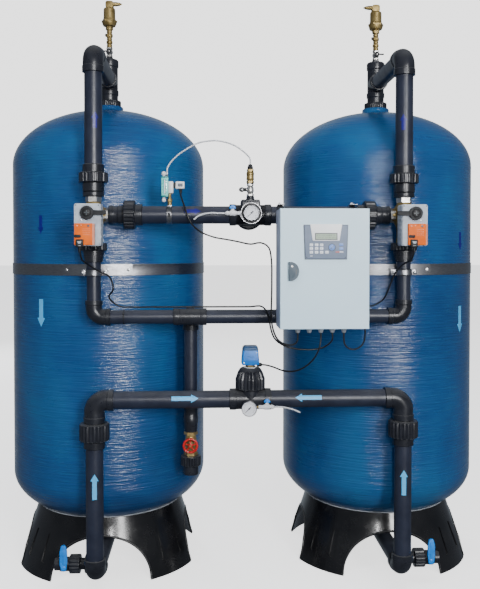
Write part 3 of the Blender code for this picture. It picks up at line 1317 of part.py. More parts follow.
def make_outlet_riser(name, side, material):
    """Collector, bottom elbow, floor run, front elbow and riser with the union nut."""
    x = side * HALF_SPACING
    corners = ((x, TANK_Y, COLLECTOR_TOP), (x, TANK_Y, FLOOR_RUN_HEIGHT), (x, PIPE_Y, FLOOR_RUN_HEIGHT),
               (x, PIPE_Y, OUTLET_NUT_END))
    bend_length = LARGE_BEND * math.pi / 2
    down = COLLECTOR_TOP - FLOOR_RUN_HEIGHT - LARGE_BEND
    floor_start = down + bend_length
    floor_end = floor_start + PIPE_PLANE - 2 * LARGE_BEND
    rise_start = floor_end + bend_length
    total = rise_start + OUTLET_NUT_END - FLOOR_RUN_HEIGHT - LARGE_BEND
    flange_end = COLLECTOR_TOP - (NECK_BOTTOM - GAP - PORT_FLANGE_LENGTH)
    flange_start = flange_end - PORT_FLANGE_LENGTH
    nut_start = total - OUTLET_NUT
    collar_start = nut_start - OUTLET_COLLAR
    spare = FLOOR_SOCKET - LARGE_BEND
    sleeve = spare + FLOOR_SLEEVE
    sleeves = ((flange_start, flange_end, PORT_FLANGE_RADIUS, PORT_FLANGE_RADIUS),
               (flange_end, floor_start + sleeve, LARGE_FITTING, LARGE_FITTING),
               (floor_end - sleeve, rise_start + spare, LARGE_FITTING, LARGE_FITTING),
               (collar_start, nut_start, LARGE_FITTING, LARGE_FITTING),
               (nut_start, total, OUTLET_NUT_RADIUS, OUTLET_NUT_RADIUS))
    riser = tube_solid(corners, LARGE_BEND, LARGE_PIPE, sleeves)
    drain_centre = (x, TANK_Y - DRAIN_STATION, FLOOR_RUN_HEIGHT)
    join(riser, rod(drain_centre, "X", 0, side * DRAIN_STUB, DRAIN_STUB_RADIUS))
    bore_corners = ((x, TANK_Y, COLLECTOR_TOP - COLLECTOR_CAP), corners[1], corners[2],
                    (x, PIPE_Y, OUTLET_NUT_END + OVERCUT))
    bore = bore_tube(bore_corners, LARGE_BEND, LARGE_BORE)
    drain_bore = rod(drain_centre, "X", 0, side * (DRAIN_STUB + OVERCUT), DRAIN_COCK_BORE, 8)
    cut(riser, bore, drain_bore)
    slot_top = COLLECTOR_TOP - 4 * COLLECTOR_CAP
    reach = LARGE_PIPE * 1.3
    half = COLLECTOR_SLOT_WIDTH / 2
    cut(riser, box((x - reach, TANK_Y - half, slot_top - COLLECTOR_SLOT_HEIGHT),
                   (x + reach, TANK_Y + half, slot_top)))
    return named(riser, name, material)


def make_outlet_header(name, material):
    """Filtered water header: elbows, pipe, tee with the switch union, gauge boss and rear outlet."""
    corners = ((-HALF_SPACING, PIPE_Y, OUTLET_NUT_END + GAP), (-HALF_SPACING, PIPE_Y, OUTLET_HEIGHT),
               (HALF_SPACING, PIPE_Y, OUTLET_HEIGHT), (HALF_SPACING, PIPE_Y, OUTLET_NUT_END + GAP))
    bend_length = LARGE_BEND * math.pi / 2
    up = OUTLET_HEIGHT - OUTLET_NUT_END - GAP - LARGE_BEND
    first_end = up + bend_length + LARGE_SOCKET - LARGE_BEND
    middle = up + bend_length + HALF_SPACING - LARGE_BEND
    total = 2 * middle
    sleeves = ((0, first_end, LARGE_FITTING, LARGE_FITTING),
               (middle - LARGE_TEE_HALF, middle + LARGE_TEE_HALF, LARGE_FITTING, LARGE_FITTING),
               (total - first_end, total, LARGE_FITTING, LARGE_FITTING))
    header = tube_solid(corners, LARGE_BEND, LARGE_PIPE, sleeves)
    centre = (0, PIPE_Y, OUTLET_HEIGHT)
    nut = turned([(LARGE_FITTING, 0), (LARGE_FITTING, DOME_NUT_BASE), (DOME_NUT_RADIUS, DOME_NUT_BASE),
                  (DOME_NUT_RADIUS, DOME_NUT_SHOULDER - DOME_NUT_CHAMFER),
                  (DOME_NUT_RADIUS * 0.93, DOME_NUT_SHOULDER),
                  (DOME_NUT_RADIUS * 0.8, DOME_NUT_SHOULDER + DOME_NUT_CROWN),
                  (DOME_NUT_TOP_RADIUS, DOME_NUT_TOP)], centre, sides=16)
    boss_centre = (LOWER_GAUGE_SHIFT, PIPE_Y, LOWER_GAUGE_HEIGHT)
    boss = rod(boss_centre, "Y", -BOSS_REACH, 0, BOSS_RADIUS)
    join(header, nut, rear_union(centre), boss)
    bore_corners = ((-HALF_SPACING, PIPE_Y, OUTLET_NUT_END - OVERCUT), corners[1], corners[2],
                    (HALF_SPACING, PIPE_Y, OUTLET_NUT_END - OVERCUT))
    bore = bore_tube(bore_corners, LARGE_BEND, LARGE_BORE)
    neck_bore = SWITCH_NECK_RADIUS + GAP
    switch_bore = turned([(LARGE_BORE, 0), (LARGE_BORE, DOME_NUT_SHOULDER), (neck_bore, DOME_NUT_SHOULDER),
                          (neck_bore, DOME_NUT_TOP + OVERCUT)], centre)
    front_bore = rod(boss_centre, "Y", -BOSS_REACH - OVERCUT, 0, VENT_BORE, 8)
    cut(header, bore, switch_bore, rear_bore(centre), front_bore)
    return named(header, name, material)


def make_flow_switch(name, material):
    """Paddle flow switch: paddle, threaded neck, blue housing and its cable gland."""
    top = OUTLET_HEIGHT + DOME_NUT_TOP
    base = top + SWITCH_NECK
    neck = rod((0, PIPE_Y, 0), "Z", top - DOME_NUT_TOP * 0.25, base + SWITCH_NECK_SINK, SWITCH_NECK_RADIUS)
    paddle = centred_box((0, PIPE_Y, (OUTLET_HEIGHT + top) / 2 - PADDLE_DROP),
                         (PADDLE_THICKNESS, PADDLE_WIDTH, DOME_NUT_TOP * 0.8))
    bm = bmesh.new()
    rings = []
    for width, depth, level in ((SWITCH_WIDTH, SWITCH_DEPTH, base),
                                (SWITCH_TOP_WIDTH * 1.04, SWITCH_DEPTH * 0.9, base + SWITCH_HEIGHT * 0.88),
                                (SWITCH_TOP_WIDTH * 0.9, SWITCH_DEPTH * 0.8, base + SWITCH_HEIGHT)):
        ring = []
        for sx, sy in ((-1, -1), (1, -1), (1, 1), (-1, 1)):
            ring.append(bm.verts.new((sx * width / 2, PIPE_Y + sy * depth / 2, level)))
        rings.append(ring)
    skin(bm, rings)
    bm.faces.new(rings[0])
    bm.faces.new(list(reversed(rings[-1])))
    housing = add_object("piece", finish_mesh(bm))
    gland = rod((0, PIPE_Y, switch_gland_height()), "X", SWITCH_WIDTH * 0.4,
                SWITCH_WIDTH / 2 + SWITCH_GLAND_LENGTH, SWITCH_GLAND_RADIUS, 8)
    join(neck, paddle, housing, gland)
    return named(neck, name, material)


def switch_gland_height():
    return OUTLET_HEIGHT + DOME_NUT_TOP + SWITCH_NECK - SWITCH_GLAND_RADIUS * 0.3


def drain_centre_y():
    return TANK_Y - DRAIN_STATION


def drain_stem_x(side):
    reach = DRAIN_STUB + GAP + DRAIN_COCK_NECK + DRAIN_COCK_NUT + DRAIN_COCK_BODY * 0.45
    return side * (HALF_SPACING + reach)


def make_drain_cock(name, side, material):
    """Union ball cock on the floor run, with its tail toward the outside."""
    start = side * (HALF_SPACING + DRAIN_STUB + GAP)
    marks = [0.0]
    for length in (DRAIN_COCK_NECK, DRAIN_COCK_NUT, DRAIN_COCK_BODY, DRAIN_COCK_TAIL):
        marks.append(marks[-1] + length)
    radii = (DRAIN_COCK_TAIL_RADIUS, DRAIN_COCK_NUT_RADIUS, DRAIN_COCK_BODY_RADIUS, DRAIN_COCK_TAIL_RADIUS)
    profile = []
    for index, radius in enumerate(radii):
        profile += [(radius, side * marks[index]), (radius, side * marks[index + 1])]
    centre = (start, drain_centre_y(), FLOOR_RUN_HEIGHT)
    cock = turned(profile, centre, "X")
    stem = rod((drain_stem_x(side), drain_centre_y(), FLOOR_RUN_HEIGHT), "Y", -DRAIN_STEM_REACH, 0,
               DRAIN_STEM_RADIUS, 8)
    join(cock, stem)
    cut(cock, rod(centre, "X", -side * OVERCUT, side * (marks[-1] + OVERCUT), DRAIN_COCK_BORE, 8))
    return named(cock, name, material)


def make_drain_handle(name, side, material):
    """Flat blue lever in front of the cock, upright while the cock is shut."""
    pivot = Vector((drain_stem_x(side), drain_centre_y() - DRAIN_STEM_REACH - GAP, FLOOR_RUN_HEIGHT))
    right_edge = ((DRAIN_LEVER_TIP, -DRAIN_LEVER_FOOT), (DRAIN_LEVER_HALF, DRAIN_LEVER_TOP * 0.3),
                  (DRAIN_LEVER_HALF * 0.95, DRAIN_LEVER_TOP * 0.7), (DRAIN_LEVER_TIP, DRAIN_LEVER_TOP))
    outline = [(pivot.x + dx, pivot.z + dz) for dx, dz in right_edge]
    outline += [(pivot.x - dx, pivot.z + dz) for dx, dz in reversed(right_edge)]
    lever = prism(outline, "Y", pivot.y - DRAIN_LEVER_THICKNESS, pivot.y)
    return named(lever, name, material, pivot)


def cabinet_edges():
    left = CABINET_X - CABINET_WIDTH / 2
    return left, left + CABINET_WIDTH, CABINET_BASE, CABINET_BASE + CABINET_HEIGHT


def cabinet_box_front():
    return CABINET_Y + DOOR_THICKNESS + GAP


def hanger(x, height, pipe_radius, back):
    """Clamp round a pipe with the arm to the back of the cabinet."""
    inner = pipe_radius + GAP
    outer = inner + HANGER_WALL
    half = HANGER_WIDTH / 2
    block = box((x - half, back - CABINET_WALL / 2, height - outer),
                (x + half, PIPE_Y + outer, height + outer))
    screw_foot = outer - HANGER_WALL / 2
    join(block, rod((x, PIPE_Y, height), "Z", screw_foot, outer + HANGER_SCREW, CLAMP_SCREW_RADIUS, 6))
    return cut(block, rod((x, PIPE_Y, height), "X", -HANGER_WIDTH, HANGER_WIDTH, inner))


def hanger_places():
    """One clamp beside the tee, the other as far out as the cabinet and the free pipe let it go."""
    left, right, low, high = cabinet_edges()
    half = HANGER_WIDTH / 2
    union = HALF_SPACING - VALVE_SIDE_REACH - GAP - SIDE_SLEEVE - SIDE_NUT - SIDE_COLLAR
    far_edge = min(right - HANGER_INSET, union - HANGER_TO_UNION)
    return LARGE_TEE_HALF + HANGER_CLEARANCE + half, far_edge - half


def gland_x(index):
    return CABINET_X + GLAND_PITCH * (index - (GLAND_COUNT - 1) / 2)


def gland_y():
    return cabinet_box_front() + GLAND_DEPTH


def gland_foot():
    return CABINET_BASE - GLAND_NUT - GLAND_CAP


def make_cabinet(name, material):
    """Steel box with its back plate, cable glands and the clamps on the two headers."""
    left, right, low, high = cabinet_edges()
    front = cabinet_box_front()
    back = front + CABINET_DEPTH
    shell = box((left, front, low), (right, back, high))
    wall = CABINET_WALL
    cut(shell, box((left + wall, front - OVERCUT, low + wall), (right - wall, back - wall, high - wall)))
    plate = box((left + PLATE_MARGIN, back - wall - PLATE_THICKNESS, low + PLATE_MARGIN),
                (right - PLATE_MARGIN, back - wall / 2, high - PLATE_MARGIN))
    plate_middle = back - wall - PLATE_THICKNESS / 2
    rail = low + 2 * PLATE_MARGIN
    terminals = box((CABINET_X - TERMINAL_HALF, plate_middle - TERMINAL_DEPTH, rail),
                    (CABINET_X + TERMINAL_HALF, plate_middle, rail + TERMINAL_HEIGHT))
    join(shell, plate, terminals)
    for index in range(GLAND_COUNT):
        gland = turned([(GLAND_RADIUS, wall / 2), (GLAND_RADIUS, -GLAND_NUT), (GLAND_CAP_RADIUS, -GLAND_NUT),
                        (GLAND_CAP_RADIUS * 0.8, -GLAND_NUT - GLAND_CAP)],
                       (gland_x(index), gland_y(), low), "Z", 6)
        join(shell, gland)
    for x in hanger_places():
        join(shell, hanger(x, INLET_HEIGHT, LARGE_PIPE, back), hanger(x, BACKWASH_HEIGHT, SMALL_PIPE, back))
    return named(shell, name, material)


def controller_outline(inset):
    half_top = CONTROLLER_WIDTH / 2 - inset
    half_foot = CONTROLLER_FOOT_WIDTH / 2 - inset
    low = CONTROLLER_BASE + inset
    high = CONTROLLER_BASE + CONTROLLER_HEIGHT - inset
    return [(CONTROLLER_X - half_foot, low), (CONTROLLER_X + half_foot, low), (CONTROLLER_X + half_top, high),
            (CONTROLLER_X - half_top, high)]


def make_door(name, material):
    """Folded door with a cut-out for the controller, hinged at its right edge."""
    left, right, low, high = cabinet_edges()
    seam = cabinet_box_front() - GAP
    door = box((left, CABINET_Y, low), (right, seam, high))
    lip = DOOR_LIP
    opening = controller_outline(CONTROLLER_MARGIN - BORE_CLEARANCE)
    cut(door, box((left + lip, CABINET_Y + DOOR_WALL, low + lip), (right - lip, seam + OVERCUT, high - lip)))
    cut(door, prism(opening, "Y", CABINET_Y - OVERCUT, seam + OVERCUT))
    cut(door, rod((LOCK_X, CABINET_Y, LOCK_HEIGHT), "Y", -OVERCUT, OVERCUT,
                  LOCK_STEM_RADIUS + BORE_CLEARANCE, LOCK_SIDES))
    return named(door, name, material, (right, seam, (low + high) / 2))


def make_controller(name, material):
    """Control unit in the door with its raised display hood."""
    face = CABINET_Y - GAP
    unit = prism(controller_outline(0.0), "Y", face - CONTROLLER_FACE, face)
    body = controller_outline(CONTROLLER_MARGIN)
    join(unit, prism(body, "Y", face - CONTROLLER_FACE / 2, face + CONTROLLER_BODY))
    top = CONTROLLER_BASE + CONTROLLER_HEIGHT + DISPLAY_OVERLAP
    foot = top - DISPLAY_HEIGHT
    outline = [(CONTROLLER_X - DISPLAY_FOOT_HALF, foot), (CONTROLLER_X + DISPLAY_FOOT_HALF, foot),
               (CONTROLLER_X + DISPLAY_TOP_HALF, top), (CONTROLLER_X - DISPLAY_TOP_HALF, top)]
    front = face - CONTROLLER_FACE - DISPLAY_RELIEF
    join(unit, prism(outline, "Y", front, face - CONTROLLER_FACE / 2))
    window_low = foot + WINDOW_FOOT
    cut(unit, box((CONTROLLER_X - WINDOW_HALF, front - OVERCUT, window_low),
                  (CONTROLLER_X + WINDOW_HALF, front + WINDOW_DEPTH, window_low + WINDOW_HEIGHT)))
    return named(unit, name, material)


def make_lock(name, material):
    """D-shaped turn handle with its spindle through the door."""
    pivot = Vector((LOCK_X, CABINET_Y - GAP, LOCK_HEIGHT))
    left = LOCK_X - LOCK_LEFT
    outline = [(left, LOCK_HEIGHT - LOCK_HALF_HEIGHT)]
    for index in range(9):
        angle = -math.pi / 2 + math.pi * index / 8
        reach = LOCK_STRAIGHT + (LOCK_LEFT + LOCK_RIGHT - LOCK_STRAIGHT) * math.cos(angle)
        outline.append((left + reach, LOCK_HEIGHT + LOCK_HALF_HEIGHT * math.sin(angle)))
    outline.append((left, LOCK_HEIGHT + LOCK_HALF_HEIGHT))
    lock = prism(outline, "Y", pivot.y - (LOCK_THICKNESS - GAP), pivot.y)
    join(lock, rod(pivot, "Y", -LOCK_STEM_FRONT, LOCK_STEM_BACK, LOCK_STEM_RADIUS, LOCK_SIDES))
    return named(lock, name, material, pivot)


def smooth_route(points, spacing):
    """Even points on a smooth curve through the route's own points."""
    route = [Vector(point) for point in points]
    padded = [route[0] * 2 - route[1]] + route + [route[-1] * 2 - route[-2]]
    dense = []
    steps = 24
    for index in range(1, len(padded) - 2):
        a, b, c, d = padded[index - 1:index + 3]
        knots = [0.0]
        for first, second in ((a, b), (b, c), (c, d)):
            knots.append(knots[-1] + max((second - first).length, 1e-6) ** 0.5)
        for step in range(steps):
            t = knots[1] + (knots[2] - knots[1]) * step / steps
            ab = a.lerp(b, (t - knots[0]) / (knots[1] - knots[0]))
            bc = b.lerp(c, (t - knots[1]) / (knots[2] - knots[1]))
            cd = c.lerp(d, (t - knots[2]) / (knots[3] - knots[2]))
            abc = ab.lerp(bc, (t - knots[0]) / (knots[2] - knots[0]))
            bcd = bc.lerp(cd, (t - knots[1]) / (knots[3] - knots[1]))
            dense.append(abc.lerp(bcd, (t - knots[1]) / (knots[2] - knots[1])))
    dense.append(route[-1])
    lengths = [0.0]
    for first, second in zip(dense, dense[1:]):
        lengths.append(lengths[-1] + (second - first).length)
    count = max(3, round(lengths[-1] / spacing) + 1)
    even = []
    cursor = 0
    for index in range(count):
        target = lengths[-1] * index / (count - 1)
        while cursor < len(lengths) - 2 and lengths[cursor + 1] < target:
            cursor += 1
        span = lengths[cursor + 1] - lengths[cursor]
        share = 0.0 if span < 1e-12 else (target - lengths[cursor]) / span
        even.append(dense[cursor].lerp(dense[cursor + 1], min(1.0, share)))
    return even


def make_cord(name, points, radius, material):
    """A round cord along a smooth route."""
    route = smooth_route(points, 6 * radius)
    curve = bpy.data.curves.new(name, "CURVE")
    curve.dimensions = "3D"
    curve.bevel_depth = radius
    curve.bevel_resolution = 2
    curve.use_fill_caps = True
    spline = curve.splines.new("POLY")
    spline.points.add(len(route) - 1)
    for point, place in zip(spline.points, route):
        point.co = (*place, 1.0)
    curve.materials.append(material)
    item = bpy.data.objects.new(name, curve)
    bpy.context.scene.collection.objects.link(item)
    return item


def front(x, forward, z):
    """A point given by its distance in front of the pipe plane."""
    return (x, PIPE_Y - forward, z)


def make_cords(cable, tube):
    end_gap = GAP + CABLE_RADIUS * 0.1
    gland_end = gland_foot() - end_gap
    gland_forward = PIPE_Y - gland_y()
    left = connector_place(-1)
    right = connector_place(1)
    foot = connector_foot() - end_gap
    lead_forward = PIPE_Y - connector_y()
    ride = BACKWASH_HEIGHT + SMALL_FITTING + CABLE_RADIUS + 0.002
    make_cord("cable_left_actuator", [
        front(left, lead_forward, foot), front(left, lead_forward, foot - 0.016),
        front(left + 0.004, lead_forward - 0.014, foot - 0.042),
        front(left + 0.022, 0.095, foot - 0.064), front(left + 0.052, 0.068, 1.184),
        front(left + 0.084, 0.052, 1.165), front(left + 0.096, 0.040, 1.120),
        front(-0.505, 0.018, 1.092), front(-0.470, 0.002, ride + 0.004),
        front(-0.420, 0.0, ride), front(-0.340, 0.0, ride), front(-0.260, 0.0, ride),
        front(-0.180, 0.0, ride), front(-0.090, 0.0, ride), front(0.000, 0.0, ride),
        front(0.040, 0.012, ride + 0.002), front(0.062, 0.040, 1.030), front(0.068, 0.068, 0.985),
        front(0.080, 0.085, 0.950), front(0.105, 0.098, 0.929), front(0.145, 0.105, 0.916),
        front(0.190, 0.108, 0.912), front(0.232, 0.109, 0.915), front(0.260, 0.112, 0.926),
        front(gland_x(3), gland_forward, gland_end - 0.022), front(gland_x(3), gland_forward, gland_end)],
        CABLE_RADIUS, cable)
    plug_foot = SOLENOID_BASE + SOLENOID_HEIGHT - PLUG_HEIGHT - end_gap
    make_cord("cable_solenoid", [
        front(-0.250, 0.0, plug_foot), front(-0.250, 0.0, plug_foot - 0.018), front(-0.245, 0.012, 1.440),
        front(-0.236, 0.036, 1.415), front(-0.226, 0.044, 1.385), front(-0.210, 0.040, 1.352),
        front(-0.180, 0.022, 1.325), front(-0.130, 0.010, 1.305), front(-0.080, 0.012, 1.296),
        front(-0.040, 0.020, 1.288), front(0.000, 0.030, 1.280), front(0.035, 0.040, 1.285),
        front(0.062, 0.046, 1.270), front(0.072, 0.048, 1.230), front(0.074, 0.048, 1.150),
        front(0.073, 0.050, 1.080), front(0.071, 0.062, 1.030), front(0.074, 0.090, 0.985),
        front(0.088, 0.110, 0.950), front(0.110, 0.120, 0.934), front(0.136, 0.124, 0.930),
        front(0.153, 0.126, 0.938), front(gland_x(0), gland_forward, gland_end - 0.018),
        front(gland_x(0), gland_forward, gland_end)], CABLE_RADIUS, cable)
    make_cord("cable_right_actuator", [
        front(right, lead_forward, foot), front(right, lead_forward, foot - 0.016),
        front(right - 0.006, lead_forward - 0.010, foot - 0.040),
        front(right - 0.024, 0.092, foot - 0.064), front(right - 0.042, 0.062, 1.175),
        front(right - 0.050, 0.046, 1.145), front(right - 0.062, 0.034, 1.108),
        front(0.480, 0.012, 1.078), front(0.450, 0.0, ride + 0.003), front(0.425, 0.014, ride),
        front(0.408, 0.040, 1.040), front(0.402, 0.070, 1.000), front(0.400, 0.092, 0.962),
        front(0.388, 0.108, 0.930), front(0.362, 0.118, 0.914), front(0.336, 0.122, 0.917),
        front(0.321, 0.124, 0.933), front(gland_x(4), gland_forward, gland_end - 0.018),
        front(gland_x(4), gland_forward, gland_end)], CABLE_RADIUS, cable)
    switch_end = SWITCH_WIDTH / 2 + SWITCH_GLAND_LENGTH + end_gap
    make_cord("cable_flow_switch", [
        front(gland_x(2), gland_forward, gland_end), front(gland_x(2), gland_forward, gland_end - 0.022),
        front(gland_x(2) - 0.004, gland_forward + 0.002, 0.925), front(0.225, 0.124, 0.900),
        front(0.211, 0.112, 0.875), front(0.190, 0.095, 0.852), front(0.165, 0.075, 0.835),
        front(0.138, 0.052, 0.827), front(0.112, 0.032, 0.828), front(0.086, 0.012, 0.836),
        front(switch_end + 0.016, 0.001, switch_gland_height() - 0.002),
        front(switch_end, 0.0, switch_gland_height())], CABLE_RADIUS, cable)
    start = air_tube_start()
    top = check_valve_foot() + CHECK_COCK + CHECK_BRASS + CHECK_CAP + GAP + AIR_TUBE_RADIUS * 0.1
    forward = PIPE_Y - start.y
    make_cord("air_tube", [
        (start.x, start.y, start.z), front(start.x, forward, start.z + 0.019),
        front(-0.2905, forward, 1.563), front(-0.2793, forward, 1.578), front(-0.2610, 0.011, 1.596),
        front(-0.2395, 0.010, 1.612), front(-0.2143, 0.008, 1.628), front(-0.189, 0.007, 1.641),
        front(-0.1587, 0.006, 1.648), front(-0.1256, 0.005, 1.651), front(-0.0954, 0.004, 1.647),
        front(-0.0626, 0.002, 1.637), front(-0.0360, 0.001, 1.622), front(-0.0130, 0.0, 1.603),
        front(0.0, 0.0, top + 0.019), front(0.0, 0.0, top)], AIR_TUBE_RADIUS, tube)
    tube_gap = GAP + SAMPLE_TUBE_RADIUS * 0.1
    level = UPPER_GAUGE_HEIGHT
    lead = PIPE_Y - sample_y()
    tail = sample_points(0.0, -1)[2] - tube_gap
    make_cord("sample_tube_upper", [
        front(tail, lead, level), front(tail - 0.020, lead, level), front(tail - 0.050, lead, level + 0.001),
        front(tail - 0.075, lead - 0.002, level - 0.003), front(tail - 0.095, lead - 0.004, level - 0.010),
        front(tail - 0.110, lead - 0.004, level - 0.022)], SAMPLE_TUBE_RADIUS, tube)
    level = LOWER_GAUGE_HEIGHT
    tail = sample_points(LOWER_GAUGE_SHIFT, 1)[2] + tube_gap
    make_cord("sample_tube_lower", [
        front(tail, lead, level), front(tail + 0.020, lead, level), front(tail + 0.045, lead, level - 0.004),
        front(tail + 0.070, lead, level - 0.011), front(tail + 0.092, lead, level - 0.021)],
        SAMPLE_TUBE_RADIUS, tube)


def main():
    clear_scene()
    blue_resin = principled("tank_resin", (0.012, 0.110, 0.215), 0.30)
    black_moulding = principled("base_moulding", (0.012, 0.012, 0.013), 0.22)
    media = principled("filter_media", (0.25, 0.20, 0.15), 0.9)
    pvc = principled("dark_pvc", (0.035, 0.038, 0.048), 0.35)
    brass = principled("brass", (0.55, 0.42, 0.20), 0.35, 1.0)
    steel = principled("stainless_band", (0.60, 0.60, 0.60), 0.35, 1.0)
    grey = principled("actuator_grey", (0.55, 0.60, 0.66), 0.5)
    orange = principled("cover_orange", (0.90, 0.22, 0.05), 0.4)
    black = principled("black_plastic", (0.02, 0.022, 0.025), 0.4)
    blue = principled("handle_blue", (0.01, 0.25, 0.75), 0.35)
    red = principled("wheel_red", (0.60, 0.01, 0.01), 0.3)
    white = principled("white_plastic", (0.75, 0.78, 0.80), 0.4)
    paint = principled("cabinet_paint", (0.58, 0.68, 0.72), 0.4)
    panel = principled("controller_grey", (0.30, 0.34, 0.40), 0.5)
    clear = principled("tube_plastic", (0.72, 0.75, 0.78), 0.3)

    for word, side in SIDES:
        make_tank("tank_" + word, side, blue_resin)
        make_base("base_" + word, side, black_moulding)
        make_media("media_bed_" + word, side, media)
        make_top_tee("top_tee_" + word, side, pvc)
        make_air_vent("air_vent_" + word, side, brass)
        make_vent_lever("vent_lever_" + word, side, black)
        make_upper_riser("upper_riser_" + word, side, pvc)
        make_valve_body("valve_body_" + word, side, brass)
        make_valve_rotor("valve_rotor_" + word, side, black)
        make_actuator("actuator_" + word, side, grey)
        make_actuator_cover("actuator_cover_" + word, side, orange)
        make_backwash_arm("backwash_arm_" + word, side, pvc)
        make_support_band("support_band_" + word, side, steel)
        make_outlet_riser("outlet_riser_" + word, side, pvc)
        make_drain_cock("drain_cock_" + word, side, pvc)
        make_drain_handle("drain_handle_" + word, side, blue)

    make_inlet_header("inlet_header", pvc)
    make_air_check_valve("air_check_valve", brass)
    make_air_cock_handle("air_cock_handle", black)
    make_air_flowmeter("air_flowmeter", white)
    make_gauge("gauge_upper", 0.0, UPPER_GAUGE_HEIGHT, True, steel)
    make_pointer("gauge_pointer_upper", 0.0, UPPER_GAUGE_HEIGHT, black)
    make_sample_valve("sample_valve_upper", 0.0, UPPER_GAUGE_HEIGHT, -1, white)
    make_sample_handle("sample_handle_upper", 0.0, UPPER_GAUGE_HEIGHT, -1, blue)
    make_backwash_tee("backwash_tee", pvc)
    make_gate_valve("gate_valve", brass)
    make_handwheel("handwheel", red)
    make_outlet_header("outlet_header", pvc)
    make_flow_switch("flow_switch", blue)
    make_gauge("gauge_lower", LOWER_GAUGE_SHIFT, LOWER_GAUGE_HEIGHT, False, steel)
    make_pointer("gauge_pointer_lower", LOWER_GAUGE_SHIFT, LOWER_GAUGE_HEIGHT, black)
    make_sample_valve("sample_valve_lower", LOWER_GAUGE_SHIFT, LOWER_GAUGE_HEIGHT, 1, white)
    make_sample_handle("sample_handle_lower", LOWER_GAUGE_SHIFT, LOWER_GAUGE_HEIGHT, 1, blue)
    make_cabinet("cabinet", paint)
    make_door("cabinet_door", paint)
    make_controller("controller", panel)
    make_lock("door_lock", black)
    make_cords(black, clear)


main()
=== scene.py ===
"""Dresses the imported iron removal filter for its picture: fine shapes, materials, light and camera.

Metres, +Z up, the front faces -Y.  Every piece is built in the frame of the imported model.
"""
import json
import math

import bmesh
import bpy
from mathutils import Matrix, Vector

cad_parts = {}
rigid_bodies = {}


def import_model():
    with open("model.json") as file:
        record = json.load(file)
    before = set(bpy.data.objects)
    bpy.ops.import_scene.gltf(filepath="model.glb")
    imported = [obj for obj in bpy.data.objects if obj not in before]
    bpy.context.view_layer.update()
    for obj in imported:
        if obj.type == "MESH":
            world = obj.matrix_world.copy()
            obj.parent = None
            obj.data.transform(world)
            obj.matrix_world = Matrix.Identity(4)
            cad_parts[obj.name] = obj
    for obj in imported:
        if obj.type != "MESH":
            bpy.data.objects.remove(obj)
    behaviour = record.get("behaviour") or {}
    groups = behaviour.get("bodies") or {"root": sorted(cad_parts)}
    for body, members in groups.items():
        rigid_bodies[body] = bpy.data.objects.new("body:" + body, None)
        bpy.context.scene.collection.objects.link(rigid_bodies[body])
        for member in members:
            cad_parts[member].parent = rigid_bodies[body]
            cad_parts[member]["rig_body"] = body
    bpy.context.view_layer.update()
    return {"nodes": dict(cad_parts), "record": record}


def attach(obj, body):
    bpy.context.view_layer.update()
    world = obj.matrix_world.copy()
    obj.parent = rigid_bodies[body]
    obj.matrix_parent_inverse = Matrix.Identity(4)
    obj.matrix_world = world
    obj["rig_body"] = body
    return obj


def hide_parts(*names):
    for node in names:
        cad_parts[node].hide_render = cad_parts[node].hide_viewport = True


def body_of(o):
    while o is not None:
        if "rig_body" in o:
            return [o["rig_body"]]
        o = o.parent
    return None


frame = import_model()

# Camera, measured on the photograph
PHOTO_HEIGHT = 589
FOCAL_PIXELS = 757.04
OPTICAL_AXIS_RISE = 28.44
CAMERA_PLACE = (-0.1613, -3.0446, 1.2586)
CAMERA_YAW = 2.614
CAMERA_PITCH = 1.203
SENSOR = 36.0

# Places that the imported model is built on
GAP = 0.0003
HALF_SPACING = 0.560
TANK_Y = 0.1524
PIPE_Y = -0.3176
DRAIN_Y = TANK_Y - 0.385
DRAIN_START = HALF_SPACING + 0.048 + GAP
DRAIN_STEM = DRAIN_START + 0.0731
DOOR_Y = -0.5326
TANK_RADIUS = 0.390
CYLINDER_BOTTOM = 0.370
CYLINDER_TOP = 1.600
TOP_DOME_HEIGHT = 0.235
BOTTOM_DOME_HEIGHT = 0.200
NECK_RADIUS = 0.056
NECK_TOP = 1.855
NECK_BOTTOM = 0.146
LARGE_PIPE = 0.0315
LARGE_BEND = 0.042
LARGE_SOCKET = 0.070
LARGE_BORE = 0.0275
SMALL_PIPE = 0.025
SMALL_FITTING = 0.0305
SMALL_BEND = 0.034
SMALL_SOCKET = 0.060
SPIGOT = 0.030
UNION_NUT = 0.052
LINK_HEIGHT = 1.960
INLET_HEIGHT = 1.385
BACKWASH_HEIGHT = 1.019
OUTLET_HEIGHT = 0.720
FLOOR_RUN = 0.095
RISER_END = 1.466
VALVE_BOTTOM = 1.2845
VALVE_SIDE = 0.054
ACTUATOR_FACE = PIPE_Y - 0.1503
CABINET_LEFT = 0.0875
CABINET_RIGHT = 0.3875
CABINET_BASE = 0.994
CABINET_TOP = 1.398
CABINET_BACK = -0.3823
DOOR_BACK = -0.5166
CONTROLLER_X = 0.240
DROP_X = -0.217
DROP_DEPTH = 0.120
DROP_Y = PIPE_Y + DROP_DEPTH
CLAMP_HEIGHT = 1.178
COLLECTOR_TOP = 0.330

GLANDS = (0.1571, 0.1973, 0.2375, 0.2777, 0.3179)
GLAND_Y = -0.4443
GLAND_FOOT = 0.971
SAMPLE_Y = PIPE_Y - 0.0523
# Each gauge: its place, its height and the way its sampling cock points
GAUGES = (("upper", 0.0, 1.389, -1), ("lower", -0.008, 0.701, 1))

SIDES = (("left", -1), ("right", 1))

# Cords
CABLE_RADIUS = 0.0030
AIR_TUBE_RADIUS = 0.0028
SAMPLE_TUBE_RADIUS = 0.0030

AXES = {"X": Vector((1, 0, 0)), "Y": Vector((0, 1, 0)), "Z": Vector((0, 0, 1))}


# Forms: each is a list of points and a list of faces

def cross_direction(direction):
    return Vector((1, 0, 0)) if abs(direction.z) > 0.5 else Vector((0, 0, 1))


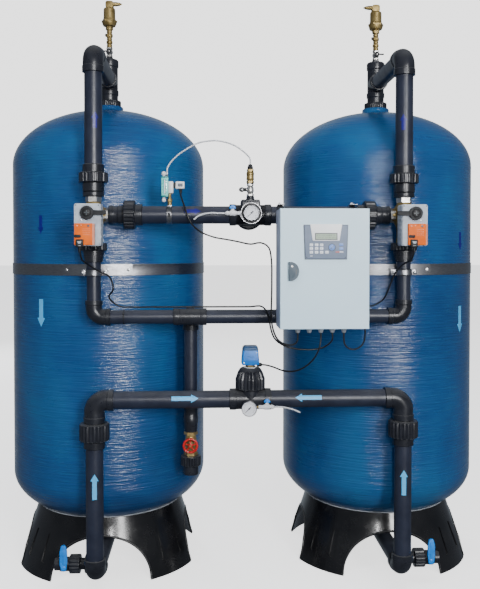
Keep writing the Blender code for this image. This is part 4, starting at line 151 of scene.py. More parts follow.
def softened(profile, radius, steps=3):
    """Round every inner corner of an open outline of two-number points."""
    result = [profile[0]]
    for before, corner, after in zip(profile, profile[1:], profile[2:]):
        a = Vector(before)
        b = Vector(corner)
        c = Vector(after)
        reach = min(radius, (a - b).length * 0.45, (c - b).length * 0.45)
        start = b + (a - b).normalized() * reach
        end = b + (c - b).normalized() * reach
        for step in range(steps + 1):
            t = step / steps
            point = start * (1 - t) ** 2 + b * 2 * t * (1 - t) + end * t ** 2
            result.append((point.x, point.y))
    result.append(profile[-1])
    return result


def joined(rings, closed=False, caps=True):
    """Faces between rings of point numbers.  A ring of one point is a tip."""
    pairs = list(zip(rings, rings[1:]))
    if closed:
        pairs.append((rings[-1], rings[0]))
    faces = []
    for low, high in pairs:
        count = max(len(low), len(high))
        for step in range(count if count > 1 else 0):
            after = (step + 1) % count
            corners = (low[step % len(low)], low[after % len(low)],
                       high[after % len(high)], high[step % len(high)])
            faces.append(tuple(dict.fromkeys(corners)))
    if caps and not closed:
        faces += [tuple(ring) for ring in (rings[0], rings[-1]) if len(ring) > 1]
    return faces


def lathe(profile, centre, axis="Z", sides=48, ribs=None, closed=False):
    """Turn (radius, height) points about an axis.  Ribs are (count, depth, low, high)."""
    direction = AXES[axis]
    first = cross_direction(direction)
    second = direction.cross(first)
    points = []
    rings = []
    for radius, height in profile:
        place = Vector(centre) + direction * height
        if radius < 1e-7:
            rings.append([len(points)])
            points.append(place)
            continue
        ring = []
        ribbed = ribs and ribs[2] <= height <= ribs[3]
        for index in range(sides):
            angle = 2 * math.pi * index / sides
            reach = radius
            if ribbed:
                wave = 0.5 + 0.5 * math.cos(ribs[0] * angle)
                reach -= ribs[1] * (1 - wave) ** 2
            ring.append(len(points))
            points.append(place + (first * math.cos(angle) + second * math.sin(angle)) * reach)
        rings.append(ring)
    return points, joined(rings, closed)


def turned(centre, axis, sides, *points, soft=0, steps=3, base=0, bore=0, way=1, ribs=None, closed=False):
    """A turned form from (radius, height) points in millimetres.

    The bore is added to the radius and the base to the height.  Soft rounds the inner corners.
    """
    profile = [(bore + radius / 1000, base + way * height / 1000) for radius, height in points]
    if soft:
        profile = softened(profile, soft / 1000, steps)
    return lathe(profile, centre, axis, sides, ribs, closed)


def stations(corners, bend, steps=12):
    """Points, directions and distances along straight runs that round bends join."""
    places = [Vector(corner) for corner in corners]
    here = places[0]
    found = [(here, (places[1] - here).normalized(), 0.0)]
    travelled = 0.0
    for before, corner, after in zip(places, places[1:], places[2:]):
        incoming = (corner - before).normalized()
        outgoing = (after - corner).normalized()
        start = corner - incoming * bend
        travelled += (start - here).length
        centre = start + outgoing * bend
        for step in range(steps + 1):
            angle = math.pi / 2 * step / steps
            point = centre - outgoing * bend * math.cos(angle) + incoming * bend * math.sin(angle)
            direction = incoming * math.cos(angle) + outgoing * math.sin(angle)
            found.append((point, direction.normalized(), travelled + bend * angle))
        travelled += bend * math.pi / 2
        here = found[-1][0]
    travelled += (places[-1] - here).length
    found.append((places[-1], found[-1][1], travelled))
    return found


def path_length(corners, bend):
    return stations(corners, bend)[-1][2]


def sleeve(corners, bend, profile, sides=48, steps=12):
    """A round bar along a bent path.  The profile is (distance, radius) points in order."""
    path = stations(corners, bend, steps)
    start = profile[0][0]
    end = profile[-1][0]
    marks = [mark[0] for mark in profile]
    for place in path:
        inside = start + 1e-5 < place[2] < end - 1e-5
        if inside and all(abs(place[2] - mark) > 1e-5 for mark in marks):
            marks.append(place[2])
    marks.sort()
    normals = []
    normal = cross_direction(path[0][1])
    for _, direction, _ in path:
        normal = (normal - direction * normal.dot(direction)).normalized()
        normals.append(normal)
    points = []
    rings = []
    for mark in marks:
        radius = profile[-1][1]
        for low, high in zip(profile, profile[1:]):
            if low[0] - 1e-9 <= mark <= high[0] + 1e-9:
                share = (mark - low[0]) / max(high[0] - low[0], 1e-9)
                radius = low[1] + (high[1] - low[1]) * share
                break
        for index in range(len(path) - 1):
            if path[index][2] - 1e-9 <= mark <= path[index + 1][2] + 1e-9:
                break
        span = max(path[index + 1][2] - path[index][2], 1e-9)
        share = (mark - path[index][2]) / span
        place = path[index][0].lerp(path[index + 1][0], share)
        direction = path[index][1].lerp(path[index + 1][1], share).normalized()
        side = normals[index].lerp(normals[index + 1], share)
        side = (side - direction * side.dot(direction)).normalized()
        other = direction.cross(side)
        ring = []
        for step in range(sides):
            angle = 2 * math.pi * step / sides
            ring.append(len(points))
            points.append(place + (side * math.cos(angle) + other * math.sin(angle)) * radius)
        rings.append(ring)
    return points, joined(rings)


def collar(start, end, radius, edge=0.003):
    """Profile of a plain fitting with softened ends, for sleeve()."""
    inner = radius - 1.6 * edge
    return [(start, inner), (start + edge * 0.3, radius - edge * 0.6), (start + edge, radius),
            (end - edge, radius), (end - edge * 0.3, radius - edge * 0.6), (end, inner)]


def two_sockets(low, high, radii, depth):
    """Profile of a fitting with the same socket at both ends, for sleeve()."""
    marks = list(zip((0.0, 0.001, depth, depth + 0.002), radii))
    return ([(low + mark, radius) for mark, radius in marks]
            + [(high - mark, radius) for mark, radius in reversed(marks)])


def listed(bm):
    bm.verts.index_update()
    points = [vertex.co.copy() for vertex in bm.verts]
    faces = [tuple(vertex.index for vertex in face.verts) for face in bm.faces]
    bm.free()
    return points, faces


def block(low, high, edge=0.0015, steps=2):
    """A box with rounded edges."""
    bm = bmesh.new()
    bmesh.ops.create_cube(bm, size=1.0)
    for vertex in bm.verts:
        for index in range(3):
            centre = (low[index] + high[index]) / 2
            vertex.co[index] = centre + vertex.co[index] * abs(high[index] - low[index])
    edge = min([edge] + [abs(h - l) * 0.45 for l, h in zip(low, high)])
    bmesh.ops.bevel(bm, geom=list(bm.edges), offset=edge, segments=steps, profile=0.5, affect="EDGES")
    return listed(bm)


def box(place, x, y, z, edge=1.5, steps=2):
    """A block round a place.  Its spans along x, y and z and its edge are in millimetres."""
    low, high = zip(*((at + a / 1000, at + b / 1000) for at, (a, b) in zip(place, (x, y, z))))
    return block(low, high, edge / 1000, steps)


def plate(outline, axis, start, end, edge=0.001, steps=2):
    """A flat outline drawn out along an axis, with rounded rims."""
    bm = bmesh.new()
    rings = []
    for level in (start, end):
        ring = []
        for a, b in outline:
            point = {"X": (level, a, b), "Y": (a, level, b), "Z": (a, b, level)}[axis]
            ring.append(bm.verts.new(point))
        rings.append(ring)
    caps = [bm.faces.new(rings[0]), bm.faces.new(list(reversed(rings[1])))]
    count = len(outline)
    for index in range(count):
        after = (index + 1) % count
        bm.faces.new((rings[0][index], rings[0][after], rings[1][after], rings[1][index]))
    if edge > 0:
        rims = {rim for cap in caps for rim in cap.edges}
        bmesh.ops.bevel(bm, geom=list(rims), offset=edge, segments=steps, profile=0.5, affect="EDGES")
    return listed(bm)


def placed(centre, *points, soft=0, steps=3, way=1):
    """Outline in the X-Z plane from points in millimetres round a centre."""
    outline = [(centre[0] + way * a / 1000, centre[2] + b / 1000) for a, b in points]
    return softened(outline, soft / 1000, steps) if soft else outline


def ball(centre, radius, sides=24):
    profile = []
    steps = sides // 2
    for step in range(steps + 1):
        angle = math.pi * step / steps
        profile.append((radius * math.sin(angle), -radius * math.cos(angle)))
    return lathe(profile, centre, "Z", sides)


def hexagon(centre, axis, start, end, across, chamfer=0.0012):
    """A hexagon nut given by its size across the flats."""
    corner = across / 2 / math.cos(math.pi / 6)
    sign = 1 if end > start else -1
    step = chamfer * sign
    return lathe([(corner * 0.9, start), (corner, start + step), (corner, end - step),
        (corner * 0.9, end)], centre, axis, 6)


def round_outline(centre_a, centre_b, half_a, half_b, radius, steps=6):
    """Outline of a rectangle with round corners."""
    outline = []
    for sa, sb, turn in ((1, 1, 0), (-1, 1, 90), (-1, -1, 180), (1, -1, 270)):
        for step in range(steps + 1):
            angle = math.radians(turn + 90 * step / steps)
            outline.append((centre_a + sa * (half_a - radius) + radius * math.cos(angle),
                            centre_b + sb * (half_b - radius) + radius * math.sin(angle)))
    return outline


def round_tube(points, radius, sides=10, closed=False):
    """A thin round tube through a list of points."""
    places = [Vector(point) for point in points]
    count = len(places)
    rings = []
    found = []
    normal = None
    for index, place in enumerate(places):
        before = places[(index - 1) % count] if closed or index > 0 else place
        after = places[(index + 1) % count] if closed or index < count - 1 else place
        direction = (after - before).normalized()
        if normal is None:
            normal = cross_direction(direction)
        normal = (normal - direction * normal.dot(direction)).normalized()
        other = direction.cross(normal)
        ring = []
        for step in range(sides):
            angle = 2 * math.pi * step / sides
            ring.append(len(found))
            found.append(place + (normal * math.cos(angle) + other * math.sin(angle)) * radius)
        rings.append(ring)
    return found, joined(rings, closed)


def wrapped_arrow(centre, axis, radius, facing, start, length, width, sign=1):
    """A flow arrow laid round a pipe.  It starts at a distance along the axis."""
    direction = AXES[axis]
    outward = Vector(facing).normalized()
    aside = direction.cross(outward)
    head = width * 0.85
    shaft = width * 0.27
    points = []
    faces = []
    for low, high, tail in ((-width / 2, -shaft, length - head), (-shaft, shaft, 0.0),
            (shaft, width / 2, length - head)):
        columns = 6
        strip = []
        for index in range(columns + 1):
            s = low + (high - low) * index / columns
            tip = length - abs(s) / (width / 2) * head
            angle = s / radius
            reach = (outward * math.cos(angle) + aside * math.sin(angle)) * radius
            pair = []
            for distance in (tail, max(tip, tail + 1e-5)):
                pair.append(len(points))
                points.append(Vector(centre) + reach + direction * (start + sign * distance))
            strip.append(pair)
        for first, second in zip(strip, strip[1:]):
            faces.append((first[0], second[0], second[1], first[1]))
    return points, faces


class Shape:
    """One piece, gathered from forms that each have a material."""

    def __init__(self, name):
        self.name = name
        self.points = []
        self.faces = []
        self.marks = []
        self.materials = []

    def add(self, material, *forms):
        if material not in self.materials:
            self.materials.append(material)
        mark = self.materials.index(material)
        for points, faces in forms:
            shift = len(self.points)
            self.points.extend(points)
            for face in faces:
                self.faces.append(tuple(index + shift for index in face))
                self.marks.append(mark)
        return self

    def finish(self, angle=34):
        mesh = bpy.data.meshes.new(self.name)
        mesh.from_pydata([tuple(point) for point in self.points], [], self.faces)
        for material in self.materials:
            mesh.materials.append(material)
        mesh.polygons.foreach_set("material_index", self.marks)
        bm = bmesh.new()
        bm.from_mesh(mesh)
        bmesh.ops.recalc_face_normals(bm, faces=bm.faces)
        bm.to_mesh(mesh)
        bm.free()
        mesh.shade_smooth()
        mesh.set_sharp_from_angle(angle=math.radians(angle))
        item = bpy.data.objects.new(self.name, mesh)
        bpy.context.scene.collection.objects.link(item)
        return item


def stand_for(shape, slot, *nodes, angle=34):
    """Finish a shape, let it ride with the nodes' body and show it in their place."""
    item = shape.finish(angle) if isinstance(shape, Shape) else shape
    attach(item, body_of(frame["nodes"][nodes[0]])[0])
    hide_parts(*nodes)


# Materials

def new_material(name):
    material = bpy.data.materials.new(name)
    material.use_nodes = True
    return material, material.node_tree.nodes, material.node_tree.links


def noise(nodes, links, coordinates, scale, stretch=(1, 1, 1), detail=4.0, roughness=0.5):
    mapping = nodes.new("ShaderNodeMapping")
    mapping.inputs["Scale"].default_value = stretch
    links.new(coordinates, mapping.inputs["Vector"])
    texture = nodes.new("ShaderNodeTexNoise")
    texture.inputs["Scale"].default_value = scale
    texture.inputs["Detail"].default_value = detail
    texture.inputs["Roughness"].default_value = roughness
    links.new(mapping.outputs["Vector"], texture.inputs["Vector"])
    return texture.outputs["Fac"]


def ramp(nodes, links, value, stops):
    """Colours by value.  Stops are (place, colour)."""
    node = nodes.new("ShaderNodeValToRGB")
    elements = node.color_ramp.elements
    while len(elements) < len(stops):
        elements.new(0.5)
    for element, (place, colour) in zip(elements, stops):
        element.position = place
        element.color = (*colour, 1.0)
    links.new(value, node.inputs["Fac"])
    return node.outputs["Color"]


def ranged(nodes, links, value, low, high, start=0.3, end=0.7):
    node = nodes.new("ShaderNodeMapRange")
    node.inputs["From Min"].default_value = start
    node.inputs["From Max"].default_value = end
    node.inputs["To Min"].default_value = low
    node.inputs["To Max"].default_value = high
    links.new(value, node.inputs["Value"])
    return node.outputs["Result"]


def blended(nodes, links, share, first, second):
    node = nodes.new("ShaderNodeMix")
    node.data_type = "RGBA"
    links.new(share, node.inputs[0])
    for socket, value in ((node.inputs[6], first), (node.inputs[7], second)):
        if isinstance(value, tuple):
            socket.default_value = (*value, 1.0)
        else:
            links.new(value, socket)
    return node.outputs[2]


def bumped(nodes, links, layers):
    """Chain of bump nodes.  Layers are (height, distance, strength)."""
    normal = None
    for height, distance, strength in layers:
        node = nodes.new("ShaderNodeBump")
        node.inputs["Distance"].default_value = distance
        node.inputs["Strength"].default_value = strength
        links.new(height, node.inputs["Height"])
        if normal is not None:
            links.new(normal, node.inputs["Normal"])
        normal = node.outputs["Normal"]
    return normal


def moulded(name, dark, light, rough, scale=18.0, stretch=(1, 1, 1), metallic=0.0, grain=220.0,
        relief=0.15, coat=0.0, wear=None, dust=0.0):
    """Plastic, paint or metal with colour variation, fine grain, wear and a little dust."""
    material, nodes, links = new_material(name)
    shader = nodes["Principled BSDF"]
    place = nodes.new("ShaderNodeTexCoord").outputs["Object"]
    broad = noise(nodes, links, place, scale, stretch, 5.0, 0.6)
    colour = ramp(nodes, links, broad, [(0.3, dark), (0.7, light)])
    if wear:
        scratches = noise(nodes, links, place, scale * 9, (1, 1, 0.25), 8.0, 0.7)
        worn = ranged(nodes, links, scratches, 0.0, 0.75, 0.62, 0.74)
        colour = blended(nodes, links, worn, colour, wear)
    if dust > 0:
        geometry = nodes.new("ShaderNodeNewGeometry")
        split = nodes.new("ShaderNodeSeparateXYZ")
        links.new(geometry.outputs["Normal"], split.inputs["Vector"])
        patch = noise(nodes, links, place, 35.0, (1, 1, 1), 6.0, 0.7)
        lying = ranged(nodes, links, split.outputs["Z"], 0.0, dust, 0.35, 1.0)
        product = nodes.new("ShaderNodeMath")
        product.operation = "MULTIPLY"
        links.new(lying, product.inputs[0])
        links.new(patch, product.inputs[1])
        colour = blended(nodes, links, product.outputs[0], colour, (0.42, 0.42, 0.4))
    links.new(colour, shader.inputs["Base Color"])
    spread = noise(nodes, links, place, scale * 2.3, stretch, 6.0, 0.65)
    links.new(ranged(nodes, links, spread, rough[0], rough[1]), shader.inputs["Roughness"])
    shader.inputs["Metallic"].default_value = metallic
    shader.inputs["Coat Weight"].default_value = coat
    shader.inputs["Coat Roughness"].default_value = 0.12
    fine = noise(nodes, links, place, grain, stretch, 3.0, 0.5)
    wavy = noise(nodes, links, place, scale * 0.8, (1, 1, 1), 3.0, 0.5)
    normal = bumped(nodes, links, [(wavy, 0.0016, 0.35), (fine, 0.0004, relief)])
    links.new(normal, shader.inputs["Normal"])
    return material


def wound_resin(name):
    """Blue gelcoat over wound glass fibre: hoop ripples, crossing strands and a clear gloss."""
    material, nodes, links = new_material(name)
    shader = nodes["Principled BSDF"]
    place = nodes.new("ShaderNodeTexCoord").outputs["Object"]
    cloud = noise(nodes, links, place, 2.2, (1, 1, 0.6), 4.0, 0.55)
    colour = ramp(nodes, links, cloud, [(0.28, (0.004, 0.040, 0.145)), (0.52, (0.006, 0.068, 0.215)),
                                        (0.75, (0.012, 0.128, 0.300))])
    strands = noise(nodes, links, place, 9.0, (1.2, 1.2, 26.0), 6.0, 0.62)
    thread = ranged(nodes, links, strands, 0.0, 0.30, 0.50, 0.72)
    colour = blended(nodes, links, thread, colour, (0.022, 0.185, 0.350))
    flecks = noise(nodes, links, place, 55.0, (1.0, 1.0, 3.0), 5.0, 0.7)
    fleck = ranged(nodes, links, flecks, 0.0, 0.55, 0.66, 0.80)
    colour = blended(nodes, links, fleck, colour, (0.05, 0.24, 0.33))
    links.new(colour, shader.inputs["Base Color"])
    spread = noise(nodes, links, place, 6.0, (1, 1, 3), 5.0, 0.6)
    links.new(ranged(nodes, links, spread, 0.24, 0.42), shader.inputs["Roughness"])
    shader.inputs["Specular IOR Level"].default_value = 0.25
    shader.inputs["Coat Weight"].default_value = 0.8
    shader.inputs["Coat Roughness"].default_value = 0.09
    hoops = noise(nodes, links, place, 5.0, (1.4, 1.4, 34.0), 3.0, 0.55)
    fine = noise(nodes, links, place, 26.0, (1.0, 1.0, 9.0), 5.0, 0.6)
    swell = noise(nodes, links, place, 3.0, (1, 1, 1.6), 2.0, 0.5)
    normal = bumped(nodes, links, [(swell, 0.012, 0.35), (hoops, 0.0042, 0.75), (fine, 0.0009, 0.40)])
    links.new(normal, shader.inputs["Normal"])
    clear = bumped(nodes, links, [(swell, 0.012, 0.35), (hoops, 0.0044, 0.75)])
    links.new(clear, shader.inputs["Coat Normal"])
    return material


def granular(name):
    """Filter sand: grains of several tints."""
    material, nodes, links = new_material(name)
    shader = nodes["Principled BSDF"]
    place = nodes.new("ShaderNodeTexCoord").outputs["Object"]
    cells = nodes.new("ShaderNodeTexVoronoi")
    cells.inputs["Scale"].default_value = 420.0
    links.new(place, cells.inputs["Vector"])
    colour = ramp(nodes, links, cells.outputs["Color"], [(0.2, (0.16, 0.12, 0.08)),
        (0.8, (0.42, 0.34, 0.24))])
    links.new(colour, shader.inputs["Base Color"])
    normal = bumped(nodes, links, [(cells.outputs["Distance"], 0.002, 0.8)])
    links.new(normal, shader.inputs["Normal"])
    shader.inputs["Roughness"].default_value = 0.9
    return material


def brushed(name, dark, light, rough, direction, metallic=1.0, scale=60.0):
    """Drawn or brushed metal with lines along a direction."""
    return moulded(name, dark, light, rough, scale=scale, stretch=direction, metallic=metallic,
        grain=500.0, relief=0.1)


resin = wound_resin("tank_gelcoat")
moulding = moulded("base_gloss_black", (0.004, 0.004, 0.005), (0.012, 0.012, 0.013), (0.14, 0.34),
    scale=7.0, relief=0.08, coat=0.35, dust=0.22)
moulding_rim = moulded("base_rim_black", (0.008, 0.008, 0.009), (0.018, 0.018, 0.02), (0.22, 0.42),
    scale=16.0, relief=0.2, dust=0.3)
filter_media = granular("filter_media_grains")
pipe_pvc = moulded("pipe_pvc", (0.013, 0.016, 0.03), (0.024, 0.029, 0.05), (0.3, 0.44), scale=14.0,
    relief=0.12, wear=(0.06, 0.065, 0.09), dust=0.2)
fitting_pvc = moulded("fitting_pvc", (0.009, 0.01, 0.014), (0.02, 0.022, 0.03), (0.24, 0.38), scale=22.0,
    relief=0.2, wear=(0.05, 0.05, 0.065), dust=0.22)
rubber = moulded("black_rubber", (0.006, 0.006, 0.007), (0.016, 0.016, 0.018), (0.45, 0.65), scale=40.0,
    relief=0.3)
black_plastic = moulded("black_abs", (0.004, 0.005, 0.007), (0.012, 0.014, 0.017), (0.55, 0.7),
    scale=30.0, relief=0.3, dust=0.15)
cable_jacket = moulded("cable_jacket", (0.005, 0.005, 0.006), (0.014, 0.014, 0.016), (0.32, 0.48),
    scale=60.0, relief=0.2)
brass = moulded("worn_brass", (0.2, 0.14, 0.045), (0.43, 0.32, 0.13), (0.34, 0.52), scale=38.0,
    metallic=0.72, relief=0.2, wear=(0.16, 0.1, 0.05))
bright_brass = moulded("bright_brass", (0.34, 0.23, 0.08), (0.58, 0.42, 0.18), (0.3, 0.46), scale=34.0,
    metallic=0.75, relief=0.15)
nickel = moulded("nickel_plate", (0.34, 0.335, 0.32), (0.62, 0.61, 0.58), (0.26, 0.42), scale=45.0,
    metallic=0.8, relief=0.1)
stainless = brushed("stainless_strip", (0.24, 0.24, 0.25), (0.46, 0.46, 0.48), (0.28, 0.42), (1, 1, 14))
zinc = moulded("zinc_screw", (0.36, 0.36, 0.37), (0.74, 0.74, 0.76), (0.2, 0.42), scale=90.0,
    metallic=1.0, relief=0.2)
actuator_grey = moulded("actuator_shell", (0.36, 0.41, 0.47), (0.52, 0.57, 0.63), (0.42, 0.58),
    scale=46.0, grain=900.0, relief=0.35, wear=(0.24, 0.27, 0.31))
cover_orange = moulded("orange_cover", (0.72, 0.11, 0.004), (0.9, 0.17, 0.008), (0.46, 0.58), scale=26.0,
    relief=0.15)
cover_edge = moulded("orange_cover_edge", (0.78, 0.28, 0.17), (0.92, 0.4, 0.27), (0.26, 0.38), scale=60.0,
    relief=0.1)
handle_blue = moulded("blue_handle", (0.003, 0.17, 0.62), (0.01, 0.27, 0.84), (0.24, 0.4), scale=40.0,
    relief=0.15)
switch_blue = moulded("blue_switch_housing", (0.003, 0.125, 0.5), (0.009, 0.22, 0.72), (0.26, 0.42),
    scale=20.0, relief=0.2)
switch_lid = moulded("blue_switch_lid", (0.015, 0.06, 0.16), (0.045, 0.13, 0.28), (0.3, 0.48), scale=30.0,
    relief=0.2, dust=0.3)
wheel_red = moulded("wheel_enamel", (0.36, 0.004, 0.004), (0.68, 0.018, 0.014), (0.18, 0.34), scale=50.0,
    coat=0.4, relief=0.2)
white_plastic = moulded("white_abs", (0.66, 0.67, 0.69), (0.84, 0.85, 0.86), (0.3, 0.46), scale=30.0,
    relief=0.12)
cabinet_paint = moulded("cabinet_enamel", (0.6, 0.83, 0.97), (0.65, 0.86, 0.985), (0.34, 0.46), scale=5.0,
    grain=1500.0, relief=0.18)
# Darker copy of the cabinet enamel for the sides, bottom and back: painted shade, the cabinet is one
# paint
shaded_cabinet_side = moulded("side_enamel_painted_shade", (0.48, 0.54, 0.7), (0.56, 0.62, 0.78), (0.36, 0.48),
    scale=5.0, grain=1500.0, relief=0.18)
gland_grey = moulded("gland_nylon", (0.34, 0.37, 0.41), (0.52, 0.55, 0.59), (0.36, 0.5), scale=60.0,
    relief=0.2)
controller_shell = moulded("controller_shell", (0.15, 0.2, 0.29), (0.19, 0.24, 0.335), (0.4, 0.52),
    scale=24.0, grain=1100.0, relief=0.3)
controller_edge = moulded("controller_edge", (0.07, 0.085, 0.115), (0.11, 0.13, 0.165), (0.38, 0.5),
    scale=40.0, relief=0.2)
display_hood = moulded("display_hood", (0.9, 0.92, 0.96), (0.97, 0.98, 0.99), (0.3, 0.42), scale=30.0,
    relief=0.1)
display_frame = moulded("display_frame", (0.06, 0.075, 0.085), (0.1, 0.12, 0.13), (0.3, 0.4), scale=50.0,
    relief=0.1)
key_white = moulded("key_white", (0.74, 0.79, 0.88), (0.88, 0.91, 0.96), (0.3, 0.42), scale=90.0,
    relief=0.1)
key_blue = moulded("key_blue", (0.1, 0.22, 0.58), (0.22, 0.37, 0.76), (0.3, 0.42), scale=90.0, relief=0.1)
key_red = moulded("key_red", (0.50, 0.14, 0.13), (0.66, 0.22, 0.20), (0.32, 0.44), scale=90.0, relief=0.1)
lock_grey = moulded("lock_grey", (0.065, 0.095, 0.125), (0.095, 0.13, 0.16), (0.5, 0.62), scale=40.0,
    relief=0.2)
flowmeter_cyan = moulded("flowmeter_acrylic", (0.1, 0.56, 0.52), (0.24, 0.78, 0.7), (0.1, 0.2),
    scale=60.0, relief=0.05, coat=0.5)
flowmeter_scale = moulded("flowmeter_scale", (0.01, 0.2, 0.2), (0.03, 0.32, 0.3), (0.2, 0.3), scale=140.0,
    relief=0.05)
tube_clear = moulded("tube_polyamide", (0.5, 0.52, 0.56), (0.7, 0.72, 0.75), (0.18, 0.3), scale=50.0,
    relief=0.05, coat=0.3)
dial_white = moulded("dial_face", (0.74, 0.75, 0.8), (0.84, 0.85, 0.9), (0.36, 0.48), scale=60.0,
    relief=0.04)
dial_ink = moulded("dial_ink", (0.01, 0.01, 0.02), (0.03, 0.03, 0.05), (0.4, 0.5), scale=90.0,
    relief=0.04)
arrow_pale = moulded("arrow_pale", (0.07, 0.44, 0.86), (0.095, 0.51, 0.92), (0.3, 0.42), scale=60.0,
    relief=0.05)
arrow_dark = moulded("arrow_dark", (0.005, 0.005, 0.15), (0.01, 0.009, 0.22), (0.3, 0.42), scale=60.0,
    relief=0.05)
screen_green = moulded("screen_green", (0.335, 0.44, 0.325), (0.4, 0.5, 0.385), (0.14, 0.24), scale=30.0,
    relief=0.02)
cover_orange.node_tree.nodes["Principled BSDF"].inputs["Specular IOR Level"].default_value = 0.2
floor_paint = moulded("studio_floor", (0.8, 0.8, 0.8), (0.84, 0.84, 0.84), (0.6, 0.75), scale=1.5,
    relief=0.02)
floor_shader = floor_paint.node_tree.nodes["Principled BSDF"]
floor_shader.inputs["Emission Color"].default_value = (1.0, 1.0, 1.0, 1.0)
floor_shader.inputs["Emission Strength"].default_value = 1.65


# Camera, floor and light

def make_camera():
    data = bpy.data.cameras.new("camera")
    data.sensor_fit = "AUTO"
    data.sensor_width = SENSOR
    data.lens = FOCAL_PIXELS / PHOTO_HEIGHT * SENSOR
    data.shift_y = -OPTICAL_AXIS_RISE / PHOTO_HEIGHT
    data.clip_end = 120.0
    item = bpy.data.objects.new("camera", data)
    item.location = CAMERA_PLACE
    item.rotation_euler = (math.radians(90 - CAMERA_PITCH), 0.0, math.radians(-CAMERA_YAW))
    bpy.context.scene.collection.objects.link(item)
    bpy.context.scene.camera = item


def area_light(name, place, target, width, height, power, colour=(1.0, 1.0, 1.0), mirrored=True):
    data = bpy.data.lights.new(name, "AREA")
    data.shape = "RECTANGLE"
    data.size = width
    data.size_y = height
    data.energy = power
    data.color = colour
    item = bpy.data.objects.new(name, data)
    item.location = place
    direction = Vector(target) - Vector(place)
    item.rotation_euler = direction.to_track_quat("-Z", "Y").to_euler()
    item.visible_glossy = mirrored
    bpy.context.scene.collection.objects.link(item)


def make_world():
    """Pale backdrop for the camera.  The room that lights the object is dim, with a paler rear wall."""
    world = bpy.data.worlds.new("studio")
    bpy.context.scene.world = world
    world.use_nodes = True
    nodes = world.node_tree.nodes
    links = world.node_tree.links
    background = nodes["Background"]
    place = nodes.new("ShaderNodeTexCoord").outputs["Generated"]
    split = nodes.new("ShaderNodeSeparateXYZ")
    links.new(place, split.inputs["Vector"])
    rear = ranged(nodes, links, split.outputs["Y"], 0.0, 1.0, 0.7, 0.92)
    room = blended(nodes, links, rear, (0.05, 0.056, 0.066), (0.13, 0.147, 0.165))
    seen = nodes.new("ShaderNodeLightPath").outputs["Is Camera Ray"]
    links.new(blended(nodes, links, seen, room, (1.0, 1.0, 1.0)), background.inputs["Color"])
    background.inputs["Strength"].default_value = 2.4


def make_floor():
    half = 60.0
    steps = 28
    points = []
    faces = []
    for row in range(steps + 1):
        for column in range(steps + 1):
            points.append((-half + 2 * half * column / steps, -half + 2 * half * row / steps, 0.0))
    for row in range(steps):
        for column in range(steps):
            first = row * (steps + 1) + column
            faces.append((first, first + 1, first + steps + 2, first + steps + 1))
    floor = Shape("studio_floor").add(floor_paint, ([Vector(p) for p in points], faces)).finish()
    floor.visible_diffuse = False
    floor.visible_glossy = False


make_camera()
make_world()
make_floor()
area_light("key", (2.5, -7.4, 2.5), (0.0, 0.0, 1.1), 1.3, 3.0, 400.0)
area_light("flash", (0.0, -4.0, 1.9), (0.0, 0.0, 1.2), 0.10, 1.3, 52.0)
area_light("fill_left", (-4.4, -4.2, 3.0), (-0.3, 0.0, 1.1), 1.4, 3.0, 70.0, (0.93, 0.96, 1.0), False)
area_light("rear", (-3.4, 6.4, 3.2), (0.0, 0.0, 1.0), 1.6, 2.6, 180.0, (0.95, 0.97, 1.0), False)
area_light("overhead", (0.3, -1.6, 5.2), (0.0, 0.0, 0.8), 4.0, 2.4, 110.0, (1.0, 1.0, 1.0), False)


# Cords

def smooth_route(points, spacing):
    """Even points on a smooth curve through the route's own points."""
    route = [Vector(point) for point in points]
    padded = [route[0] * 2 - route[1]] + route + [route[-1] * 2 - route[-2]]
    dense = []
    steps = 24
    for index in range(1, len(padded) - 2):
        a, b, c, d = padded[index - 1:index + 3]
        knots = [0.0]
        for first, second in ((a, b), (b, c), (c, d)):
            knots.append(knots[-1] + max((second - first).length, 1e-6) ** 0.5)
        for step in range(steps):
            t = knots[1] + (knots[2] - knots[1]) * step / steps
            ab = a.lerp(b, (t - knots[0]) / (knots[1] - knots[0]))
            bc = b.lerp(c, (t - knots[1]) / (knots[2] - knots[1]))
            cd = c.lerp(d, (t - knots[2]) / (knots[3] - knots[2]))
            abc = ab.lerp(bc, (t - knots[0]) / (knots[2] - knots[0]))
            bcd = bc.lerp(cd, (t - knots[1]) / (knots[3] - knots[1]))
            dense.append(abc.lerp(bcd, (t - knots[1]) / (knots[2] - knots[1])))
    dense.append(route[-1])
    lengths = [0.0]
    for first, second in zip(dense, dense[1:]):
        lengths.append(lengths[-1] + (second - first).length)
    count = max(3, round(lengths[-1] / spacing) + 1)
    even = []
    cursor = 0
    for index in range(count):
        target = lengths[-1] * index / (count - 1)
        while cursor < len(lengths) - 2 and lengths[cursor + 1] < target:
            cursor += 1
        span = lengths[cursor + 1] - lengths[cursor]
        share = 0.0 if span < 1e-12 else (target - lengths[cursor]) / span
        even.append(dense[cursor].lerp(dense[cursor + 1], min(1.0, share)))
    return even, lengths[-1]


def front(x, forward, z):
    """A point given by its distance in front of the pipe plane."""
    return (x, PIPE_Y - forward, z)


def lay_cord(node, points, radius, material, slot):
    """A round cord that takes the place of its node."""
    route, length = smooth_route([front(*point) for point in points], 4 * radius)
    curve = bpy.data.curves.new(node + "_line", "CURVE")
    curve.dimensions = "3D"
    curve.bevel_depth = radius
    curve.bevel_resolution = 4
    curve.use_fill_caps = True
    spline = curve.splines.new("POLY")
    spline.points.add(len(route) - 1)
    for point, place in zip(spline.points, route):
        point.co = (*place, 1.0)
    spline.use_smooth = True
    curve.materials.append(material)
    item = bpy.data.objects.new(node + "_piece", curve)
    bpy.context.scene.collection.objects.link(item)
    stand_for(item, slot, node)


def lay_cable(node, points):
    lay_cord(node, points, CABLE_RADIUS, cable_jacket, "cord_sheath")


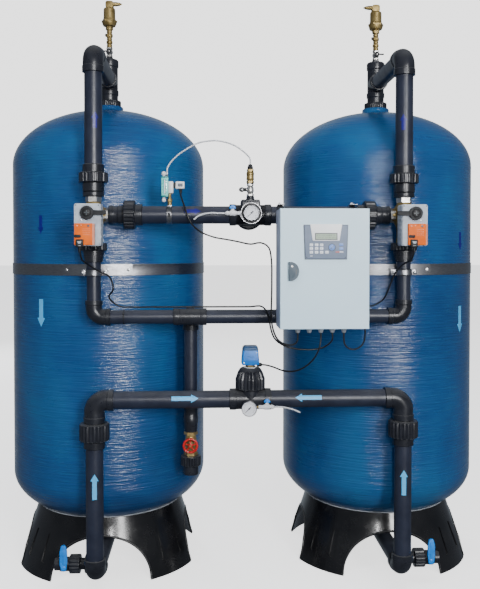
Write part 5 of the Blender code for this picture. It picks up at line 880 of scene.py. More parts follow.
def lay_cords():
    """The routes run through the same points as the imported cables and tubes."""
    end_gap = GAP + CABLE_RADIUS * 0.1
    gland_end = GLAND_FOOT - end_gap
    gland_forward = PIPE_Y - GLAND_Y
    left = -0.5822
    right = 0.5538
    foot = 1.27 - end_gap
    lead = 0.162
    ride = BACKWASH_HEIGHT + SMALL_FITTING + CABLE_RADIUS + 0.002
    lay_cable("cable_left_actuator", [(left, lead, foot), (left, lead, foot - 0.016),
        (left + 0.004, lead - 0.014, foot - 0.042), (left + 0.022, 0.095, foot - 0.064),
        (left + 0.052, 0.068, 1.184), (left + 0.084, 0.052, 1.165), (left + 0.096, 0.04, 1.12),
        (-0.505, 0.018, 1.092), (-0.47, 0.002, ride + 0.004), (-0.42, 0.0, ride), (-0.34, 0.0, ride),
        (-0.26, 0.0, ride), (-0.18, 0.0, ride), (-0.09, 0.0, ride), (0.0, 0.0, ride),
        (0.04, 0.012, ride + 0.002), (0.062, 0.04, 1.03), (0.068, 0.068, 0.985), (0.08, 0.085, 0.95),
        (0.105, 0.098, 0.929), (0.145, 0.105, 0.916), (0.19, 0.108, 0.912), (0.232, 0.109, 0.915),
        (0.26, 0.112, 0.926), (GLANDS[3], gland_forward, gland_end - 0.022),
        (GLANDS[3], gland_forward, gland_end)])
    plug_foot = 1.478 - end_gap
    lay_cable("cable_solenoid", [(-0.25, 0.0, plug_foot), (-0.25, 0.0, plug_foot - 0.018),
        (-0.245, 0.012, 1.44), (-0.236, 0.036, 1.415), (-0.226, 0.044, 1.385), (-0.21, 0.04, 1.352),
        (-0.18, 0.022, 1.325), (-0.13, 0.01, 1.305), (-0.08, 0.012, 1.296), (-0.04, 0.02, 1.288),
        (0.0, 0.03, 1.28), (0.035, 0.04, 1.285), (0.062, 0.046, 1.27), (0.072, 0.048, 1.23),
        (0.074, 0.048, 1.15), (0.073, 0.05, 1.08), (0.071, 0.062, 1.03), (0.074, 0.09, 0.985),
        (0.088, 0.11, 0.95), (0.11, 0.12, 0.934), (0.136, 0.124, 0.93), (0.153, 0.126, 0.938),
        (GLANDS[0], gland_forward, gland_end - 0.018), (GLANDS[0], gland_forward, gland_end)])
    lay_cable("cable_right_actuator", [(right, lead, foot), (right, lead, foot - 0.016),
        (right - 0.006, lead - 0.01, foot - 0.04), (right - 0.024, 0.092, foot - 0.064),
        (right - 0.042, 0.062, 1.175), (right - 0.05, 0.046, 1.145), (right - 0.062, 0.034, 1.108),
        (0.48, 0.012, 1.078), (0.45, 0.0, ride + 0.003), (0.425, 0.014, ride), (0.408, 0.04, 1.04),
        (0.402, 0.07, 1.0), (0.4, 0.092, 0.962), (0.388, 0.108, 0.93), (0.362, 0.118, 0.914),
        (0.336, 0.122, 0.917), (0.321, 0.124, 0.933), (GLANDS[4], gland_forward, gland_end - 0.018),
        (GLANDS[4], gland_forward, gland_end)])
    switch_end = 0.0435 + end_gap
    switch_height = 0.84425
    lay_cable("cable_flow_switch", [(GLANDS[2], gland_forward, gland_end),
        (GLANDS[2], gland_forward, gland_end - 0.022), (GLANDS[2] - 0.004, gland_forward + 0.002, 0.925),
        (0.225, 0.124, 0.9), (0.211, 0.112, 0.875), (0.19, 0.095, 0.852), (0.165, 0.075, 0.835),
        (0.138, 0.052, 0.827), (0.112, 0.032, 0.828), (0.086, 0.012, 0.836),
        (switch_end + 0.016, 0.001, switch_height - 0.002), (switch_end, 0.0, switch_height)])
    start = (-0.2972, 0.011, 1.529)
    top = 1.5673 + GAP + AIR_TUBE_RADIUS * 0.1
    lay_cord("air_tube", [start, (start[0], start[1], start[2] + 0.019), (-0.2905, start[1], 1.563),
        (-0.2793, start[1], 1.578), (-0.261, 0.011, 1.596), (-0.2395, 0.01, 1.612),
        (-0.2143, 0.008, 1.628), (-0.189, 0.007, 1.641), (-0.1587, 0.006, 1.648), (-0.1256, 0.005, 1.651),
        (-0.0954, 0.004, 1.647), (-0.0626, 0.002, 1.637), (-0.036, 0.001, 1.622), (-0.013, 0.0, 1.603),
        (0.0, 0.0, top + 0.019), (0.0, 0.0, top)], AIR_TUBE_RADIUS, tube_clear, "clear_tube")
    tube_gap = GAP + SAMPLE_TUBE_RADIUS * 0.1
    lead = 0.0523
    tail = -0.0913 - tube_gap
    level = 1.389
    lay_cord("sample_tube_upper", [(tail, lead, level), (tail - 0.02, lead, level),
        (tail - 0.05, lead, level + 0.001), (tail - 0.075, lead - 0.002, level - 0.003),
        (tail - 0.095, lead - 0.004, level - 0.01), (tail - 0.11, lead - 0.004, level - 0.022)],
        SAMPLE_TUBE_RADIUS, tube_clear, "clear_tube")
    tail = 0.0833 + tube_gap
    level = 0.701
    lay_cord("sample_tube_lower", [(tail, lead, level), (tail + 0.02, lead, level),
        (tail + 0.045, lead, level - 0.004), (tail + 0.07, lead, level - 0.011),
        (tail + 0.092, lead, level - 0.021)], SAMPLE_TUBE_RADIUS, tube_clear, "clear_tube")


lay_cords()


# Tanks and bases

def carved(form, cutters):
    """Cut closed forms out of a form."""
    body = Shape("carve_body").add(None, form).finish()
    tool = Shape("carve_tool").add(None, *cutters).finish()
    modifier = body.modifiers.new("cut", "BOOLEAN")
    modifier.operation = "DIFFERENCE"
    modifier.object = tool
    modifier.solver = "EXACT"
    modifier.use_self = True
    graph = bpy.context.evaluated_depsgraph_get()
    mesh = bpy.data.meshes.new_from_object(body.evaluated_get(graph))
    points = [vertex.co.copy() for vertex in mesh.vertices]
    faces = [tuple(polygon.vertices) for polygon in mesh.polygons]
    for item in (body, tool):
        old = item.data
        bpy.data.objects.remove(item)
        bpy.data.meshes.remove(old)
    bpy.data.meshes.remove(mesh)
    return points, faces


# Flow arrows on a tank: the way they face, and the heights of their tails
TANK_ARROWS = {"left": ((-0.560, -0.828, 0), 1.389, 1.075), "right": ((0.700, -0.714, 0), 1.329, 1.041)}


def dress_tank(word, side):
    centre = (side * HALF_SPACING, TANK_Y, 0)
    steps = 28
    first = math.acos(NECK_RADIUS / TANK_RADIUS)
    profile = [(NECK_RADIUS, NECK_BOTTOM)]
    for step in range(steps + 1):
        angle = first * (1 - step / steps)
        profile.append((TANK_RADIUS * math.cos(angle),
            CYLINDER_BOTTOM - BOTTOM_DOME_HEIGHT * math.sin(angle)))
    for step in range(steps + 1):
        angle = first * step / steps
        profile.append((TANK_RADIUS * math.cos(angle), CYLINDER_TOP + TOP_DOME_HEIGHT * math.sin(angle)))
    shoulder = profile[-1][1]
    profile += [(NECK_RADIUS + 0.004, shoulder + 0.004), (NECK_RADIUS, shoulder + 0.009),
        (NECK_RADIUS, NECK_TOP - 0.004), (NECK_RADIUS - 0.003, NECK_TOP), (0.046, NECK_TOP),
        (0.046, NECK_TOP - 0.03)]
    shape = Shape("tank_shell_" + word).add(resin, lathe(profile, centre, "Z", 192))
    facing, dark_tail, pale_tail = TANK_ARROWS[word]
    surface = TANK_RADIUS + 0.0005
    shape.add(arrow_dark, wrapped_arrow(centre, "Z", surface, facing, dark_tail, 0.07, 0.03, -1))
    shape.add(arrow_pale, wrapped_arrow(centre, "Z", surface, facing, pale_tail, 0.105, 0.04, -1))
    stand_for(shape, "tank_resin", "tank_" + word, angle=50)


# Base: outer profile, arches as (half width, height), and slots in degrees from the sides
BASE_OUTER = ((0.29325, 0.234), (0.3011, 0.2012), (0.3200, 0.1451), (0.3500, 0.0749), (0.3720, 0.0))
FRONT_ARCH = (0.190, 0.166)
SIDE_ARCH = (0.150, 0.166)
LEG_SLOTS = (40.0, 56.0)


def base_radius(height):
    for high, low in zip(BASE_OUTER, BASE_OUTER[1:]):
        if low[1] <= height <= high[1]:
            share = (high[1] - height) / (high[1] - low[1])
            return high[0] + (low[0] - high[0]) * share
    return BASE_OUTER[-1][0]


def dress_base(word, side):
    """Skirt with arches, rolled rims round them, slots in the legs, and a lip and bead under the tank."""
    x = side * HALF_SPACING
    centre = (x, TANK_Y, 0)
    outer = softened(list(BASE_OUTER), 0.03, 5)
    inner = [(radius - 0.006, height) for radius, height in outer[3:]]
    inner[-1] = (inner[-1][0], 0.0)
    profile = outer + list(reversed(inner)) + [(0.2864, 0.2335)]
    shell = lathe(profile, centre, "Z", 160, closed=True)
    cutters = []
    for axis, (half, high), middle, across in (("Y", FRONT_ARCH, x, TANK_Y), ("X", SIDE_ARCH, TANK_Y, x)):
        outline = []
        steps = 40
        for step in range(steps + 1):
            angle = math.pi * step / steps
            outline.append((middle + half * math.cos(angle), high * math.sin(angle)))
        outline += [(middle - half, -0.1), (middle + half, -0.1)]
        cutters.append(plate(outline, axis, across - 0.45, across + 0.45, 0))
    for quarter in (-90, 90):
        for turn in (-1, 1):
            for slot in LEG_SLOTS:
                angle = math.radians(quarter + turn * slot)
                outward = Vector((math.cos(angle), math.sin(angle), 0))
                aside = Vector((-outward.y, outward.x, 0))
                rings = []
                points = []
                for reach in (-0.0035, 0.02):
                    ring = []
                    for step in range(24):
                        corner = 2 * math.pi * step / 24
                        rise = math.sin(corner)
                        height = 0.105 + 0.007 * rise + (0.043 if rise > 0 else -0.043)
                        place = Vector((x, TANK_Y, height)) + outward * (base_radius(height) + reach)
                        place += aside * 0.011 * math.cos(corner)
                        ring.append(len(points))
                        points.append(place)
                    rings.append(ring)
                cutters.append((points, joined(rings)))
    shape = Shape("base_skirt_" + word).add(moulding, carved(shell, cutters))
    rim = 0.0045
    for (half, high), along in ((FRONT_ARCH, "Y"), (SIDE_ARCH, "X")):
        for sign in (-1, 1):
            points = []
            for step in range(49):
                angle = math.pi * step / 48
                a = (half + rim * 0.4) * math.cos(angle)
                z = max((high + rim * 0.4) * math.sin(angle), rim)
                depth = math.sqrt(max(base_radius(z) ** 2 - a * a, 0.0)) - 0.0015
                if along == "Y":
                    points.append((x + a, TANK_Y + sign * depth, z))
                else:
                    points.append((x + sign * depth, TANK_Y + a, z))
            shape.add(moulding_rim, round_tube(points, rim, 10))
    lip = turned(centre, "Z", 160, (286.4, 233.5), (288.4, 235.2), (292.5, 235.2), (294, 232.5),
        (292.5, 230), (289, 229.5), closed=True)
    shape.add(moulding_rim, lip)
    shape.add(gland_grey, turned(centre, "Z", 160, (290.8, 235.1), (292.5, 235.9), (294.3, 234),
        (292.8, 234.6), closed=True))
    stand_for(shape, "base_moulding", "base_" + word, angle=40)


# Pipework

def straight_union(shape, corners, bend, start, lengths, radii):
    """Ribbed union nut between two collars on a straight stretch, given by distances along the path."""
    path = stations(corners, bend)
    first, nut, last = lengths
    marks = (start, start + first, start + first + nut, start + first + nut + last)
    shape.add(fitting_pvc, sleeve(corners, bend, collar(marks[0], marks[1] + 0.002, radii[0])),
        sleeve(corners, bend, collar(marks[2] - 0.002, marks[3], radii[2])))
    low, high = (marks[1], marks[2])
    for before, after in zip(path, path[1:]):
        if before[2] - 1e-06 <= low and high <= after[2] + 1e-06:
            direction = (after[0] - before[0]).normalized()
            base = before[0] + direction * (low - before[2])
            axis = max("XYZ", key=lambda name: abs(AXES[name].dot(direction)))
            sign = 1 if AXES[axis].dot(direction) > 0 else -1
            shape.add(fitting_pvc, lathe(nut_profile(radii[1], nut, sign), base, axis, 110,
                (22, 0.0035, *sorted((sign * nut * 0.12, sign * nut * 0.88)))))


def nut_profile(radius, length, sign=1):
    """Union nut with chamfered ends and a groove at each side."""
    outline = [(radius * 0.84, 0.0), (radius * 0.93, 0.0008), (radius, length * 0.08),
        (radius, length * 0.5), (radius, length * 0.92), (radius * 0.93, length - 0.0008),
        (radius * 0.84, length)]
    return softened([(reach, sign * height) for reach, height in outline], 0.002, 2)


def dress_top_tee(word, side):
    centre = (side * HALF_SPACING, TANK_Y, 0)
    shape = Shape("top_tee_assembly_" + word)
    seat = NECK_TOP + GAP
    shape.add(fitting_pvc, turned(centre, "Z", 120, (40, -65.3), (40, 0), (45.5, 0), (47, 2), (47, 22),
            (45.5, 24), (36, 24), ribs=(30, 0.0022, seat + 0.001, seat + 0.0225), base=seat),
        turned(centre, "Z", 64, (30, 1875), (34.5, 1877), (34.5, 1903), (37.2, 1904), (37.2, 1922),
            (34.5, 1923), (34.5, 2020), (37.2, 2021), (37.2, 2046), (33, 2051.3), (22, 2053),
            (15, 2053.5), soft=1.5),
        hexagon(centre, "Z", 2.052, 2.0623, 0.026))
    branch = (centre[0], TANK_Y, LINK_HEIGHT)
    shape.add(fitting_pvc, turned(branch, "Y", 56, (34.5, 0), (34.5, -46), (37.5, -47), (37.5, -67),
        (36, -70), (32, -70), soft=1.5))
    stand_for(shape, "dark_pvc", "top_tee_" + word)


def dress_air_vent(word, side):
    centre = Vector((side * HALF_SPACING, TANK_Y, 0))
    shape = Shape("air_vent_assembly_" + word)
    foot = 2.0626
    shape.add(nickel, hexagon(centre, "Z", foot, foot + 0.009, 0.0225),
        turned(centre, "Z", 40, (8.5, 8), (10.5, 12), (14, 16), (14.5, 21), (13, 27), (10, 31), (9.5, 33),
            soft=2, base=foot),
        hexagon(centre, "Z", foot + 0.031, foot + 0.04, 0.0225),
        turned((centre.x, TANK_Y, 2.0826), "Y", 24, (6, 0), (6, -21.2)))
    low = 2.1026
    ring = [(0.0098, low)]
    for base, radius, height in ((0.0, 0.0112, 0.013), (0.0155, 0.0128, 0.012), (0.03, 0.011, 0.01),
            (0.0425, 0.0132, 0.014), (0.059, 0.0115, 0.01), (0.0715, 0.0142, 0.0155)):
        ring += [(0.0096, low + base), (radius, low + base + 0.0008),
            (radius, low + base + height - 0.0008), (0.0096, low + base + height)]
    ring.append((0.0096, 2.19))
    shape.add(brass, lathe(softened(ring, 0.0012, 2), centre, "Z", 40),
        hexagon(centre, "Z", 2.145, 2.158, 0.0245),
        hexagon(centre, "Z", 2.1745, 2.1895, 0.027))
    shape.add(black_plastic, turned((centre.x, TANK_Y, 2.1545), "X", 24, (0, -18.5), (5.2, -17.8),
        (6.2, -15), (5, -12), (5, 0)))
    shape.add(brass, turned(centre, "Z", 12, (15, 2189.6), (25.5, 2191.5), (29, 2199), (30.5, 2206)),
        hexagon(centre, "Z", 2.205, 2.215, 0.056),
        turned(centre, "Z", 56, (28, 2213), (27.2, 2217.5), (24.8, 2220), (25.2, 2224), (24.2, 2226),
            (24.2, 2260), (22.5, 2264), (16.5, 2267.6), (10, 2268), soft=2))
    cap = round_outline(centre.x - side * 0.001, 2.2795, 0.016, 0.0138, 0.0065)
    shape.add(brass, plate(cap, "Y", TANK_Y - 0.014, TANK_Y + 0.014, 0.003, 3))
    shape.add(brass, turned((centre.x, TANK_Y, 2.283), "X", 32, (9, 0), (8.8, 30), (7.2, 38), (6.8, 43.5),
        (4, 46.5), (3, 52), (1.4, 52.2), way=-side))
    stand_for(shape, "brass", "air_vent_" + word)


def dress_vent_lever(word, side):
    pivot = Vector((side * HALF_SPACING, TANK_Y - 0.02155, 2.0826))
    shape = Shape("vent_lever_assembly_" + word)
    shape.add(black_plastic, turned(pivot, "Y", 40, (9, 0), (9.8, -1), (9.8, -4.8), (8.5, -6), (4, -6.2)))
    shape.add(nickel, turned(pivot, "Y", 6, (3.4, -6), (3.4, -7.2), (2.2, -7.6)))
    outline = placed(pivot, (4, -3.4), (18, -2.4), (26, -3.6), (30, -2), (30, 2.8), (18, 2.4), (4, 3.4),
        way=side)
    shape.add(black_plastic, plate(outline, "Y", pivot.y - 0.005, pivot.y - 0.0012, 0.0008))
    stand_for(shape, "black_plastic", "vent_lever_" + word)


def dress_upper_riser(word, side):
    x = side * HALF_SPACING
    start = 0.1121
    forward = start - PIPE_Y
    corners = ((x, start, LINK_HEIGHT), (x, PIPE_Y, LINK_HEIGHT), (x, PIPE_Y, RISER_END))
    quarter = LARGE_BEND * math.pi / 2
    total = path_length(corners, LARGE_BEND)
    shape = Shape("upper_riser_assembly_" + word)
    union = total - 0.032 - 0.038 - 0.029
    shape.add(pipe_pvc, sleeve(corners, LARGE_BEND, [(0.0, LARGE_PIPE), (union + 0.02, LARGE_PIPE)], 56))
    low = forward - LARGE_SOCKET
    high = forward - 2 * LARGE_BEND + quarter + LARGE_SOCKET
    socket = two_sockets(low, high, (0.0335, 0.0385, 0.0388, 0.0368), 0.022)
    shape.add(fitting_pvc, sleeve(corners, LARGE_BEND, socket, 56, 18))
    straight_union(shape, corners, LARGE_BEND, union, (0.029, 0.038, 0.032), (0.0385, UNION_NUT, 0.0385))
    mark = (x, PIPE_Y, 0)
    shape.add(arrow_dark, wrapped_arrow(mark, "Z", LARGE_PIPE + 0.0005, (-side * 0.35, -1, 0), 1.69,
        0.058, 0.028))
    stand_for(shape, "dark_pvc", "upper_riser_" + word)


def dress_valve_body(word, side):
    x = side * HALF_SPACING
    centre = (x, PIPE_Y, 0)
    shape = Shape("valve_body_assembly_" + word)
    shape.add(brass, turned(centre, "Z", 64, (24, 1284.8), (26.2, 1286), (26.2, 1320), (28, 1342),
        (38.5, 1360), (40, 1385), (38.5, 1410), (28, 1423), (26.2, 1430), (23.5, 1432), soft=4))
    shape.add(bright_brass, hexagon(centre, "Z", 1.285, 1.302, 0.05))
    shape.add(nickel, hexagon(centre, "Z", 1.4295, 1.4495, 0.05))
    shape.add(fitting_pvc, turned(centre, "Z", 56, (30, 1449), (37.5, 1450), (37.5, 1465), (30, 1465.7),
        soft=1))
    side_centre = (x, PIPE_Y, INLET_HEIGHT)
    shape.add(brass, turned(side_centre, "X", 48, (24, 0), (24, 36), (21.5, 53.7), way=-side))
    shape.add(nickel, hexagon(side_centre, "X", -side * 0.0335, -side * 0.0535, 0.045))
    shape.add(brass, turned(side_centre, "Y", 40, (17.5, 0), (17.5, -66), (16, -67), (16, -84.5),
        (12, -85), soft=1))
    stand_for(shape, "brass", "valve_body_" + word)


def dress_actuator(word, side):
    x = side * HALF_SPACING
    back = PIPE_Y - 0.0853
    face = ACTUATOR_FACE
    top = 1.4165
    foot = 1.273
    shape = Shape("actuator_assembly_" + word)
    middle = (top + foot) / 2
    half = (top - foot) / 2
    outline = round_outline(x, middle, 0.045, half, 0.006)
    shape.add(actuator_grey, plate(outline, "Y", face + 0.006, back, 0.0025, 3))
    inner = round_outline(x, middle, 0.0428, half - 0.0022, 0.006)
    shape.add(actuator_grey, plate(inner, "Y", face, face + 0.008, 0.0022, 3))
    shape.add(black_plastic, plate(round_outline(x, middle, 0.0453, half + 0.0002, 0.006), "Y",
        face + 0.028, face + 0.029, 0))
    shape.add(actuator_grey, turned((x, face, INLET_HEIGHT), "Y", 64, (28.5, 2), (28.5, -0.6), (27, -1.2),
        (26.2, -0.4)))
    for dx, dz in ((-0.0385, 0.0255), (0.0385, 0.0255), (side * 0.0385, -0.062)):
        shape.add(display_frame, turned((x + dx, face, INLET_HEIGHT + dz), "Y", 16, (2.4, 1), (2.4, -0.3),
            (0, -0.4)))
    shape.add(zinc, turned((x + side * 0.0205, face, INLET_HEIGHT - 0.0245), "Y", 16, (3, 1), (3, -1.2),
        (1.6, -1.6)))
    for dz in (0.006, -0.006):
        shape.add(display_frame, box((x, face, INLET_HEIGHT + dz), (-40.5, -39.3), (-0.4, 1), (-3.5, 3.5),
            0.3, 1))
    for index in range(5):
        height = 1.3 + index * 0.016
        for near, far in ((0.0445, 0.0462), (-0.0462, -0.0445)):
            shape.add(actuator_grey, block((x + near, face + 0.012, height),
                (x + far, back - 0.012, height + 0.006), 0.0006, 1))
    stand_for(shape, "actuator_grey", "actuator_" + word)


def dress_valve_rotor(word, side):
    """Hand lever and knob on the stem, with the ball inside the body."""
    centre = Vector((side * HALF_SPACING, PIPE_Y, INLET_HEIGHT))
    face = -0.1506
    shape = Shape("valve_lever_assembly_" + word)
    shape.add(nickel, ball(centre, 0.0285, 28),
        lathe([(0.006, 0.0), (0.006, face - 0.008)], centre, "Y", 20))
    shape.add(black_plastic, turned(centre, "Y", 96, (22.5, 0), (23.5, -1), (23.5, -10.5), (22.2, -12.2),
        (15, -12.8), (14, -11), (0, -11), ribs=(24, 0.001, face - 0.0106, face - 0.0008), base=face))
    shape.add(rubber, turned(centre, "Y", 48, (12.5, -10.8), (12.5, -15), (10.8, -16), (0, -16),
        base=face))
    for half_x, half_z in ((0.0085, 0.0012), (0.0012, 0.0085)):
        shape.add(display_frame, block((centre.x - half_x, centre.y + face - 0.0166, centre.z - half_z),
            (centre.x + half_x, centre.y + face - 0.0155, centre.z + half_z), 0.0003, 1))
    outline = placed(centre, (12, -9.5), (24, -8), (60, -7.5), (64, -5.5), (64, 5.5), (60, 7.5), (24, 8),
        (12, 9.5), way=-side)
    shape.add(black_plastic, plate(outline, "Y", centre.y + face - 0.0115, centre.y + face - 0.003,
        0.0015, 2))
    stand_for(shape, "black_plastic", "valve_rotor_" + word)


def dress_actuator_cover(word, side):
    """Orange wiring cover with its bevelled edge, buttons and the black cable connector."""
    outer = side * 0.602
    inner = side * 0.534
    low_x, high_x = sorted((inner, outer))
    face = ACTUATOR_FACE - GAP
    foot = 1.276
    top = 1.349
    front_y = face - 0.01
    shape = Shape("wiring_cover_assembly_" + word)
    shape.add(cover_orange, block((low_x, front_y, foot), (high_x - 0.007, face, top), 0.0018, 3))
    outline = [(high_x - 0.0085, front_y + 0.0012), (high_x - 0.0065, front_y + 0.0002),
        (high_x - 0.0005, face - 0.0045), (high_x, face), (high_x - 0.0085, face)]
    shape.add(cover_edge, plate(outline, "Z", foot + 0.0008, top - 0.0008, 0.0003, 1))
    shape.add(lock_grey, block((high_x - 0.0005, face - 0.0035, foot + 0.001),
        (high_x + 0.0012, face, top - 0.001), 0.0004, 1))
    middle = (low_x + high_x) / 2
    for dx, dz, radius, depth in ((0.0135, -0.0085, 0.004, 0.0012), (-0.0235, -0.008, 0.0026, 0.0007),
            (-0.0105, -0.0065, 0.0022, 0.0007)):
        shape.add(display_frame if radius > 0.003 else cover_edge,
            lathe([(radius, 0.001), (radius, -depth), (radius * 0.6, -depth - 0.0003)],
            (middle + dx, front_y, top + dz), "Y", 20))
    shape.add(black_plastic, plate(round_outline(low_x + 0.0115, foot + 0.0295, 0.0112, 0.005, 0.0035),
        "Y", front_y - 0.0016, front_y + 0.001, 0.0006))
    connector = low_x + 0.0198
    shape.add(black_plastic, box((connector, face, foot), (-13, 11), (-19, -5), (-6, 19), 1.8, 3))
    shape.add(gland_grey, plate(placed((connector, 0, foot), (-8.5, 13), (6.5, 13), (3, 4.5), (-5, 4.5)),
            "Y", face - 0.0202, face - 0.0185, 0.0005),
        box((connector, face, foot), (-5.5, 3.5), (-20, -18.5), (-3, -1), 0.5, 1))
    for index in range(4):
        height = foot + 0.034 + index * 0.0065
        shape.add(cover_edge, box((middle, front_y, height), (-6, 20), (-0.5, 1), (0, 0.9), 0.3, 1))
    cable_relief(shape, (connector - 0.0012 if side < 0 else connector, PIPE_Y - 0.162, 1.27))
    stand_for(shape, "cover_orange", "actuator_cover_" + word)


def dress_backwash_arm(word, side):
    x = side * HALF_SPACING
    end = DROP_X + side * (SMALL_SOCKET - SPIGOT + GAP)
    corners = ((x, PIPE_Y, VALVE_BOTTOM), (x, PIPE_Y, BACKWASH_HEIGHT), (end, PIPE_Y, BACKWASH_HEIGHT))
    straight = VALVE_BOTTOM - BACKWASH_HEIGHT - SMALL_BEND
    total = path_length(corners, SMALL_BEND)
    shape = Shape("backwash_arm_assembly_" + word)
    shape.add(pipe_pvc, sleeve(corners, SMALL_BEND, [(0.02, SMALL_PIPE), (total, SMALL_PIPE)], 48))
    foot = (x, PIPE_Y, VALVE_BOTTOM)
    shape.add(fitting_pvc, turned(foot, "Z", 120, (36, 0), (45.5, -0.8), (47, -3), (47, -24), (44.5, -28),
        (36, -28.5), soft=1, steps=2, ribs=(20, 0.0038, -0.0245, -0.0025)))
    ribs = [(0.034, -0.027), (0.038, -0.028)]
    for index in range(6):
        height = -0.031 - index * 0.0062
        radius = 0.0382 - index * 0.0011
        ribs += [(radius, height), (radius, height - 0.0036), (radius - 0.0018, height - 0.0042),
            (radius - 0.0018, height - 0.0058)]
    ribs.append((0.026, -0.069))
    shape.add(fitting_pvc, lathe(ribs, foot, "Z", 56))
    low = straight - (SMALL_SOCKET - SMALL_BEND)
    high = straight + SMALL_BEND * math.pi / 2 + (SMALL_SOCKET - SMALL_BEND)
    socket = two_sockets(low, high, (0.027, 0.031, 0.0312, 0.0292), 0.015)
    shape.add(fitting_pvc, sleeve(corners, SMALL_BEND, socket, 48, 16))
    if side < 0:
        tie = turned((-0.455, PIPE_Y, BACKWASH_HEIGHT), "X", 48, (0.2, 0), (1.4, 0), (1.4, 4.5),
            (0.2, 4.5), bore=SMALL_PIPE, closed=True)
        shape.add(black_plastic, tie,
            box((0, PIPE_Y, BACKWASH_HEIGHT), (-455.5, -450), (-30, -24.5), (10, 17), 1))
    stand_for(shape, "dark_pvc", "backwash_arm_" + word)


def dress_support_band(word, side):
    x = side * HALF_SPACING
    low = 1.16475
    high = 1.20725
    shape = Shape("support_band_assembly_" + word)
    inner = TANK_RADIUS + GAP
    outer = inner + 0.0024
    shape.add(stainless, turned((x, TANK_Y, 0), "Z", 192, (0, 0), (1.9, 0), (2.4, 0.6), (2.4, 3),
        (1.9, 4.2), (1.9, 38.3), (2.4, 39.5), (2.4, 41.9), (1.9, 42.5), (0, 42.5), base=low, bore=inner,
        closed=True))
    outline = []
    steps = 20
    for sign, reach in ((1, outer + 0.003), (-1, inner + 0.001)):
        for step in range(steps + 1):
            angle = -math.pi / 2 + 0.33 * sign * (2 * step / steps - 1)
            outline.append((x + reach * math.cos(angle), TANK_Y + reach * math.sin(angle)))
    shape.add(stainless, plate(outline, "Z", low + 0.0012, high - 0.0012, 0.0006, 1))
    for sign in (-1, 1):
        for spread in (0.1, 0.29):
            angle = -math.pi / 2 + sign * spread
            outward = Vector((math.cos(angle), math.sin(angle), 0))
            head = Vector((x, TANK_Y, (low + high) / 2)) + outward * (outer + 0.0028)
            shape.add(zinc, turned(head, "Y", 6, (6.2, 0), (6.2, -1.4), (5.6, -2), (3, -2.4)))
    wall_y = TANK_Y - inner - 0.0012
    shape.add(zinc, lathe([(0.005, 0.0), (0.005, PIPE_Y + 0.028 - wall_y)], (x, wall_y, CLAMP_HEIGHT),
            "Y", 24),
        hexagon((x, wall_y - 0.004, CLAMP_HEIGHT), "Y", 0.0, -0.006, 0.013))
    clamp_inner = SMALL_PIPE + GAP
    shape.add(rubber, turned((x, PIPE_Y, CLAMP_HEIGHT), "Z", 56, (0, -12), (2.2, -12.5), (2.2, 12.5),
        (0, 12), bore=clamp_inner, closed=True))
    shape.add(stainless, turned((x, PIPE_Y, CLAMP_HEIGHT), "Z", 56, (0, -10.5), (4.5, -11), (6, -10),
        (4.8, -8.5), (4.8, 8.5), (6, 10), (4.5, 11), (0, 10.5), bore=clamp_inner, closed=True))
    for sign in (-1, 1):
        near = x + sign * (clamp_inner + 0.0035)
        far = x + sign * (clamp_inner + 0.022)
        left, right = sorted((near, far))
        for offset in (-0.004, 0.0006):
            shape.add(stainless, block((left, PIPE_Y + offset, 1.167),
                (right, PIPE_Y + offset + 0.0034, 1.189), 0.0012))
        bolt = (x + sign * (clamp_inner + 0.0145), PIPE_Y, CLAMP_HEIGHT)
        shape.add(zinc, turned(bolt, "Y", 16, (3, 11), (3.4, 10), (3.4, -6)),
            turned(bolt, "Y", 24, (6.2, -4), (6.2, -7.5), (4.8, -10), (1.6, -11.2)),
            hexagon(bolt, "Y", 0.0035, 0.0085, 0.0105))
    stand_for(shape, "steel", "support_band_" + word)


def dress_outlet_riser(word, side):
    x = side * HALF_SPACING
    corners = ((x, TANK_Y, COLLECTOR_TOP), (x, TANK_Y, FLOOR_RUN), (x, PIPE_Y, FLOOR_RUN),
        (x, PIPE_Y, 0.639))
    quarter = LARGE_BEND * math.pi / 2
    down = COLLECTOR_TOP - FLOOR_RUN - LARGE_BEND
    floor_start = down + quarter
    floor_end = floor_start + TANK_Y - PIPE_Y - 2 * LARGE_BEND
    rise = floor_end + quarter
    total = path_length(corners, LARGE_BEND)
    shape = Shape("outlet_riser_assembly_" + word)
    shape.add(pipe_pvc, sleeve(corners, LARGE_BEND, [(0.0, LARGE_PIPE), (total - 0.06, LARGE_PIPE)], 56))
    flange = COLLECTOR_TOP - NECK_BOTTOM + GAP
    shape.add(fitting_pvc, sleeve(corners, LARGE_BEND, collar(flange, flange + 0.007, 0.054, 0.001)),
        sleeve(corners, LARGE_BEND, collar(flange + 0.007, floor_start + 0.028, 0.0385)),
        sleeve(corners, LARGE_BEND, [(floor_end - 0.028, 0.0335), (floor_end - 0.027, 0.0385),
            (floor_end - 0.006, 0.0388), (floor_end - 0.004, 0.0366), (rise - 0.01, 0.0366),
            (rise - 0.008, 0.0388), (rise + 0.009, 0.0388), (rise + 0.01, 0.0335)], 56, 18),
        sleeve(corners, LARGE_BEND, collar(total - 0.092, total - 0.062, 0.0385)))
    shape.add(fitting_pvc, lathe(nut_profile(0.054, 0.064), (x, PIPE_Y, 0.575), "Z", 132,
        (22, 0.004, 0.005, 0.059)))
    drain = (x, DRAIN_Y, FLOOR_RUN)
    shape.add(fitting_pvc, turned(drain, "X", 48, (30, 0), (34, 2), (34, 46), (30, 48), soft=1.2,
        way=side))
    shape.add(arrow_pale, wrapped_arrow((x, PIPE_Y, 0), "Z", LARGE_PIPE + 0.0005, (-side * 0.12, -1, 0),
        0.37, 0.092, 0.03))
    stand_for(shape, "dark_pvc", "outlet_riser_" + word)


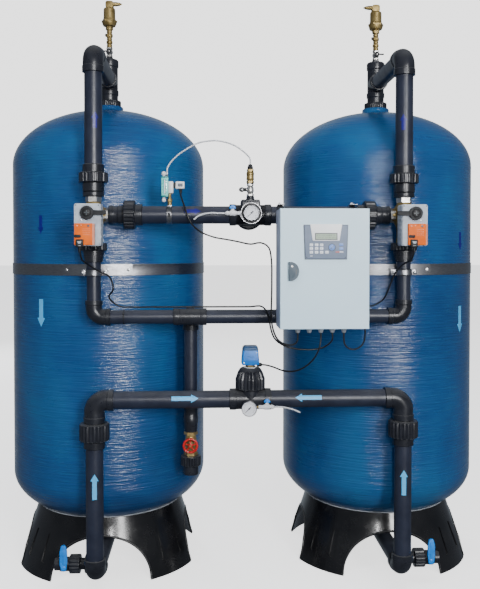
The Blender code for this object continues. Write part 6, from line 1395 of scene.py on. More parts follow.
def dress_drain_cock(word, side):
    centre = (side * DRAIN_START, DRAIN_Y, FLOOR_RUN)
    shape = Shape("drain_cock_assembly_" + word)
    shape.add(fitting_pvc, turned(centre, "X", 40, (18, 0), (21, 1), (21, 16), (18, 17), way=side))
    low, high = sorted((side * 0.019, side * 0.053))
    shape.add(fitting_pvc, turned(centre, "X", 96, (28, 16), (33, 16.5), (34.5, 19), (34.5, 36),
            (34.5, 53), (33, 55.5), (28, 56), soft=1, steps=2, ribs=(14, 0.0042, low, high), way=side),
        turned(centre, "X", 48, (22, 55), (25.5, 58), (26.2, 74), (25.5, 91), (22, 94), soft=2, way=side),
        turned(centre, "X", 40, (20, 92), (22.5, 94), (22.5, 110), (20.5, 112), (15, 112), (15, 100),
            (0, 100), way=side))
    stem = (side * DRAIN_STEM, DRAIN_Y, FLOOR_RUN)
    shape.add(fitting_pvc, turned(stem, "Y", 32, (15, 0), (15, -28.5), (10, -30), (7.2, -30.2),
        (7.2, -34)))
    stand_for(shape, "dark_pvc", "drain_cock_" + word)


def dress_drain_handle(word, side):
    pivot = Vector((side * DRAIN_STEM, DRAIN_Y - 0.0343, FLOOR_RUN))
    outline = placed(pivot, (-9, -12), (9, -12), (13.5, 20), (13, 62), (8, 84), (-8, 84), (-13, 62),
        (-13.5, 20), (-9.2, -11.5), soft=6, steps=4)
    shape = Shape("drain_lever_assembly_" + word)
    shape.add(handle_blue, plate(outline, "Y", pivot.y - 0.0078, pivot.y, 0.002, 3))
    rib = round_outline(pivot.x, pivot.z + 0.044, 0.0045, 0.03, 0.0042)
    shape.add(handle_blue, plate(rib, "Y", pivot.y - 0.0092, pivot.y - 0.006, 0.001, 2),
        turned(pivot, "Y", 32, (8.8, -2), (8.8, -8.8), (7, -9.8), (3.2, -10)))
    stand_for(shape, "handle_blue", "drain_handle_" + word)


def cable_relief(shape, place):
    """Tapered, grooved sleeve where a cable leaves a housing downwards."""
    shape.add(rubber, turned(place, "Z", 32, (3.6, 1), (6.6, 1), (6.6, -3), (5.2, -3.6), (6, -5),
        (6, -6.2), (5, -7), (5.5, -8.4), (5.5, -9.4), (4.6, -10.2), (5, -11.6), (5, -12.5), (4.2, -14),
        (4.1, -19), (3.6, -19.2), soft=0.4, steps=1, closed=True))


# Inlet header and air injection

def dress_inlet_header():
    reach = HALF_SPACING - VALVE_SIDE - GAP
    centre = (0.0, PIPE_Y, INLET_HEIGHT)
    shape = Shape("inlet_header_assembly")
    shape.add(pipe_pvc, lathe([(LARGE_PIPE, -reach + 0.06), (LARGE_PIPE, reach - 0.06)], centre, "X", 56))
    for side in (-1, 1):
        end = (side * reach, PIPE_Y, INLET_HEIGHT)
        shape.add(fitting_pvc, turned(end, "X", 56, (29.5, 0), (33.5, 1), (33.5, 14), (31.5, 16),
            (31.5, 32), (33.5, 34), (34, 52), (34, 54), soft=1.2, steps=2, way=-side))
        start = (side * (reach - 0.0525), PIPE_Y, INLET_HEIGHT)
        low, high = sorted((-side * 0.004, -side * 0.0385))
        shape.add(fitting_pvc, lathe(nut_profile(UNION_NUT, 0.0425, -side), start,
            "X", 110, (22, 0.0042, low, high)))
        begin = (side * (reach - 0.095), PIPE_Y, INLET_HEIGHT)
        shape.add(fitting_pvc, turned(begin, "X", 56, (38.5, -2), (38.5, 22.5), (37.2, 25), (32, 25.2),
            soft=1, steps=2, way=-side))
    for side in (-1, 1):
        shape.add(fitting_pvc, turned(centre, "X", 56, (36.5, 25), (36.5, 52), (38.5, 53), (38.8, 73.5),
            (37.2, 75), (32, 75.2), soft=1, steps=2, way=side))
    shape.add(fitting_pvc, turned(centre, "X", 56, (36.5, -52), (36.5, 52)))
    top = INLET_HEIGHT + 0.054
    shape.add(fitting_pvc, block((-0.0345, PIPE_Y - 0.03, INLET_HEIGHT),
            (0.0345, PIPE_Y + 0.03, top - 0.004), 0.006, 4),
        box((0, PIPE_Y, top), (-33.5, 33.5), (-29, 29), (-10, 0), 4, 3))
    for dx in (-0.0235, 0.0235):
        for dy in (-0.02, 0.02):
            shape.add(fitting_pvc, turned((dx, PIPE_Y + dy, top), "Z", 24, (6, -4), (6, 0.2), (3, 0.6)))
            shape.add(zinc, hexagon((dx, PIPE_Y + dy, top), "Z", -0.002, 0.0004, 0.0085, 0.0004))
    shape.add(fitting_pvc, turned((0, PIPE_Y, 0), "Z", 48, (16, -2), (16, 4), (14, 5), (14, 13.3),
        (11, 13.5), soft=0.8, steps=2, base=top))
    level = INLET_HEIGHT + 0.004
    shape.add(fitting_pvc, turned((0, PIPE_Y, level), "Y", 48, (18.5, -30), (17.5, -36), (12, -36.8),
        (11.8, -41), soft=1, steps=2))
    rear_union(shape, centre)
    shape.add(arrow_dark, wrapped_arrow((0, PIPE_Y, INLET_HEIGHT), "X", LARGE_PIPE + 0.0005,
        (0, -1, 0.42), -0.235, 0.058, 0.026))
    stand_for(shape, "dark_pvc", "inlet_header")


def rear_union(shape, centre):
    """Socket, ribbed nut and open end collar that point to the rear."""
    shape.add(fitting_pvc, turned(centre, "Y", 56, (36.5, 0), (36.5, 40), (37.3, 42), (37.3, 63)))
    start = (centre[0], centre[1] + 0.062, centre[2])
    shape.add(fitting_pvc, lathe(nut_profile(UNION_NUT, 0.044), start, "Y", 110,
            (22, 0.004, 0.004, 0.04)),
        lathe(softened([(0.0385, 0.104), (0.0385, 0.138), (0.037, 0.14), (0.0325, 0.14),
            (LARGE_PIPE, 0.139), (LARGE_PIPE, 0.111), (LARGE_BORE, 0.11), (LARGE_BORE, 0.07),
            (0.0, 0.069)], 0.0008, 2), centre, "Y", 56))


def dress_air_check_valve():
    foot = 1.4528
    centre = (0, PIPE_Y, 0)
    shape = Shape("air_check_valve_assembly")
    shape.add(nickel, hexagon(centre, "Z", foot, foot + 0.0085, 0.0225),
        turned(centre, "Z", 40, (8.5, 8), (10, 12), (12.6, 15.5), (13, 23.5), (12, 31), (9, 36),
            (8.8, 38), soft=2, base=foot),
        hexagon(centre, "Z", foot + 0.0365, foot + 0.0455, 0.0205),
        turned((0, PIPE_Y, 1.4765), "X", 24, (6, 0), (6, -14.8)))
    shape.add(brass, hexagon(centre, "Z", 1.4981, 1.5085, 0.0235),
        turned(centre, "Z", 48, (10.5, 1508), (11.2, 1509.5), (14, 1512.5), (14, 1516.5), (13.2, 1517.2),
            (13.2, 1530), (14, 1530.8), (14, 1535.5), (11.8, 1540), (10.8, 1540.5), soft=1, steps=2),
        hexagon(centre, "Z", 1.54, 1.55, 0.021))
    shape.add(black_plastic, turned(centre, "Z", 80, (8.5, 1549.5), (10, 1550.3), (10, 1559), (8.2, 1560),
        (7.2, 1566), (5.8, 1567.3), (3, 1567.3), soft=0.8, steps=2, ribs=(20, 0.0006, 1.5505, 1.5588)))
    stand_for(shape, "brass", "air_check_valve")


def dress_air_cock_handle():
    pivot = Vector((-0.015, PIPE_Y, 1.4765))
    shape = Shape("air_cock_wing")
    shape.add(black_plastic, turned(pivot, "X", 32, (5.6, 0), (6.2, -1), (6.2, -6.5), (4.8, -8)))
    outline = placed(pivot, (-4, -3), (-4, 3), (-11.5, 8.8), (-20.5, 8.2), (-25.8, 2.8), (-25.8, -2.8),
        (-20.5, -8.2), (-11.5, -8.8), (-4.1, -3.1), soft=3)
    shape.add(black_plastic, plate(outline, "Y", PIPE_Y - 0.004, PIPE_Y + 0.004, 0.0014, 3))
    shape.add(display_hood, turned((pivot.x - 0.0145, PIPE_Y, pivot.z), "Y", 24, (3, 0), (3, -4.4),
        (2, -4.7)))
    stand_for(shape, "black_plastic", "air_cock_handle")


def dress_air_flowmeter():
    station = -0.29
    shape = Shape("air_flowmeter_assembly")
    inner = LARGE_PIPE + GAP
    shape.add(stainless, turned((station, PIPE_Y, INLET_HEIGHT), "X", 72, (0, -9.3), (1, -9.5), (1.8, -9),
            (1, -8), (1, 8), (1.8, 9), (1, 9.5), (0, 9.3), bore=inner, closed=True),
        box((station, PIPE_Y, INLET_HEIGHT), (-9, 9), (-15, 8), (29, 34.5), 1.2))
    shape.add(black_plastic, box((station, PIPE_Y, INLET_HEIGHT), (-5, 5), (-33.8, -32.5), (-9, 6), 0.5,
        1))
    for index in range(5):
        angle = math.radians(200 + index * 9)
        place = (station, PIPE_Y + (inner + 0.0009) * math.cos(angle),
            INLET_HEIGHT + (inner + 0.0009) * math.sin(angle))
        shape.add(black_plastic, box(place, (-3.5, 3.5), (-0.6, 0.6), (-0.8, 0.8), 0.2, 1))
    shape.add(brass, turned((station + 0.001, PIPE_Y, 0), "Z", 32, (6.2, 33), (7.5, 36), (7.5, 46),
            (5.8, 48), (5.8, 85), soft=1, steps=2, base=INLET_HEIGHT),
        hexagon((station + 0.001, PIPE_Y, 0), "Z", 1.432, 1.443, 0.017))
    right = station - 0.003
    left = right - 0.025
    low = INLET_HEIGHT + 0.063
    high = low + 0.073
    shape.add(flowmeter_cyan, block((left, PIPE_Y - 0.022, low + 0.004),
        (right, PIPE_Y - 0.001, high - 0.004), 0.0025, 3))
    for base, top in ((low, low + 0.0055), (high - 0.0055, high)):
        shape.add(flowmeter_scale, block((left - 0.0004, PIPE_Y - 0.022, base),
            (right + 0.0002, PIPE_Y, top), 0.0015))
    middle = (left + right) / 2
    face = PIPE_Y - 0.0222
    shape.add(flowmeter_scale, block((middle - 0.0035, face - 0.0002, low + 0.0105),
        (middle + 0.0035, face + 0.001, high - 0.0105), 0.0004, 1))
    shape.add(display_hood, block((middle - 0.0016, face - 0.0005, low + 0.012),
        (middle + 0.0016, face + 0.001, high - 0.012), 0.0004, 1))
    for index in range(9):
        height = low + 0.015 + index * 0.0053
        wide = 0.0095 if index % 2 == 0 else 0.0065
        shape.add(flowmeter_scale, block((middle - wide, face - 0.0003, height),
                (middle - 0.004, face + 0.001, height + 0.0009), 0.0002, 1),
            block((middle + 0.004, face - 0.0003, height), (middle + wide, face + 0.001, height + 0.0009),
                0.0002, 1))
    for base, sign in ((high, 1), (low, -1)):
        shape.add(white_plastic, turned((station - 0.019, PIPE_Y - 0.011, 0), "Z", 72, (4, -1), (4, 4),
            (7.8, 6), (8.1, 11), (7, 16), (3, 18), soft=2, ribs=(18, 0.0006,
            *sorted((base + sign * 0.0065, base + sign * 0.015))), base=base, way=sign))
    shape.add(nickel, turned((-0.2972, PIPE_Y - 0.011, 0), "Z", 24, (3.6, -1), (3.6, 2), (2.6, 2.5),
        (3.6, 5), (2.6, 5.5), (3.4, 7.7), soft=0.3, steps=1, base=high))
    base = INLET_HEIGHT + 0.077
    shape.add(white_plastic, box((right, PIPE_Y, base), (-1, 17), (-13, 13), (0, 42), 2.5, 3))
    shape.add(gland_grey, box((right, PIPE_Y, base), (0.5, 14), (-13.6, -12), (12, 12.5), 0.2, 1))
    shape.add(brass, turned((right + 0.008, PIPE_Y, 0), "Z", 6, (5, -2), (6.6, -1), (6.6, 2), base=base))
    foot = base + 0.042 - 0.026
    shape.add(black_plastic, box((right, PIPE_Y, foot), (15.5, 27), (-8.5, 8.5), (3.5, 22.5), 1))
    shape.add(white_plastic, box((right, PIPE_Y, foot), (25.2, 57.2), (-13, 13), (0, 26), 2.8, 3))
    shape.add(controller_edge, box((right, PIPE_Y, foot), (33, 51), (-13.4, -12), (7.5, 18.5), 0.4, 1))
    shape.add(zinc, turned((right + 0.0292, PIPE_Y - 0.013, foot + 0.013), "Y", 20, (2.4, 1), (2.4, -0.6),
        (1.2, -0.9)))
    shape.add(gland_grey, turned((-0.25, PIPE_Y, foot), "Z", 24, (6.2, 1), (6.2, -0.1), (5, -0.2)))
    cable_relief(shape, (-0.25, PIPE_Y, 1.478))
    stand_for(shape, "white_plastic", "air_flowmeter")


# Gauges and sampling cocks

def dress_gauge(word, x, height, flange):
    """Steel case with its bezel, a dial with marks and an arc, and a square brass stem.  On the flanged
    gauge a black disc behind the case is painted shadow: it makes a dark ring round the case.
    """
    centre = (x, PIPE_Y, height)
    shape = Shape("gauge_case_" + word)
    back = -0.0593
    if flange:
        # Black disc behind the flange: painted shadow, a dark ring round the case standing in for the
        # shade it casts
        shape.add(rubber, turned(centre, "Y", 72, (12, 0), (36.2, 0), (36.2, -2.8), (27, -2.8),
            base=back))
        shape.add(stainless, turned(centre, "Y", 72, (35.2, -0.4), (37.8, 0), (38.5, -0.6), (38.5, -3.4),
            (37.8, -4), (35.6, -3.8), soft=0.4, steps=2, base=back, closed=True))
        for index in range(3):
            angle = math.radians(90 + 120 * index)
            place = (x + 0.0335 * math.cos(angle), PIPE_Y + back - 0.0038,
                height + 0.0335 * math.sin(angle))
            shape.add(black_plastic, turned(place, "Y", 16, (1.9, 1), (1.9, -0.2), (0, -0.2)))
    shape.add(stainless, turned(centre, "Y", 72, (24, 0), (26.2, -1.2), (26.5, -19), (27.5, -20.5),
        (27.5, -26.2), (26.8, -27.8), (25.6, -28), (25.2, -26.2), (25.2, -21.8), (24, -21.6), soft=0.5,
        steps=2, base=back))
    dial = back - 0.0216
    shape.add(dial_white, turned(centre, "Y", 72, (25.3, 0), (25.3, -0.4), (0, -0.4), base=dial))
    face = PIPE_Y + dial - 0.0004
    for index in range(28):
        angle = math.radians(225 - 270 * index / 27)
        long_mark = index % 9 == 0
        inner = 0.0185 if long_mark else 0.0205
        width = 0.00045 if long_mark else 0.00025
        along = Vector((math.cos(angle), 0, math.sin(angle)))
        aside = Vector((-along.z, 0, along.x)) * width
        middle = Vector((x, face - 0.0001, height))
        points = [middle + along * inner - aside, middle + along * 0.0225 - aside,
            middle + along * 0.0225 + aside, middle + along * inner + aside]
        shape.add(dial_ink, (points, [(0, 1, 2, 3)]))
    arc = []
    faces = []
    for index in range(41):
        angle = math.radians(225 - 270 * index / 40)
        for radius in (0.017, 0.0175):
            arc.append(Vector((x + radius * math.cos(angle), face - 0.0001,
                height + radius * math.sin(angle))))
    for index in range(40):
        faces.append((2 * index, 2 * index + 1, 2 * index + 3, 2 * index + 2))
    shape.add(dial_ink, (arc, faces))
    shape.add(brass, box((x, PIPE_Y, height), (-11, 11), (-63.3, -44), (-11, 11), 1.5),
        turned(centre, "Y", 40, (10.5, -44.5), (10.5, -41.3)))
    stand_for(shape, "steel", "gauge_" + word)


def dress_pointer(word, x, height):
    pivot = Vector((x, PIPE_Y - 0.0816, height))
    along = Vector((math.cos(math.radians(225)), 0, math.sin(math.radians(225))))
    aside = Vector((-along.z, 0, along.x))
    outline = []
    for reach, half in ((-0.008, 0.0021), (-0.002, 0.0016), (0.0, 0.0012), (0.0184, 0.0007), (0.019, 0.0),
            (0.0184, -0.0007), (0.0, -0.0012), (-0.002, -0.0016), (-0.008, -0.0021)):
        point = pivot + along * reach + aside * half
        outline.append((point.x, point.z))
    shape = Shape("gauge_needle_" + word)
    shape.add(dial_ink, plate(outline, "Y", pivot.y - 0.0011, pivot.y - 0.0004, 0),
        turned(pivot, "Y", 28, (3, 0), (3, -1.5), (2, -1.9), (0, -1.9)))
    stand_for(shape, "black_plastic", "gauge_pointer_" + word)


def dress_sample_valve(word, x, height, direction):
    near = x + direction * (0.011 + GAP)
    start = near + direction * 0.028
    middle = start + direction * 0.026
    centre = (0, SAMPLE_Y, height)
    shape = Shape("sample_cock_" + word)
    shape.add(brass, turned(centre, "X", 28, (5.5, 0), (5.5, 10), (4.6, 11), (4.6, 30), base=near,
        way=direction))
    shape.add(white_plastic, turned(centre, "X", 6, (7, -4), (7, 6), base=start, way=direction),
        turned(centre, "X", 36, (5.8, 4), (6.2, 10), (9, 16.5), (9.5, 20), (9.5, 32), (9, 35.5),
            (6.2, 36), (6.2, 40), (7.8, 41), (7.8, 47), (6, 48.5), (4.5, 52), soft=1, steps=2, base=start,
            way=direction),
        turned((middle, SAMPLE_Y, 0), "Z", 32, (6.2, 0), (6.2, 13.5), (5, 15), (3.2, 15.5), base=height))
    stand_for(shape, "white_plastic", "sample_valve_" + word)


def dress_sample_handle(word, x, height, direction):
    middle = x + direction * (0.011 + GAP + 0.028 + 0.026)
    y = SAMPLE_Y
    base = height + 0.0095 + 0.006 + GAP
    shape = Shape("sample_wing_" + word)
    outline = placed((middle, y, base), (-2, 0), (11.8, 0), (10.5, 7.5), (3.5, 13), (-3.5, 13),
        (-10.5, 7.5), (-11.8, 0), (-2.2, 0), soft=2.5)
    shape.add(handle_blue, plate(outline, "Y", y - 0.0032, y + 0.0032, 0.0014, 3),
        turned((middle, y, 0), "Z", 28, (5.2, 0), (5.2, 5), (4.2, 7), base=base))
    stand_for(shape, "handle_blue", "sample_handle_" + word)


# Backwash tee, gate valve and handwheel

def dress_backwash_tee():
    centre = (DROP_X, PIPE_Y, BACKWASH_HEIGHT)
    corners = (centre, (DROP_X, DROP_Y, BACKWASH_HEIGHT), (DROP_X, DROP_Y, 0.577))
    total = path_length(corners, SMALL_BEND)
    elbow_end = DROP_DEPTH - SMALL_BEND + SMALL_BEND * math.pi / 2 + (SMALL_SOCKET - SMALL_BEND)
    shape = Shape("backwash_tee_assembly")
    shape.add(fitting_pvc, turned(centre, "X", 48, (29, -58.5), (29, 58.5)))
    for side in (-1, 1):
        shape.add(fitting_pvc, turned(centre, "X", 48, (29, 36), (30.5, 37), (30.7, 58.5), (29.5, 60),
            (25.5, 60), soft=1, steps=2, way=side))
    shape.add(fitting_pvc, sleeve(corners, SMALL_BEND, [(0.0, 0.029), (0.036, 0.029), (0.037, 0.0307),
        (0.052, 0.0307), (0.053, 0.029), (elbow_end - 0.02, 0.029), (elbow_end - 0.019, 0.0307),
        (elbow_end - 0.001, 0.0305), (elbow_end, 0.026)], 48, 16))
    shape.add(pipe_pvc, sleeve(corners, SMALL_BEND, [(elbow_end - 0.02, SMALL_PIPE),
        (total, SMALL_PIPE * 0.96)], 48))
    shape.add(fitting_pvc, sleeve(corners, SMALL_BEND, [(total - 0.102, 0.0255), (total - 0.101, 0.0272),
        (total - 0.082, 0.0275), (total - 0.08, 0.0262), (total - 0.06, 0.0262), (total - 0.058, 0.0275),
        (total - 0.034, 0.0275), (total - 0.03, 0.0262), (total - 0.001, 0.0242), (total, 0.0225)], 48))
    stand_for(shape, "dark_pvc", "backwash_tee")


GATE = (DROP_X, DROP_Y, 0.5385)


def dress_gate_valve():
    shape = Shape("gate_valve_assembly")
    top = 0.5767 - GATE[2]
    foot = top - 0.091
    shape.add(bright_brass, hexagon(GATE, "Z", top, top - 0.014, 0.045, 0.0015),
        hexagon(GATE, "Z", foot + 0.014, foot, 0.045, 0.0015),
        turned(GATE, "Z", 48, (19.5, -13), (19.5, -22), (21.5, -28), (21.5, -63), (19.5, -69),
            (19.5, -78), soft=3, base=top),
        turned(GATE, "Y", 48, (19.8, 0), (19.8, -19), (21.2, -20), (21.2, -26), (18, -27.5), soft=1.2),
        hexagon(GATE, "Y", -0.0265, -0.0375, 0.029, 0.0012))
    shape.add(brass, turned(GATE, "Y", 40, (13.5, -37), (13.8, -38.5), (13.8, -45), (9.8, -50), (5, -50),
        soft=1))
    nut_foot = foot - 0.039
    shape.add(fitting_pvc, turned(GATE, "Z", 120, (33, 0), (37, -0.8), (38, -4), (38, -20), (38, -34),
            (35, -38), (30, -39), soft=1, steps=2, ribs=(20, 0.0038, nut_foot + 0.0045, foot - 0.0035),
            base=foot),
        turned(GATE, "Z", 48, (28.5, 2), (28.5, -30.5), (27.5, -32), (25.8, -32), (25, -31), (25, -5),
            (21, -4.5), (21, 20), (0, 21), soft=0.8, steps=2, base=nut_foot))
    stand_for(shape, "brass", "gate_valve")


def dress_handwheel():
    level = -0.07
    centre = Vector(GATE)
    shape = Shape("handwheel_assembly")
    ring = []
    for index in range(64):
        angle = 2 * math.pi * index / 64
        lobed = 0.0245 + 0.0006 * math.cos(10 * angle)
        ring.append((centre.x + lobed * math.cos(angle), centre.y + level,
            centre.z + lobed * math.sin(angle)))
    shape.add(wheel_red, round_tube(ring, 0.0044, 16, closed=True),
        turned(centre, "Y", 40, (5, 7.5), (7.8, 6), (8, -3), (6.6, -5), (4.5, -5.2), soft=1.2,
            base=level))
    shape.add(brass, hexagon(centre, "Y", level - 0.0035, level - 0.0068, 0.0072, 0.0006),
        lathe([(0.004, level + 0.004), (0.004, -0.0155)], centre, "Y", 24))
    for index in range(5):
        angle = math.pi / 2 + 2 * math.pi * index / 5
        along = Vector((math.cos(angle), 0, math.sin(angle)))
        points = []
        for step in range(9):
            t = step / 8
            bow = 0.0022 * math.sin(math.pi * t)
            points.append(centre + along * (0.0055 + 0.018 * t) + Vector((0, level + bow, 0)))
        shape.add(wheel_red, round_tube(points, 0.0027, 12))
    stand_for(shape, "wheel_red", "handwheel")


# Outlet header and flow switch

def dress_outlet_header():
    foot = 0.6393
    corners = ((-HALF_SPACING, PIPE_Y, foot), (-HALF_SPACING, PIPE_Y, OUTLET_HEIGHT),
        (HALF_SPACING, PIPE_Y, OUTLET_HEIGHT), (HALF_SPACING, PIPE_Y, foot))
    total = path_length(corners, LARGE_BEND)
    up = OUTLET_HEIGHT - foot - LARGE_BEND
    elbow_end = up + LARGE_BEND * math.pi / 2 + LARGE_SOCKET - LARGE_BEND
    middle = total / 2
    shape = Shape("outlet_header_assembly")
    shape.add(pipe_pvc, sleeve(corners, LARGE_BEND, [(0.02, LARGE_PIPE), (total - 0.02, LARGE_PIPE)], 56))
    for start, end in ((0.0, elbow_end), (total - elbow_end, total)):
        socket = two_sockets(start, end, (0.0335, 0.0385, 0.0388, 0.0367), 0.02)
        socket[0] = (start, 0.035)
        shape.add(fitting_pvc, sleeve(corners, LARGE_BEND, socket, 56, 18))
    socket = two_sockets(middle - 0.075, middle + 0.075, (0.0335, 0.0385, 0.0388, 0.0366), 0.022)
    shape.add(fitting_pvc, sleeve(corners, LARGE_BEND, socket, 56))
    centre = (0, PIPE_Y, OUTLET_HEIGHT)
    shape.add(fitting_pvc, turned(centre, "Z", 56, (36.6, 0), (36.6, 34), (38.5, 35), (38.5, 38.5)))
    shape.add(fitting_pvc, turned(centre, "Z", 132, (48, 37), (52.5, 37.5), (53.5, 39.5), (53.5, 55),
        (53.5, 75), (49.8, 85), (47, 94), (42.8, 103), (37.5, 111), (33, 115), (18.5, 115.2), soft=2,
        steps=2, ribs=(22, 0.0048, 0.04, 0.1015)))
    shape.add(display_hood, turned(centre, "Z", 48, (18.4, 114.8), (18.4, 117), (22.5, 117),
        (22.5, 114.8), closed=True))
    shape.add(fitting_pvc, turned((-0.008, PIPE_Y, OUTLET_HEIGHT - 0.019), "Y", 48, (18.5, -30),
        (17.5, -36), (12, -36.8), (11.8, -41), soft=1, steps=2))
    rear_union(shape, centre)
    for start, sign in ((-0.283, 1), (0.256, -1)):
        shape.add(arrow_pale, wrapped_arrow((0, PIPE_Y, OUTLET_HEIGHT), "X", LARGE_PIPE + 0.0005,
            (0, -1, 0.3), start, 0.096, 0.03, sign))
    stand_for(shape, "dark_pvc", "outlet_header")


def dress_flow_switch():
    base = 0.8465
    shape = Shape("flow_switch_assembly")
    shape.add(fitting_pvc, turned((0, PIPE_Y, 0), "Z", 40, (16.5, 806.5), (16.5, 836.2)))
    shape.add(brass, hexagon((0, PIPE_Y, 0), "Z", 0.8378, 0.847, 0.03, 0.0012))
    shape.add(stainless, box((0, PIPE_Y, 0), (-1.5, 1.5), (-8, 8), (723.5, 815.5), 0.4, 1))
    points = []
    rings = []
    for width, depth, level in ((59, 54, 0), (63, 58, 4), (61.8, 57, 20), (57.2, 53.5, 47),
            (55.6, 52.5, 52)):
        outline = round_outline(0, PIPE_Y, width / 2000, depth / 2000, 0.006, 5)
        rings.append(range(len(points), len(points) + len(outline)))
        points += [Vector((a, b, base + level / 1000)) for a, b in outline]
    shape.add(switch_blue, (points, joined(rings)))
    outline = round_outline(0, PIPE_Y, 0.0282, 0.0266, 0.006, 5)
    shape.add(switch_lid, plate(outline, "Z", base + 0.0516, base + 0.0556, 0.001, 2),
        plate(round_outline(0, PIPE_Y, 0.0272, 0.0256, 0.007, 6), "Z", base + 0.055, base + 0.062, 0.0035,
            4),
        plate(round_outline(0, PIPE_Y, 0.0236, 0.0226, 0.007, 6), "Z", base + 0.061, base + 0.067, 0.0035,
            4))
    front = PIPE_Y - 0.029
    shape.add(display_hood, turned((-0.0235, front + 0.0005, base + 0.0085), "Y", 20, (2.4, 2),
        (2.4, -0.4), (1.2, -0.7)))
    shape.add(zinc, turned((0.0205, front + 0.0022, base + 0.044), "Y", 20, (2, 2), (2, -0.2), (0, -0.4)))
    for index in range(3):
        shape.add(switch_lid, block((-0.012, front + 0.0008, base + 0.02 + index * 0.006),
            (0.012, front + 0.003, base + 0.0212 + index * 0.006), 0.0003, 1))
    gland = (0, PIPE_Y, 0.84425)
    shape.add(black_plastic, turned(gland, "X", 60, (5, 24), (6.8, 25), (7.5, 30), (7.5, 37), (6.2, 40),
        (4.6, 43.5), (3.2, 43.5), soft=0.8, steps=2, ribs=(12, 0.0007, 0.03, 0.0372)))
    stand_for(shape, "handle_blue", "flow_switch")


# Cabinet, door, controller and lock

def dress_cabinet():
    """Enamelled steel box with its flange, mounting plate, glands and pipe clamps."""
    front = DOOR_BACK + GAP
    wall = 0.002
    low_x, high_x, low_z, high_z = (CABINET_LEFT, CABINET_RIGHT, CABINET_BASE, CABINET_TOP)
    shape = Shape("cabinet_assembly")
    # Sides, bottom and back take the darker copy of the enamel: painted shade; the top keeps the door's
    # enamel
    shape.add(shaded_cabinet_side, block((low_x, front, low_z), (low_x + wall, CABINET_BACK, high_z), 0.0006, 2),
        block((high_x - wall, front, low_z), (high_x, CABINET_BACK, high_z), 0.0006, 2),
        block((low_x, front, low_z), (high_x, CABINET_BACK, low_z + wall), 0.0006, 2))
    shape.add(cabinet_paint, block((low_x, front, high_z - wall), (high_x, CABINET_BACK, high_z), 0.0006,
        2))
    shape.add(shaded_cabinet_side, block((low_x, CABINET_BACK - wall, low_z), (high_x, CABINET_BACK, high_z),
        0.0006, 2))
    edge = 0.006
    shape.add(shaded_cabinet_side, block((low_x + wall, front + 0.001, low_z + wall),
            (low_x + wall + edge, front + 0.003, high_z - wall), 0.0004, 1),
        block((high_x - wall - edge, front + 0.001, low_z + wall),
            (high_x - wall, front + 0.003, high_z - wall), 0.0004, 1))
    plate_face = CABINET_BACK - wall - 0.003
    shape.add(zinc, block((low_x + 0.02, plate_face, low_z + 0.02),
        (high_x - 0.02, CABINET_BACK - 0.001, high_z - 0.02), 0.0006, 1))
    middle = (low_x + high_x) / 2
    shape.add(zinc, box((middle, plate_face, low_z), (-90, 90), (-7, 1), (52, 72), 0.6, 1))
    for index in range(15):
        place = middle - 0.087 + index * 0.012
        material = handle_blue if index in (4, 9) else gland_grey
        shape.add(material, box((place, plate_face, low_z), (0, 10.8), (-40, -6), (40, 85), 0.8, 2))
        for height in (0.0475, 0.0775):
            shape.add(zinc, turned((place + 0.0054, plate_face - 0.04, low_z + height), "Y", 12, (2.6, 1),
                (2.6, -0.5), (1.4, -0.8)))
    for place in GLANDS:
        centre = (place, GLAND_Y, low_z)
        shape.add(gland_grey, hexagon(centre, "Z", 0.0005, -0.0042, 0.021, 0.0008),
            turned(centre, "Z", 72, (9.2, -4), (10.2, -4.8), (10.2, -11), (9.2, -12.2), soft=0.8, steps=2,
                ribs=(12, 0.0009, -0.0108, -0.005)),
            turned(centre, "Z", 60, (9.2, -11.8), (8.5, -13.2), (7.8, -18.5), (6.2, -20.5), soft=1,
                steps=2, ribs=(10, 0.0008, -0.0185, -0.013)))
        shape.add(rubber, turned(centre, "Z", 40, (5.8, -19.5), (5.6, -22.6), (3.4, -23)))
    for place in (0.107, 0.368):
        for height, radius in ((INLET_HEIGHT, LARGE_PIPE), (BACKWASH_HEIGHT, SMALL_PIPE)):
            inner = radius + GAP
            outer = inner + 0.0042
            shape.add(stainless, turned((place, PIPE_Y, height), "X", 64, (0, -9.8), (4.2, -10),
                (4.8, -9.2), (4.2, -8), (4.2, 8), (4.8, 9.2), (4.2, 10), (0, 9.8), bore=inner,
                closed=True))
            for sign in (-1, 1):
                shape.add(stainless, block((place - 0.0098, CABINET_BACK - 0.0005,
                    height + sign * outer - 0.0012), (place + 0.0098, PIPE_Y,
                    height + sign * outer + 0.0006), 0.0004, 1))
            shape.add(white_plastic, turned((place, PIPE_Y, height), "Z", 32, (5.2, -3), (5.5, 1),
                (5.5, 4), (4.2, 8), (2, 10), soft=1, base=outer))
    stand_for(shape, "cabinet_paint", "cabinet")


def controller_outline(inset):
    low = 1.2275 + inset
    high = 1.3435 - inset
    foot = 0.071 - inset
    top = 0.075 - inset
    return [(CONTROLLER_X - foot, low), (CONTROLLER_X + foot, low), (CONTROLLER_X + top, high),
        (CONTROLLER_X - top, high)]


def ringed_plate(outer, inner, start, end):
    """A flat plate with an opening, facing the front.  Both outlines have as many points."""
    points = []
    for outline, level in ((outer, start), (outer, end), (inner, end), (inner, start)):
        points += [Vector((x, level, z)) for x, z in outline]
    count = len(outer)
    rings = [range(first, first + count) for first in range(0, 4 * count, count)]
    return points, joined(rings, closed=True)


def door_outline(inset):
    """Corners of the door, pulled in by an inset."""
    left, right = CABINET_LEFT + inset, CABINET_RIGHT - inset
    low, high = CABINET_BASE + inset, CABINET_TOP - inset
    return [(left, low), (right, low), (right, high), (left, high)]


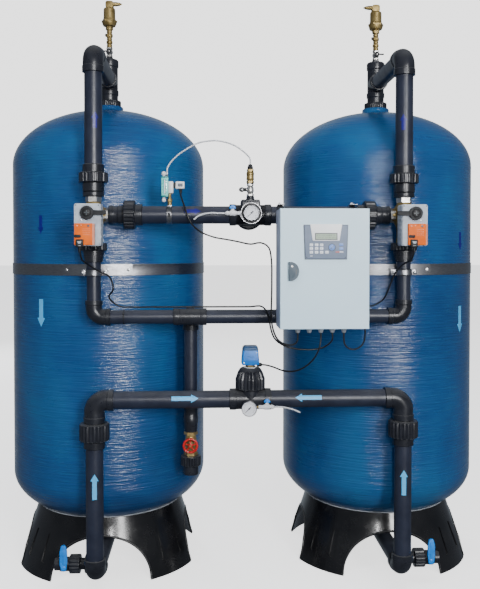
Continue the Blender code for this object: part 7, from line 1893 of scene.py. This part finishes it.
def dress_door():
    """Folded door: face with the controller opening, rounded rims, seal and hinges."""
    shape = Shape("cabinet_door_assembly")
    rim = 0.0022
    opening = controller_outline(0.012 - 0.0005)
    shape.add(cabinet_paint, ringed_plate(door_outline(rim), opening, DOOR_Y, DOOR_Y + 0.002))
    profile = []
    steps = 5
    for step in range(steps + 1):
        angle = math.pi / 2 * step / steps
        profile.append((rim * math.sin(angle), DOOR_Y + rim * (1 - math.cos(angle))))
    profile.append((rim, DOOR_BACK))
    points = [Vector((x, level, z)) for reach, level in profile for x, z in door_outline(rim - reach)]
    rings = [range(first, first + 4) for first in range(0, len(points), 4)]
    shape.add(cabinet_paint, (points, joined(rings, caps=False)),
        ringed_plate(door_outline(0.0), door_outline(0.012), DOOR_BACK - 0.0015, DOOR_BACK))
    shape.add(rubber, ringed_plate(door_outline(0.012), door_outline(0.016), DOOR_BACK - 0.006,
        DOOR_BACK - 0.0002))
    for height in (CABINET_BASE + 0.06, CABINET_TOP - 0.08):
        shape.add(zinc, turned((CABINET_RIGHT - 0.0034, DOOR_BACK - 0.0032, 0), "Z", 20, (2.2, 0),
            (2.6, 1), (2.6, 29), (2.2, 30), base=height))
    stand_for(shape, "cabinet_paint", "cabinet_door")


def dress_controller():
    """Wall-mount control unit: tapered face, display hood, window and keys.  A darker plate behind the
    face shows as a rim of painted shade for the bezel's shadow.
    """
    face = DOOR_Y - GAP
    front = face - 0.006
    shape = Shape("controller_assembly")
    # The darker plate behind the shell shows as a rim round the face: painted shade standing in for the
    # bezel's shadow
    shape.add(controller_edge, plate(controller_outline(0.0), "Y", front + 0.0022, face, 0.0012, 2))
    shape.add(controller_shell, plate(controller_outline(0.0022), "Y", front, front + 0.004, 0.0016, 3))
    shape.add(controller_edge, plate(controller_outline(0.0125), "Y", front + 0.003, face + 0.03, 0.001,
        1))
    for index in range(6):
        height = 1.262 + index * 0.01
        shape.add(controller_edge, box((CONTROLLER_X, face, height), (-64.5, 64.5), (4, 28.5), (0, 3),
            0.5, 1))
    foot = 1.2895
    hood_front = front - 0.003
    outline = placed((CONTROLLER_X, front, foot), (0, 0), (45, 0), (53.5, 56), (-53.5, 56), (-45, 0),
        (-0.2, 0), soft=2.5)
    shape.add(display_hood, plate(outline, "Y", hood_front, front + 0.001, 0.0012, 3))
    middle = (CONTROLLER_X, front, 1.304)
    window = placed(middle, (-34.5, -8.5), (34.5, -8.5), (34.5, 8.5), (-34.5, 8.5))
    bezel = placed(middle, (-37.8, -11.8), (37.8, -11.8), (37.8, 11.8), (-37.8, 11.8))
    shape.add(display_frame, ringed_plate(bezel, window, hood_front - 0.0004, hood_front + 0.001))
    shape.add(screen_green, plate(window, "Y", hood_front - 0.0002, hood_front + 0.001, 0))
    for row, height in enumerate((1.3003, 1.3077)):
        for index in range(16):
            place = CONTROLLER_X - 0.03 + index * 0.004
            if (index * 7 + row * 5) % 6 == 0:
                continue
            shape.add(dial_ink, box((place, hood_front, height), (-1.1, -0.7), (-0.3, 0.4), (-1.8, 1.8),
                    0.05, 1),
                block((place + 0.0005, hood_front - 0.0003, height - 0.0018),
                    (place + 0.0009, hood_front + 0.0004, height + (0.0004 if index % 2 else 0.0018)),
                    0.00005, 1))
    columns = (0.1907, 0.2082, 0.225, 0.2429)
    for height, count in ((1.2762, 3), (1.264, 3), (1.2515, 4)):
        for place in columns[:count]:
            shape.add(key_white, plate(round_outline(place, height, 0.00575, 0.0045, 0.0014, 4), "Y",
                front - 0.001, front + 0.001, 0.0005, 2))
            shape.add(controller_edge, box((place, front, height), (-1.8, 1.8), (-1.15, 0), (-0.4, 0.4),
                0.1, 1))
    dial = (0.2599, front, 1.268)
    shape.add(controller_edge, turned(dial, "Y", 48, (12.5, 1), (12.5, -0.6), (11.2, -1), (10.8, -0.6)))
    shape.add(key_blue, turned(dial, "Y", 48, (10.4, 1), (10.4, -0.8), (9.8, -1.2), (0, -1.2)))
    slash = []
    for along, aside in ((-0.0098, -0.0006), (0.0098, -0.0006), (0.0098, 0.0006), (-0.0098, 0.0006)):
        slash.append((dial[0] + (along - aside) * math.sqrt(0.5),
            dial[2] + (along + aside) * math.sqrt(0.5)))
    shape.add(controller_edge, plate(slash, "Y", front - 0.0014, front - 0.001, 0))
    for height in (1.277, 1.264):
        shape.add(key_blue, plate(round_outline(0.2907, height, 0.007, 0.0045, 0.0014, 4), "Y",
            front - 0.001, front + 0.001, 0.0005, 2))
    shape.add(key_red, box((0, front, 0), (272, 285), (-0.8, 1), (1250.3, 1254.7), 0.5, 1))
    shape.add(key_white, box((0, front, 0), (285, 298), (-0.8, 1), (1250.3, 1254.7), 0.5, 1),
        box((0, front, 0), (186.5, 195), (-0.6, 1), (1237.8, 1240.2), 0.4, 1))
    for dx in (-0.0645, 0.0645):
        shape.add(controller_edge, turned((CONTROLLER_X + dx, front, 1.2345), "Y", 16, (2.2, 1),
            (2.2, -0.2), (0, -0.3)))
    stand_for(shape, "controller_grey", "controller")


def dress_lock():
    left = 0.1145
    right = 0.1495
    middle = 1.188
    face = DOOR_Y - GAP
    front = face - 0.0122
    outline = [(left, middle - 0.0315)]
    for index in range(25):
        angle = -math.pi / 2 + math.pi * index / 24
        outline.append((left + 0.008 + (right - left - 0.008) * math.cos(angle),
            middle + 0.0315 * math.sin(angle)))
    outline.append((left, middle + 0.0315))
    shape = Shape("door_lock_assembly")
    shape.add(lock_grey, plate(outline, "Y", front, face, 0.0028, 4))
    grip = [(left + 0.0045, middle - 0.0235)]
    for index in range(17):
        angle = -math.pi / 2 + math.pi * index / 16
        grip.append((left + 0.009 + 0.015 * math.cos(angle), middle + 0.0235 * math.sin(angle)))
    grip.append((left + 0.0045, middle + 0.0235))
    shape.add(lock_grey, plate(grip, "Y", front - 0.0002, front + 0.003, 0.0009, 2))
    shape.add(display_frame, plate(round_outline(right - 0.0095, middle - 0.001, 0.0017, 0.0085, 0.0015,
        4), "Y", front - 0.0003, front + 0.001, 0))
    shape.add(nickel, turned((left + 0.0115, front, middle + 0.0165), "Y", 24, (3.4, 1), (3.4, -0.2),
        (0, -0.3)))
    shape.add(zinc, turned((0.1325, face, middle), "Y", 24, (6, 0), (6, 9.5)))
    stand_for(shape, "black_plastic", "door_lock")


for word, side in SIDES:
    for dress in (dress_tank, dress_base, dress_top_tee, dress_air_vent, dress_vent_lever,
            dress_upper_riser, dress_valve_body, dress_valve_rotor, dress_actuator, dress_actuator_cover,
            dress_backwash_arm, dress_support_band, dress_outlet_riser, dress_drain_cock,
            dress_drain_handle):
        dress(word, side)
for dress in (dress_inlet_header, dress_air_check_valve, dress_air_cock_handle, dress_air_flowmeter):
    dress()
for word, x, height, direction in GAUGES:
    dress_gauge(word, x, height, word == "upper")
    dress_pointer(word, x, height)
    dress_sample_valve(word, x, height, direction)
    dress_sample_handle(word, x, height, direction)
for dress in (dress_backwash_tee, dress_gate_valve, dress_handwheel, dress_outlet_header,
        dress_flow_switch, dress_cabinet, dress_door, dress_controller, dress_lock):
    dress()


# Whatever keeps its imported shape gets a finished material
FINISHES = {"tank_resin": resin, "base_moulding": moulding, "media": filter_media,
    "dark_pvc": fitting_pvc, "brass": brass, "steel": stainless, "actuator_grey": actuator_grey,
    "cover_orange": cover_orange, "black_plastic": black_plastic, "handle_blue": handle_blue,
    "wheel_red": wheel_red, "white_plastic": white_plastic, "cabinet_paint": cabinet_paint,
    "controller_grey": controller_shell, "cord_sheath": cable_jacket, "clear_tube": tube_clear}

for entry in frame["record"]["subparts"]:
    item = frame["nodes"][entry["node"]]
    finish = FINISHES[entry["material_slot"]]
    for slot in item.material_slots:
        slot.material = finish
